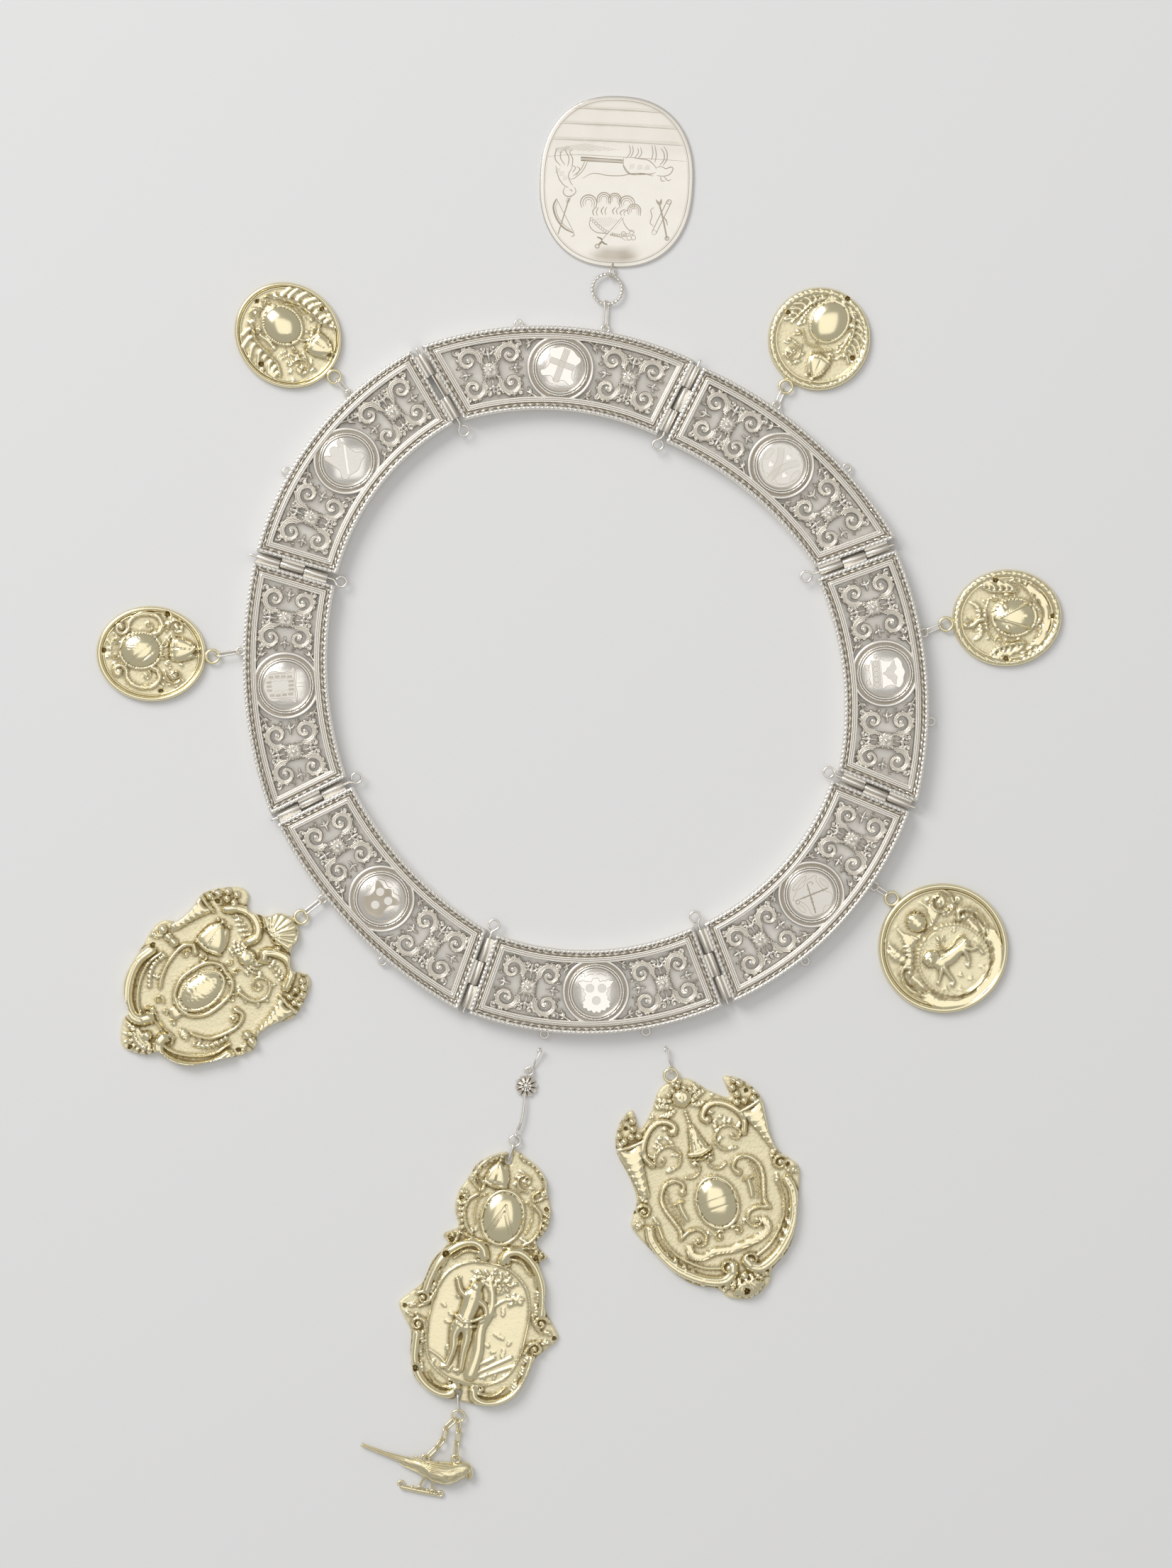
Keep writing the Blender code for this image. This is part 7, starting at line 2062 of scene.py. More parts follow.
def arms_roundels(graver, dark, edge):
    """Three roundels, one over two, on a polished shield."""
    shield = both_sides([(0, 8.2), (2.3, 7.6), (4.6, 6.4), (5.6, 4.6), (4.4, 2.4), (4.5, -0.6),
        (6.2, -2.6), (6.8, -4.2), (4.4, -4.5), (2.2, -4), (0, -5.6)])
    if edge:
        line = evenly(smooth(shield, 0.4, True), 0.42, True)
        away = line - line.mean(0)
        away /= np.linalg.norm(away, axis=1)[:, None]
        step = np.abs(np.sin(np.arange(len(line)) / len(line) * math.pi * 22))[:, None]
        shield = line + away * (0.9 * step - 0.1)
        graver.field(shield, dark, 0, 0.006)
        graver.line(np.vstack([shield, shield[:1]]), 0.2, 0.7, False, True, 1)
    else:
        graver.field(shield, dark, 0, 0.006, True)
        graver.line(shield, 0.26, 0.7, True)
        graver.hatch(smooth(shield, 0.8, True) * 0.9, 90, 0.5, 0.12, 0.9)
    for spot in ((0, 3.6), (-2.6, -1.5), (2.5, -1.7)):
        disc = np.asarray(spot) + np.array([unit(15 * i) for i in range(24)]) * 1.75
        graver.field(disc, 0.1, 1, 0.06)
        graver.circle(spot, 1.75, 0.16)
        graver.circle(spot, 1.2, 0.12, 0.4)
        graver.hatch(np.asarray(spot) + (disc - spot) * 0.6, 30, 0.5, 0.12, 0.45)
    straps(graver)
    if not edge:
        for way in (-1, 1):
            graver.curl((way * 7.3, 0.6), 1.5, 90, way * 1.4)
            graver.line([(way * 0.4, -6.4), (way * 2, -5.6), (way * 4.6, -6.2), (way * 7.2, -4.8)], 0.34,
                0.8)


def arms_rods(graver):
    field = np.array([unit(10 * i) for i in range(36)]) * 9.2
    graver.field(field, 0.16, 1, 0.006)
    graver.dots(field * 0.97, 0.62, 0.13, 0.5)
    lobes = both_sides([(0, 7.4), (2.2, 8.6), (4.8, 7.6), (6, 5.6), (4.9, 2), (5.6, -2.4), (7.2, -4),
        (4.4, -5.2), (2.2, -5.6), (0, -4.8)])
    graver.line(lobes, 0.24, 0.6, True)
    for root, tip in (((-6.6, 3.2), (4.6, -2.2)), ((-2, -4.4), (4.6, 6.6))):
        root, tip = np.array(root), np.array(tip)
        graver.line([root, tip], 0.62, 0.85, taper=0.8)
        for share in (0.18, 0.5, 0.62, 0.85):
            spot = root + (tip - root) * share
            side = left_of((tip - root) / np.linalg.norm(tip - root)) * 0.75
            graver.line([spot - side, spot + side], 0.4, 0.8)
    graver.line([(4.6, -2.2), (6.2, -2.9), (7.1, -2.2), (6.4, -1.3), (5.4, -1.9)], 0.4, 0.8)
    graver.line([(-2, -4.4), (-3.4, -4.2), (-4, -3), (-3, -2.6)], 0.36, 0.8)
    for way in (-1, 1):
        graver.circle((way * 7.2, 0.6), 2.6, 0.2, 0.6, 0.42)
        graver.circle((way * 7.2, 0.6), 1.8, 0.14, 0.5, 0.34)
        graver.line([(0, -6.6), (way * 2.4, -6.2), (way * 4.2, -6.9), (way * 2.4, -7.8), (0, -7.6)], 0.22,
            0.7)


def arms_leaves(graver):
    top = both_sides([(0, 8.4), (2.2, 7.6), (4.4, 7.2), (6.4, 5.4), (5.2, 3), (5.4, 0.2), (6.2, -1.6),
        (3, -1.5), (0, -1.5)])
    graver.field(top, 0, 0, 0.006, True)
    graver.line(top, 0.22, 0.6, True)
    leaves = both_sides([(0, 3.6), (1.8, 4.9), (3.6, 4.4), (5.2, 4.2), (4, 3), (2.8, 2.4), (2, 1),
        (0.9, 0.6), (0, -1)])
    graver.field(leaves, 0.12, 1, 0.012, True)
    graver.line(leaves, 0.2, 0.6, True)
    for way in (-1, 1):
        for i in range(4):
            graver.line([(way * 0.3, 3 - i * 0.9), (way * (3.9 - 0.9 * i), 3.9 - i * 0.9)], 0.14, 0.5)
        graver.line([(way * 6.2, -1.8), (way * 7.6, -0.6), (way * 8.4, 1.4), (way * 7.2, 3.2)], 0.2, 0.5)
        graver.curl((way * 7.4, -3.2), 1.4, 90, -way * 1.2)
        graver.curl((way * 3.4, -7.2), 1.5, 90 + way * 60, way * 1.2)
        graver.line([(0, -6.2), (way * 2, -6.8), (way * 4.6, -6), (way * 6.4, -5.2)], 0.2, 0.5)
    graver.field(box(0, -3.7, 11.6, 3.2), 0.14, 1)
    for level in (-2.1, -5.3):
        graver.line([(-6.4, level), (0, level + 0.1), (6.4, level)], 0.24, 0.65)
    for i in range(5):
        graver.circle((-4.4 + 2.2 * i, -3.7), 1.15, 0.18, 0.6)
        graver.line([(-5.3 + 2.2 * i, -3.4), (-3.5 + 2.2 * i, -3.4)], 0.16, 0.5)


def arms_hearts(graver):
    field = np.array([unit(10 * i) for i in range(36)]) * 9.2
    graver.field(field, 0.1, 1, 0.006)
    for way in (-1, 1):
        branch = smooth([(0, -7.6), (way * 0.5, -3), (way * 2, 1.4), (way * 5, 5.8)], 0.6)
        course = headings(branch, False)
        for spot, ahead in zip(branch[1:], course[1:]):
            for side in (-1, 1):
                tip = spot + left_of(ahead) * side * 1.1 - ahead * 0.7
                graver.line([spot, tip], 0.15, 0.5)
        for side in (-1, 1):
            edge = branch + np.column_stack([-course[:, 1], course[:, 0]]) * side * 1.3
            graver.line(edge, 0.2, 0.55, False, True)
        graver.circle((way * 7.3, 0.2), 2.9, 0.18, 0.5, 0.45)
        graver.circle((way * 7.3, 0.2), 2.1, 0.12, 0.4, 0.35)
        graver.line([(way * 1.4, -6), (way * 3.8, -6.8), (way * 6, -5.2), (way * 7.4, -3.6)], 0.2, 0.55)
        graver.line([(way * 1.2, 7.9), (way * 3.6, 8.2), (way * 5.8, 6.4)], 0.2, 0.55)
    for spot in ((0.1, 4.4), (-3.7, -2.6), (3.7, -2.4)):
        heart = both_sides([(0, 0.55), (0.55, 1), (1.05, 0.6), (0.95, -0.1), (0, -1.3)]) + spot
        graver.field(heart, 0, 0, 0.06, True)
        graver.line(heart, 0.14, 0.55, True)
        graver.line([np.array(spot) + (0, 1.1), np.array(spot) + (0.2, 2)], 0.16, 0.55)
    for i in range(27):
        spot = unit(186 + 6.5 * i) * 8.3
        graver.circle(spot, 0.32, 0.14, 0.5)


ARMS = {
    "top": arms_cross,
    "upper_left": arms_staff,
    "left": arms_wall,
    "lower_left": lambda graver: arms_roundels(graver, 0.72, False),
    "bottom": lambda graver: arms_roundels(graver, 0, True),
    "lower_right": arms_rods,
    "right": arms_leaves,
    "upper_right": arms_hearts,
}
# Radius, height and darkness of a boss from its foot to its face; the darkness is tarnish and painted shade
# in its grooves and at its foot
BOSS_STEPS = (
    (12.1, 6.32, 0.3),
    (12.1, 6.72, 0.3),
    (12, 6.92, 0.1),
    (11.9, 7, 0.5),
    (11.2, 7.02, 0.6),
    (11.08, 7.1, 0.5),
    (11.04, 7.42, 0.1),
    (10.9, 7.66, 0),
    (10.65, 7.78, 0),
    (10.4, 7.68, 0),
    (10.22, 7.42, 0.1),
    (10.16, 7.14, 0.6),
    (10.04, 7.1, 0.75),
    (9.92, 7.22, 0.3),
    (9.8, 7.3, 0),
)


BOSS_ROPE = 11.52


def turned(part, centre, steps, around=72):
    """A turned form with flat ends."""
    circle = np.array([unit(360 * j / around) for j in range(around)])
    rows = [np.column_stack([centre + circle * radius, np.full(around, height)]) for radius, height,
        tarnish_and_shade in steps]
    # each ring carries its darkness: tarnish and painted shade
    part.add(*rings(rows, False), np.repeat([tarnish_and_shade for radius, height, tarnish_and_shade in steps], around))


def build_boss(plate):
    part = Part()
    centre, out = plate.at(0, 0), plate.at(0, 1)
    bearing = math.degrees(math.atan2(*(out - centre)[::-1]))
    turned(part, centre, BOSS_STEPS)
    rope = ring_path(np.append(centre, 7.16), BOSS_ROPE, points=230)
    points, faces = tube(rope, 0.44, 6, True, 2.6, 3)
    # the rope darkens towards its foot and on its flanks off the crest: painted shade, with tarnish
    away = np.hypot(*(points[:, :2] - centre).T)
    deep = np.clip((7.45 - points[:, 2]) * 2.2, 0, 0.8)
    part.add(points, faces, np.maximum(deep, (np.abs(away - BOSS_ROPE) > 0.3) * 0.5))
    graver = Graver(part, centre, bearing, 7.3)
    graver.circle((0, 0), 9.35, 0.2, 0.6)
    ARMS[plate.name](graver)
    return part


for plate in plates.values():
    made = build_boss(plate)
    made.make(plate.name + "_boss_engraved", plate.name + "_boss", silver, "silver")
    print(plate.name, "boss:", len(made.faces), "faces")

# %% [markdown]
# ## Nape plate
#
# The plate at the nape is the gift of one member: thin polished silver, cut to a rounded oval and
# engraved with a butcher's bench and a few beasts, a crest of plumes with a sword, a bow and a quiver,
# under three hatched bands. It is flat, so all of it is line work, and its sheet is coloured a little
# darker at the foot and over its upper part.

# %% Nape plate
NAPE = np.array([15.84, 260.28])
NAPE_BEARING = 87.3
NAPE_HALF = np.array([32.5, 36.25])
NAPE_TOP = 1.4


def nape_outline(inset):
    """A rounded oval, a little squarer than an ellipse."""
    turns = np.linspace(0, 2 * math.pi, 401)[:-1]
    circle = np.column_stack([np.cos(turns), np.sin(turns)])
    shape = np.sign(circle) * np.abs(circle) ** (2 / 2.35)
    return evenly(shape * NAPE_HALF, 1.3, True) * (1 - inset / NAPE_HALF)


def engrave_nape(graver):
    for inset, width, dark in ((1.9, 0.26, 0.55), (2.5, 0.12, 0.35)):
        rim = nape_outline(inset)
        graver.line(np.vstack([rim, rim[:1]]), width, dark, False, True, 1)
    for low, high, left, right in ((16.6, 18.2, -28.2, 27.4), (23.4, 25, -25.4, 25.2), (30, 31.6, -19.6,
            18.8)):
        band = [(left, low), (right, low), (right - 2.4, high), (left + 2.4, high)]
        graver.hatch(band, 58, 0.55, 0.12, 0.4)
        graver.hatch([(left, low + 1), (left + 12, low - 0.6), (right, low)], 4, 0.35, 0.1, 0.35)
        graver.line([(left, low), (0, low + 0.3), (right, low - 0.2)], 0.26, 0.5)
    graver.hatch([(-28, 12.6), (-14, 15.6), (2, 13.4), (-12, 12.2)], 12, 0.55, 0.14, 0.4)
    graver.hatch([(-27, 12), (-21, 14.6), (-19, 12.4), (-25, 10.6)], 48, 0.5, 0.12, 0.4)
    graver.line([(-29.8, 9.2), (-20, 10.4), (-11, 10.6), (6, 10.4), (18, 10.2), (29, 9.9)], 0.2, 0.5)
    # Bench
    top = [(-15.4, 9.6), (2.2, 9.2), (2.2, 8), (-15.4, 8.2)]
    graver.field(top, 0.2, 0.7)
    graver.line(top + top[:1], 0.34, 0.7, False, True, 0.9)
    graver.hatch(top, 0, 0.36, 0.14, 0.55)
    for line in ([(-12.6, 8), (-14.6, 3.8), (-18.2, 0.4), (-20.4, 0.2)], [(-13.8, 8), (-15.4, 4.4),
            (-18.6, 1.4)], [(2.4, 7.4), (4.4, 4.6), (7, 3.2), (11, 3.8), (15.2, 3)], [(-14.6, 0.6),
            (-10, 3), (-4, 2.4), (2, 2.6), (6, 3.6), (11, 4), (15.6, 3.4)]):
        graver.line(line, 0.26, 0.6)
    engrave_beasts(graver)
    # Crest of plumes with a sword and a skirt
    for at, radius in (((-11.4, -9.6), 3.4), ((-5, -7.8), 2.9), ((-0.4, -7.6), 2.6), ((4.8, -9.2), 3.3),
            ((8, -12), 2.8)):
        for share in (1, 0.72, 0.44):
            arc = [np.array(at) + unit(turn) * radius * share for turn in range(-20, 221, 20)]
            arc[0] = arc[0] - (0, 1.2)
            graver.line(arc, 0.3 * share + 0.06, 0.6)
    for foot, head in (((-8.8, -15), (-8.4, -11.2)), ((-5.2, -14.4), (-4.8, -10.8)), ((-0.4, -14),
            (0.2, -10.8)), ((2.8, -14.4), (4.2, -11.4))):
        knee = (foot[1] + head[1]) / 2
        graver.line([foot, (foot[0] - 0.7, knee), head], 0.34, 0.6)
        graver.line([(foot[0] + 1.4, foot[1]), (foot[0] + 0.9, knee), (head[0] + 1.3, head[1])], 0.28, 0.6)
    for i in range(17):
        share = i / 16
        spot = np.array([-9.8, -16.4]) * (1 - share) + np.array([5.6, -22.4]) * share + (0,
            -2.6 * math.sin(math.pi * share))
        graver.circle(spot, 0.62, 0.2, 0.5)
    graver.line([(-10.4, -15.6), (-10.4, -19.4), (-7.6, -21.8), (-3, -22.2), (1.4, -23), (5.2, -24.8)],
        0.26, 0.6)
    graver.line([(3.2, -15.4), (4.2, -18), (6.2, -20.2), (8.6, -21.2)], 0.26, 0.6)
    for spot in ((4, -22), (6.4, -23.6), (8.2, -23.4), (7.4, -21.2)):
        graver.circle(spot, 0.95, 0.22, 0.55)
    graver.hatch([(-8.6, -15.6), (-2, -15), (2.6, -16.2), (-3, -19.6), (-8, -19.2)], 70, 0.7, 0.12, 0.4)
    graver.field(np.array([(3.6, -15.2), (3, -15.8), (-5, -25.2), (-4.2, -25.8)]), 0.1, 0.3, 0.05)
    graver.line([(3.6, -15.2), (-4.4, -25.6)], 0.24, 0.7, taper=0.9)
    graver.line([(2.9, -15), (-5.1, -25.1)], 0.18, 0.6, taper=0.9)
    graver.line([(-7.2, -23.8), (-5.2, -24.6), (-4.4, -26.2), (-2.6, -26.8)], 0.55, 0.7)
    graver.line([(-4.8, -25.4), (-6.4, -27.2)], 0.7, 0.65, taper=0.8)
    graver.circle((-6.9, -27.7), 0.8, 0.34, 0.6)
    # Bow and arrow
    graver.line([(-25, -8.4), (-26.2, -12), (-24.6, -16.8), (-21.4, -20.6), (-17.2, -22.6)], 0.62, 0.6,
        taper=0.5)
    graver.line([(-24.6, -9.4), (-25.2, -12.4), (-23.8, -16.4), (-20.8, -19.8), (-17.8, -21.6)], 0.2, 0.6)
    graver.line([(-25, -8.6), (-17, -22.4)], 0.2, 0.55, taper=0.9)
    graver.line([(-17.2, -22.6), (-16.8, -23.6), (-18.2, -24.2)], 0.3, 0.6)
    graver.line([(-19.7, -8), (-23.7, -23.4)], 0.42, 0.55, taper=0.9)
    for share in (0.02, 0.07, 0.12):
        spot = np.array([-19.7, -8]) * (1 - share) + np.array([-23.7, -23.4]) * share
        graver.line([spot + (-1, 0.5), spot, spot + (0.9, 1)], 0.24, 0.6)
    # Quiver and arrow
    tube_line = [(21.8, -7), (23.4, -8), (17.6, -21.4), (16, -20.4)]
    graver.field(tube_line, 0.06, 0.5)
    graver.line(tube_line + tube_line[:1], 0.28, 0.6, False, True, 1)
    graver.circle((22.6, -7.6), 0.95, 0.26, 0.6)
    graver.circle((16.8, -20.8), 0.95, 0.2, 0.5)
    graver.line([(18.6, -9), (20.4, -15), (22.4, -23.2)], 0.55, 0.6, taper=0.8)
    for share in (0, 0.06, 0.12, 0.18):
        spot = np.array([18.4, -8]) * (1 - share) + np.array([20.4, -15]) * share
        graver.line([spot + (-1.5, 1.3), spot, spot + (0.9, 1.7)], 0.3, 0.6)
    graver.line([(16.4, -10.2), (15, -11.4), (15.6, -14), (15, -16.8), (16.8, -18.4)], 0.3, 0.55)
    graver.line([(19.6, -13.6), (21.6, -15.2), (22.4, -17.6)], 0.4, 0.6)
    graver.circle((22.4, -23), 0.8, 0.3, 0.6)


def engrave_beasts(graver):
    """An ox on its back over the end of the bench, and a dog that leaps up to it, in a few strokes."""
    for line in ([(2.6, 10.6), (2.6, 6.6), (5, 3.6), (9, 3.4), (13.6, 3.8), (16.4, 4.6)], [(6, 10.4),
            (10, 10), (13, 9.6), (15.6, 7.6), (16.6, 6)], [(16.4, 6.6), (18.6, 7.2), (20.6, 6.4),
            (22.4, 7.2), (23.6, 6.6), (22.4, 4.2), (19.8, 3.2), (16.8, 3.4)], [(19.8, 3.2), (21.6, 1.4),
            (23, 2)], [(18.4, 3), (19, 1.2), (20.6, 1.2)], [(3.4, 9.8), (5.2, 12.6), (4.6, 15.8)],
            [(5.2, 10.2), (6.4, 12.8), (6, 15.6)], [(7, 10.2), (8.6, 12.6), (8.2, 14.8)], [(8.6, 10.2),
            (10, 12.4), (9.4, 15)], [(14.2, 9.6), (14.8, 12.6), (14.2, 16.2)], [(15.8, 8.8), (16.2, 12.2),
            (15.4, 16.2)], [(17.8, 7.6), (19.6, 10.2), (19.4, 13), (18, 15)], [(19.2, 7.6), (20.8, 10.4),
            (20.6, 13.6), (19.2, 15.8)], [(-24, 5.6), (-26.4, 8.4), (-26, 12.4), (-24, 13.2)], [(-22.2, 6),
            (-24.2, 9), (-23.8, 12), (-22.4, 12.4)], [(-21, 5.4), (-20.6, 9), (-22.4, 12.6),
            (-20.6, 13.4)], [(-19.2, 5), (-19, 8.6), (-20.4, 11.6), (-19.2, 12.4)], [(-26, 5.6),
            (-24.6, 0.6), (-22.4, -2.4), (-20.2, -3.6)], [(-19, 5.2), (-20.4, 2), (-19.8, -0.6),
            (-18.4, -2.6)], [(-21.6, -3.2), (-22.4, -5.6), (-20.8, -7.2), (-18.8, -7), (-17, -5.2),
            (-17.8, -3)], [(-17.4, 1.6), (-15.8, 4.4), (-17.2, 5.6)], [(-19, 2.8), (-17.6, 5), (-19.2, 6)],
            [(-19.8, -4.6), (-18.8, -4.4), (-18.6, -5.4)]):
        graver.line(line, 0.3, 0.6)
    for spot in ((-25.2, 3.4), (-23.4, 2.2), (-21.8, 0.4), (6, 6.6), (9.4, 6.4), (12.6, 6.4)):
        graver.hatch([(spot[0] - 1.2, spot[1] - 1.2), (spot[0] + 1.4, spot[1] - 0.8), (spot[0] + 1.2,
            spot[1] + 1.4), (spot[0] - 1, spot[1] + 1)], 35, 0.5, 0.12, 0.4)


def build_nape():
    part = Part()
    graver = Graver(part, NAPE, NAPE_BEARING, NAPE_TOP, 1.35)
    edge = [(0.35, 0), (0, 0.3), (0, 0.95), (0.2, 1.28)]
    face = [(inset, NAPE_TOP) for inset in (0.55, 2, 4, 6.5, 9.5, 13, 17, 21, 25, 29)]
    rows, nape_darkening = [], []
    for inset, height in edge + face:
        outline = nape_outline(inset)
        rows.append(graver.place(outline, height - NAPE_TOP))
        u, v = outline.T
        # the sheet is darker at its foot and a little darker over its upper part
        foot = 0.5 * np.exp(-((u / 9) ** 2 + ((v + 31.5) / 3.2) ** 2) ** 2)
        foot += 0.22 * np.exp(-(((u - 7) / 4) ** 2 + ((v + 30.5) / 3) ** 2))
        bands = 0.07 * np.clip((v - 11) / 3, 0, 1)
        nape_darkening.append(np.where(height < 1.3, 0.15, 0.15 + foot + bands))
    part.add(*rings(rows, False), np.concatenate(nape_darkening), 0.12)
    engrave_nape(graver)
    twist = eyelet_at(plates["top"], plates["top"].eyelets[0]) + np.append(unit(87), 0) * 16.9
    near = twist + np.append(unit(73.5), 0) * 7
    near[2] = 2.405
    part.add(*tube(ring_path(near, 2.2, 73.5, 60, 36), 0.5, 10, True), 0.1)
    away = np.append(unit(NAPE_BEARING), 0)
    start, deep = near + away * 2.2, near + away * 4.7
    deep[2] = 0.75
    part.add(*tube(np.array([start, (start + deep) / 2 - (0, 0, 0.1), deep]), (0.5, 0.6, 0.6), 10), 0.2)
    return part, twist


made, twist_centre = build_nape()
made.make("nape_plate_engraved", "nape_plate", silver, "silver")
print("nape plate:", len(made.faces), "faces")

# %% [markdown]
# ## Links, hooks and rings
#
# All of these are drawn wire, bent round a mandrel: oval links that stand on edge, two open hooks whose
# medals have come off their eyelets, and a ring of two wires twisted together. Every wire rounds its
# neighbour with a little air between them.

# %% Wires
def level_way(bearing):
    return np.append(unit(bearing), 0.0)


def upright(bearing, tilt):
    """Across a link: level at tilt 0 and upright at tilt 90."""
    return np.append(left_of(unit(bearing)) * math.cos(math.radians(tilt)), math.sin(math.radians(tilt)))


def link_line(start, end, tilt=62.0, half=1.75):
    """Middle line of an oval link between its two extreme points."""
    along = (end - start) / np.linalg.norm(end - start)
    side = upright(math.degrees(math.atan2(along[1], along[0])), tilt)
    line = []
    for centre, sign in ((end - along * half, 1), (start + along * half, -1)):
        for turn in np.radians(np.arange(-90, 91, 15)):
            line.append(centre + sign * (along * math.cos(turn) + side * math.sin(turn)) * half)
    return evenly(np.array(line), 0.45, True)


def wire_piece(name, node, line, radius, metal_used, slot, closed=False, twist=0.0):
    part = Part()
    points, faces = tube(line, radius, 10, closed, twist)
    part.add(points, faces, 0.06 if not twist else 0.25)
    part.make(name, node, metal_used, slot)
    return part


LINK_WIRE = 0.45
AIR = 0.35


def join_rings(first, first_size, second, second_size):
    """The extreme points of a link that joins two rings; a size is a radius and a wire."""
    way = (second - first) / np.linalg.norm(second - first)
    start = first + way * (first_size[0] - first_size[1] - LINK_WIRE - AIR)
    end = second - way * (second_size[0] - second_size[1] - LINK_WIRE - AIR)
    return start, end


# Plate, bearing from its eyelet to the medal's ring, and how far
MEDAL_LINKS = (
    ("upper_left", 128.0, 9.384),
    ("left", 189.0, 11.914),
    ("upper_right", 66.0, 8.878),
    ("right", 23.0, 9.982),
    ("lower_right", 327.0, 8.878),
    ("lower_left", 218.3, 11.8),
)
for name, bearing, way in MEDAL_LINKS:
    eyelet = eyelet_at(plates[name], plates[name].eyelets[0])
    ends = join_rings(eyelet, EYELET, eyelet + level_way(bearing) * way, BAIL)
    wire_piece(name + "_link_wire", name + "_link", link_line(*ends), LINK_WIRE, silver, "silver", True)

eyelet = eyelet_at(plates["top"], plates["top"].eyelets[0])
TWISTED = (6.3, 0.65)
ends = join_rings(eyelet, EYELET, twist_centre, TWISTED)
wire_piece("nape_link_wire", "nape_link", link_line(*ends), LINK_WIRE, silver, "silver", True)
rope_ring = ring_path(twist_centre, TWISTED[0], points=150)
wire_piece("twisted_ring_rope", "twisted_ring", rope_ring, 0.72, silver, "silver", True, 3.4)


def hook_line(ring, ring_radius, bearing, reach):
    """An open hook: an eye round a ring's wire, a shank that sags and a turned-up end."""
    along, up = level_way(bearing), upright(bearing, 62.0)
    eye = ring + along * ring_radius
    length = reach - ring_radius
    line = []
    for turn in np.radians(np.arange(70, 311, 20)):
        line.append(eye + (along * math.cos(turn) + up * math.sin(turn)) * 1.75)
    line.append(eye + along * length * 0.4 - up * 0.45)
    bend = eye + along * (length - 1.3) + up * 0.85
    for turn in np.radians(np.arange(-90, 136, 22.5)):
        line.append(bend + (along * math.cos(turn) + up * math.sin(turn)) * 1.3)
    return smooth(line, 0.45)


def taper_ends(line, radius):
    """Radii of a wire with filed ends."""
    t = np.linspace(0.0, 1.0, len(line))
    return radius * np.clip(0.45 + 0.55 * np.minimum(t, 1 - t) / 0.06, 0.45, 1.0)


bottom = plates["bottom"]
right_tip = eyelet_at(bottom, bottom.eyelets[1]) + level_way(-36.2) * 11.0
line = hook_line(right_tip + level_way(278.1) * 12.1, 2.75, 98.1, 12.1)
wire_piece("right_hook_wire", "right_hook", line, taper_ends(line, 0.45), silver, "silver")
left_tip = eyelet_at(bottom, bottom.eyelets[0]) + level_way(260.2) * 6.5
flower_ring = left_tip + level_way(240.0) * 10.75
line = hook_line(flower_ring, 1.65, 60.0, 10.75)
wire_piece("left_hook_wire", "left_hook", line, taper_ends(line, 0.45), silver, "silver")
print("flower's ring at", flower_ring.round(2))

# %% [markdown]
# ## Flower
#
# A small cast flower with ten dished petals hangs from the left hook. The shank below it is thickest in
# the middle, and its end is wound with thin wire before it turns into an eye.

# %% Flower
SHANK = 258.5


def build_flower():
    part = Part()
    down = level_way(SHANK)
    centre = flower_ring[:2] + down[:2] * 6.45
    around, tiers = 200, 14
    turns = np.arange(around) / around * 360 + SHANK
    petal = np.abs(np.cos(np.radians((turns - SHANK) * 5)))
    rows = []
    for share in np.linspace(0.05, 1, tiers):
        reach = 4.8 * share * (0.8 + 0.2 * petal ** 0.7)
        dish = 0.55 + 1.9 * math.sin(math.pi * (0.16 + 0.72 * share)) - 0.5 * share
        height = 0.7 + dish * (0.3 + 0.7 * petal ** 0.6) - 0.5 * np.exp(-((petal - 1) / 0.12) ** 2) * share
        rows.append(np.column_stack([centre + np.array([unit(t) for t in turns]) * reach[:, None], height]))
    rim = rows[-1].copy()
    rim[:, 2] -= 0.35
    under = np.column_stack([centre + (rim[:, :2] - centre) * 0.9, np.full(around, 0.35)])
    points, faces = rings(rows + [rim, under], False)
    # darker between the petals: tarnish and painted shade in the creases
    lows = np.tile(1 - petal, len(rows) + 2)
    part.add(points, faces, np.clip(lows ** 1.4 * 0.6, 0, 0.5))
    part.add(*bead(centre + unit(30) * 0.2, 1.25, 2, 1.3, 16, 6))
    for i in range(10):
        part.add(*bead(centre + unit(SHANK + 18 + 36 * i) * 1.9, 0.42, 1.6, 0.75, 8, 4))
    part.add(*tube(ring_path(flower_ring, 1.65, points=32), 0.45, 10, True), 0.1)
    jump = np.append(centre, 2.2) + down * 23.6
    eye = jump - down * 2.25
    part.add(*tube(ring_path(eye, 1.35, SHANK, 90), 0.42, 10, True), 0.1)
    across = np.append(left_of(unit(SHANK)), 0)
    start, stop = np.append(centre, 2.2) + down * 3.3, eye - down * 1.35
    bends = [start + (stop - start) * share + across * 0.9 for share in (0.4, 0.75)]
    line = smooth([start, *bends, stop], 0.5)
    t = np.linspace(0, 1, len(line))
    part.add(*tube(line, 0.42 + 0.24 * np.sin(math.pi * t) ** 1.5, 12), 0.04)
    wound = evenly(line[int(len(line) * 0.72):int(len(line) * 0.97)], 0.07)
    turns = np.linspace(0, 2 * math.pi * 7, len(wound))
    coil = wound + np.outer(np.cos(turns), across) * 0.56 + np.outer(np.sin(turns), (0, 0, 1)) * 0.56
    part.add(*tube(coil, 0.17, 5), 0.3)
    part.make("flower_and_shank", "flower_hanger", silver, "silver")
    return part, jump


flower_part, jump = build_flower()
wire_piece("jump_ring_wire", "jump_ring", ring_path(jump, 2.25, points=36), 0.45, silver, "silver", True)
upper_hole = jump + level_way(250.2) * 8.7
print("flower:", len(flower_part.faces), "faces")

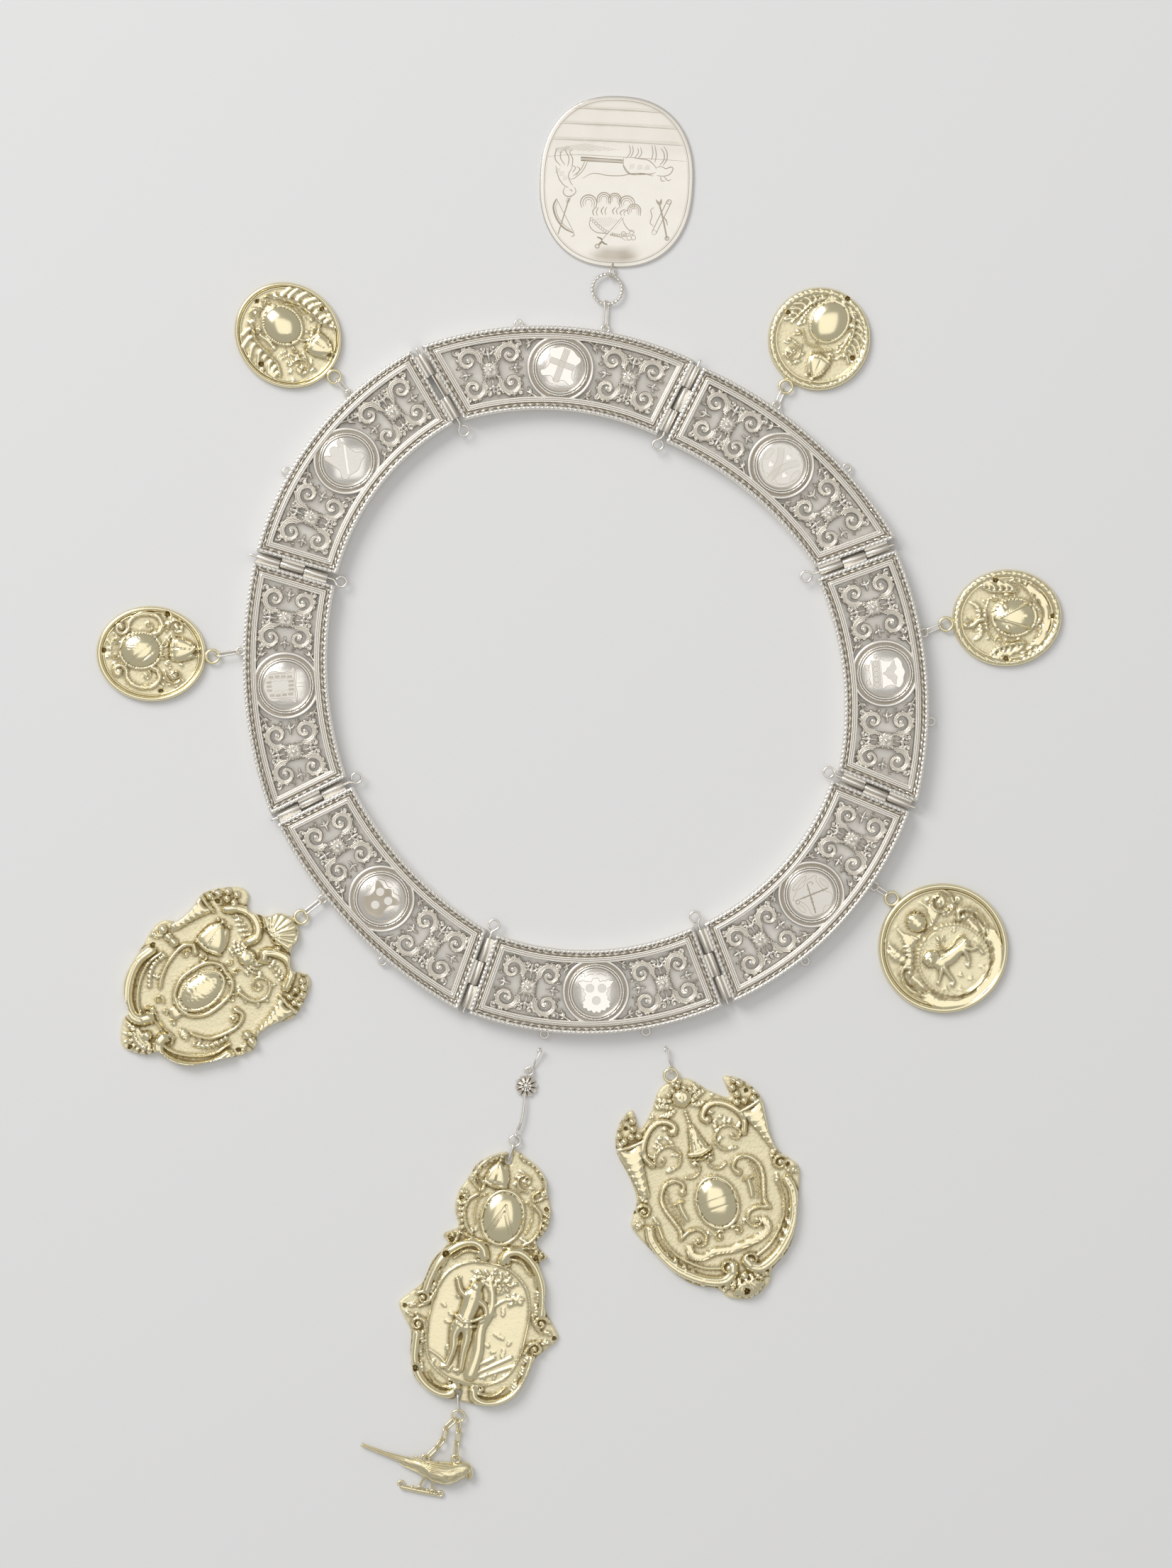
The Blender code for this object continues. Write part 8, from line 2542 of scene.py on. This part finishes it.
# %% Links of the two-part medal
gold_centre = np.array([-51.10, -261.82, 2.2])
lower_hole = gold_centre - level_way(271.1) * 9.5
for name, hole, ring, radius in (("upper_hole", upper_hole, jump, 2.25), ("lower_hole", lower_hole,
        gold_centre, 2.6)):
    way = (ring - hole) / np.linalg.norm(ring - hole)
    end = ring - way * (radius - 2 * LINK_WIRE - AIR)
    wire_piece(name + "_link_wire", name + "_link", link_line(hole, end, 90.0, 1.7), LINK_WIRE, silver,
        "silver", True)
wire_piece("gold_ring_wire", "gold_ring", ring_path(gold_centre, 2.6, points=40), 0.45, gilt, "gilt", True)

# %% [markdown]
# ## Bird on its perch
#
# A parrot cast in the round lies on its side and hangs from two short chains. The chains are links bent
# to and fro and fused where they touch. The feathers are chased over the cast body in long shallow
# grooves, and the perch ends in two curls.

# %% Bird
BIRD = np.array([-57.61, -285.13])
# Across, up, height and radius of the body from the tail to the face, from the bird's middle
BODY = (
    (-34.4, 11.2, 1.3, 0.75),
    (-29, 9.1, 1.45, 0.85),
    (-23.9, 7.2, 1.6, 1.05),
    (-18, 5.3, 1.9, 1.45),
    (-12.5, 3.4, 2.3, 2.2),
    (-8.6, 1.8, 2.7, 3.1),
    (-4.6, 0.3, 3.1, 4),
    (0, -0.9, 3.3, 4.6),
    (3.6, -0.8, 3.2, 4.3),
    (6.6, 0.2, 3.1, 3.6),
    (8.8, 1, 3.05, 3.2),
    (10.6, 1.2, 3, 2.6),
    (11.8, 1.1, 3, 1.6),
    (12.3, 1, 3, 0.6),
)


def spot_at(points):
    points = np.asarray(points, float)
    return np.column_stack([BIRD + points[:, :2], points[:, 2]])


def cast_round(rows, flat, grooves, sides=40):
    """A body of changing width with grooves along it; rows give place, height and radius."""
    line = evenly(smooth(rows, 0.5), 0.38)
    path, sizes = spot_at(line[:, :3]), line[:, 3]
    way = headings(path, False)
    side = np.cross(way, (0, 0, 1))
    side /= np.linalg.norm(side, axis=1)[:, None]
    turns = np.arange(sides) / sides * 2 * math.pi
    along = lengths(path)[0]
    made, low = [], []
    for i in range(len(path)):
        wave = np.sin(9 * turns + 0.55 * along[i] + 1.6 * np.sin(along[i] * 0.8 + turns))
        depth = grooves * min(1, sizes[i] / 3)
        reach = sizes[i] * (1 - depth * np.clip(wave, -0.2, 1) ** 2)
        made.append(path[i] + np.outer(reach * np.cos(turns), side[i]) + np.outer(reach * flat
            * np.sin(turns), (0, 0, 1)))
        # darker in the feather grooves (tarnish and painted shade) and painted shade on the underside
        low.append(np.clip(wave, 0, 1) ** 4 * 0.45 + (np.sin(turns) < -0.4) * 0.3)
    return rings(made, False), np.concatenate(low)


def body_top(x, y):
    """Height of the body's upper side."""
    table = np.array(BODY)
    middle, level, size = [np.interp(x, table[:, 0], table[:, i]) for i in (1, 2, 3)]
    return level + 0.66 * size * math.sqrt(max(0, 1 - ((y - middle) / size) ** 2))


def on_body(points, lift):
    line = smooth(points, 0.5)
    return spot_at([(x, y, body_top(x, y) + lift) for x, y in line])


def limb(rows, step, sides=10):
    """A round form through a few places, each with its own radius."""
    line = smooth(rows, step)
    return tube(spot_at(line[:, :3]), line[:, 3], sides)


def wire_on(points, step, radius, sides=10):
    return tube(spot_at(smooth(points, step)), radius, sides)


def build_bird():
    part = Part()
    (points, faces), low = cast_round(BODY, 0.66, 0.045)
    part.add(points, faces, low)
    # Folded wing, its long feathers and the split tail
    part.add(*tube(on_body([(7, 2.6), (3, 3.6), (-3, 4), (-9, 4.6)], -0.15), 0.34, 8), 0.05)
    for i in range(6):
        start = (5.4 - 1.3 * i, 2.4 - 0.75 * i)
        tip = (-11.4 + 1 * i, 4.9 - 0.85 * i)
        middle = ((start[0] + tip[0]) / 2, (start[1] + tip[1]) / 2 - 0.35)
        line = on_body([start, middle, tip], -0.12)
        t = np.linspace(0, 1, len(line))
        part.add(*tube(line, 0.14 + 0.26 * np.sin(math.pi * t) ** 0.7, 8), 0.1)
    for i in range(5):
        start = (-1.5 - 2.2 * i, -2.6 + 0.55 * i)
        tip = (-6.5 - 3 * i, -1 + 1.1 * i)
        line = on_body([start, ((start[0] + tip[0]) / 2, (start[1] + tip[1]) / 2 - 0.2), tip], -0.1)
        part.add(*tube(line, 0.22, 6), 0.15)
    wing = spot_at(smooth([(-2, 0.6, 5.3), (-6.6, 3.2, 4.6), (-10.2, 5.6, 4.1), (-12.2, 6.7, 3.6)], 0.5))
    part.add(*tube(wing, np.linspace(0.75, 0.42, len(wing)), 10), 0.05)
    for shift in (-0.35, 0.35):
        tail = [(-33.9, 11.1 + shift, 1.9), (-26, 8 + shift, 2.4), (-16, 4.6 + shift, 3)]
        part.add(*wire_on(tail, 0.8, 0.28, 8), 0.1)
    # Neck and throat feathers, a chain of short curved cuts
    for i in range(4):
        for j in range(3):
            foot = (2.2 + 1.5 * i, -2.9 + 1.5 * j)
            line = on_body([foot, (foot[0] + 0.9, foot[1] + 0.15), (foot[0] + 1.7, foot[1] + 0.75)], -0.08)
            part.add(*tube(line, 0.17, 6), 0.2)
    beak = [(10.8, 1, 3.1, 1.35), (11.7, -0.6, 3.1, 1.15), (11.6, -2.2, 3, 0.8), (10.7, -3.9, 3, 0.28)]
    part.add(*limb(beak, 0.4, 14), 0.02)
    part.add(*limb([(9.9, -1.2, 3, 0.7), (10.4, -2.2, 2.9, 0.5), (10.4, -2.9, 2.9, 0.25)], 0.3), 0.1)
    eye = BIRD + (10, 1.9)
    part.add(*bead(eye, 0.42, 4.55, 0.35, 12, 4))
    part.add(*tube(ring_path(np.append(eye, 4.72), 0.55, points=20), 0.13, 6, True), 0.45)
    # Perch with curled ends, legs and toes
    perch = [(-17.9, -6.6, 1.15, 1), (-12, -7.9, 1.15, 1.05), (-6, -9.1, 1.15, 1.05), (-2.6, -9.8, 1.15,
        0.95)]
    part.add(*limb(perch, 0.6, 14), 0.05)
    for curl in (((-18.4, -6.2), (-18.9, -5.2), (-18.3, -4.4), (-17.2, -4.3), (-16.5, -4.9)),
            ((-2.4, -10.2), (-1.3, -10.7), (-0.3, -10.2), (-0.2, -9.2), (-1, -8.6), (-1.9, -8.9))):
        part.add(*wire_on([(*spot, 1.1) for spot in curl], 0.3, 0.5), 0.1)
    for leg in ([(-6.6, -0.4, 2.6, 1), (-8.2, -3.2, 2.1, 0.62), (-9.8, -6.2, 1.8, 0.5)], [(-3.6, -2.2, 2.6,
            0.9), (-4.4, -5, 2.1, 0.6), (-4.4, -8, 1.8, 0.5)]):
        part.add(*limb(leg, 0.4), 0.1)
    for x, y in ((-9.8, -6.6), (-4.4, -8.2)):
        for way in (-1, 0, 1):
            toe = [(x, y + 0.5, 2.2), (x + way * 0.9, y - 0.3, 2.3), (x + way * 0.9 * 1.5, y - 1.3, 1.9)]
            part.add(*wire_on(toe, 0.3, 0.3, 8), 0.2)
    for spot in ((-13, -6.7), (-6.6, -8.1)):
        part.add(*bead(BIRD + spot, 0.8, 1.5, 0.9, 14, 5))
    for spot in ((-7.4, 5.3), (5.4, 5.1)):
        part.add(*tube(ring_path(np.append(BIRD + spot, 2.2), 1.65, points=34), 0.48, 10, True), 0.08)
    part.make("bird_and_perch", "bird", gilt, "gilt")
    return part


made = build_bird()
print("bird:", len(made.faces), "faces")


# %% Short chains
def build_strand(name, joints, ring):
    """Links turned to and fro between two flat rings, fused where they touch."""
    first, last = gold_centre[:2], BIRD + ring
    joints = [BIRD + joint for joint in joints]
    ways = [joints[0] - first, last - joints[-1]]
    ways = [way / np.linalg.norm(way) for way in ways]
    stops = [first + ways[0] * 2.6] + joints + [last - ways[1] * 1.65]
    part = Part()
    lap, hang = 0.42 * 0.82, 0.45 + 0.42 + 0.35
    for i, (a, b) in enumerate(zip(stops, stops[1:])):
        along = (b - a) / np.linalg.norm(b - a)
        before = hang if i == 0 else lap
        after = hang if i == len(joints) else lap
        start, end = np.append(a - along * before, 2.2), np.append(b + along * after, 2.2)
        part.add(*tube(link_line(start, end, 60.0 if i % 2 == 0 else -60.0, 1.55), 0.42, 10, True), 0.1)
    part.make(name + "_links", name, gilt, "gilt")
    return part


for name, joints, ring in (("left_strand", ((1.2, 18.2), (0.2, 13.4), (-2.4, 10.2)), (-7.4, 5.3)),
        ("right_strand", ((6.8, 17.0), (6.0, 12.1)), (5.4, 5.1))):
    made = build_strand(name, joints, ring)
    print(name, "has", len(made.faces), "faces")

# %% [markdown]
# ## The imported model
#
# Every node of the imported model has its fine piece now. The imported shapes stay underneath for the
# physics, and they carry the same two metals.

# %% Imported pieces
GILDED = ("medal", "shield", "gold_ring", "strand", "bird")
covered = {node for piece in bpy.data.objects for node in piece.get("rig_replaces", ())}
for node, piece in frame["nodes"].items():
    if not piece.material_slots:
        piece.data.materials.append(None)
    slot = piece.material_slots[0]
    slot.link = "OBJECT"
    slot.material = gilt if any(word in node for word in GILDED) else silver
print("nodes without a fine piece:", sorted(set(frame["nodes"]) - covered))

# %% [markdown]
# ## Table, light and camera

# %% Stage
ground = Finish("table")
ground.shader.inputs["Base Color"].default_value = (0.86, 0.86, 0.86, 1.0)
ground.shader.inputs["Roughness"].default_value = 0.9
sheet = bpy.data.meshes.new("table")
edge = 2.5
sheet.from_pydata([(-edge, -edge, 0), (edge, -edge, 0), (edge, edge, 0), (-edge, edge, 0)], [], [(0, 1, 2,
    3)])
table = bpy.data.objects.new("table", sheet)
bpy.context.scene.collection.objects.link(table)
table.data.materials.append(ground.material)

world = bpy.data.worlds.new("studio")
bpy.context.scene.world = world
world.use_nodes = True
world.node_tree.nodes["Background"].inputs["Color"].default_value = (1.0, 0.992, 0.978, 1.0)
world.node_tree.nodes["Background"].inputs["Strength"].default_value = 0.43


def lamp(name, place, aim, size, power):
    light = bpy.data.lights.new(name, "AREA")
    light.shape = "RECTANGLE"
    light.size, light.size_y = size
    light.energy = power
    lamp_piece = bpy.data.objects.new(name, light)
    bpy.context.scene.collection.objects.link(lamp_piece)
    way = np.asarray(aim, float) - np.asarray(place, float)
    lamp_piece.location = place
    lamp_piece.rotation_mode = "QUATERNION"
    lamp_piece.rotation_quaternion = Vector(way).to_track_quat("-Z", "Y")
    lamp_piece.visible_camera = False
    return lamp_piece


lamp("window", (-1.8, 1.95, 2.36), (0, 0, 0), (1.8, 1.8), 57.7)
lamp("overhead", (0.0, 0.1, 2.3), (0, 0, 0), (1.9, 1.9), 7.6)

camera = bpy.data.cameras.new("camera")
camera.lens = 135
camera.sensor_width = 36
view = bpy.data.objects.new("camera", camera)
bpy.context.scene.collection.objects.link(view)
HEIGHT_SEEN = 0.6636
view.location = (0.0029, 0.00545, HEIGHT_SEEN * camera.lens / camera.sensor_width)
camera.clip_start = 0.1
camera.clip_end = 10
bpy.context.scene.camera = view
bpy.context.scene.view_settings.view_transform = "Standard"
print("camera height, m:", round(view.location.z, 3))
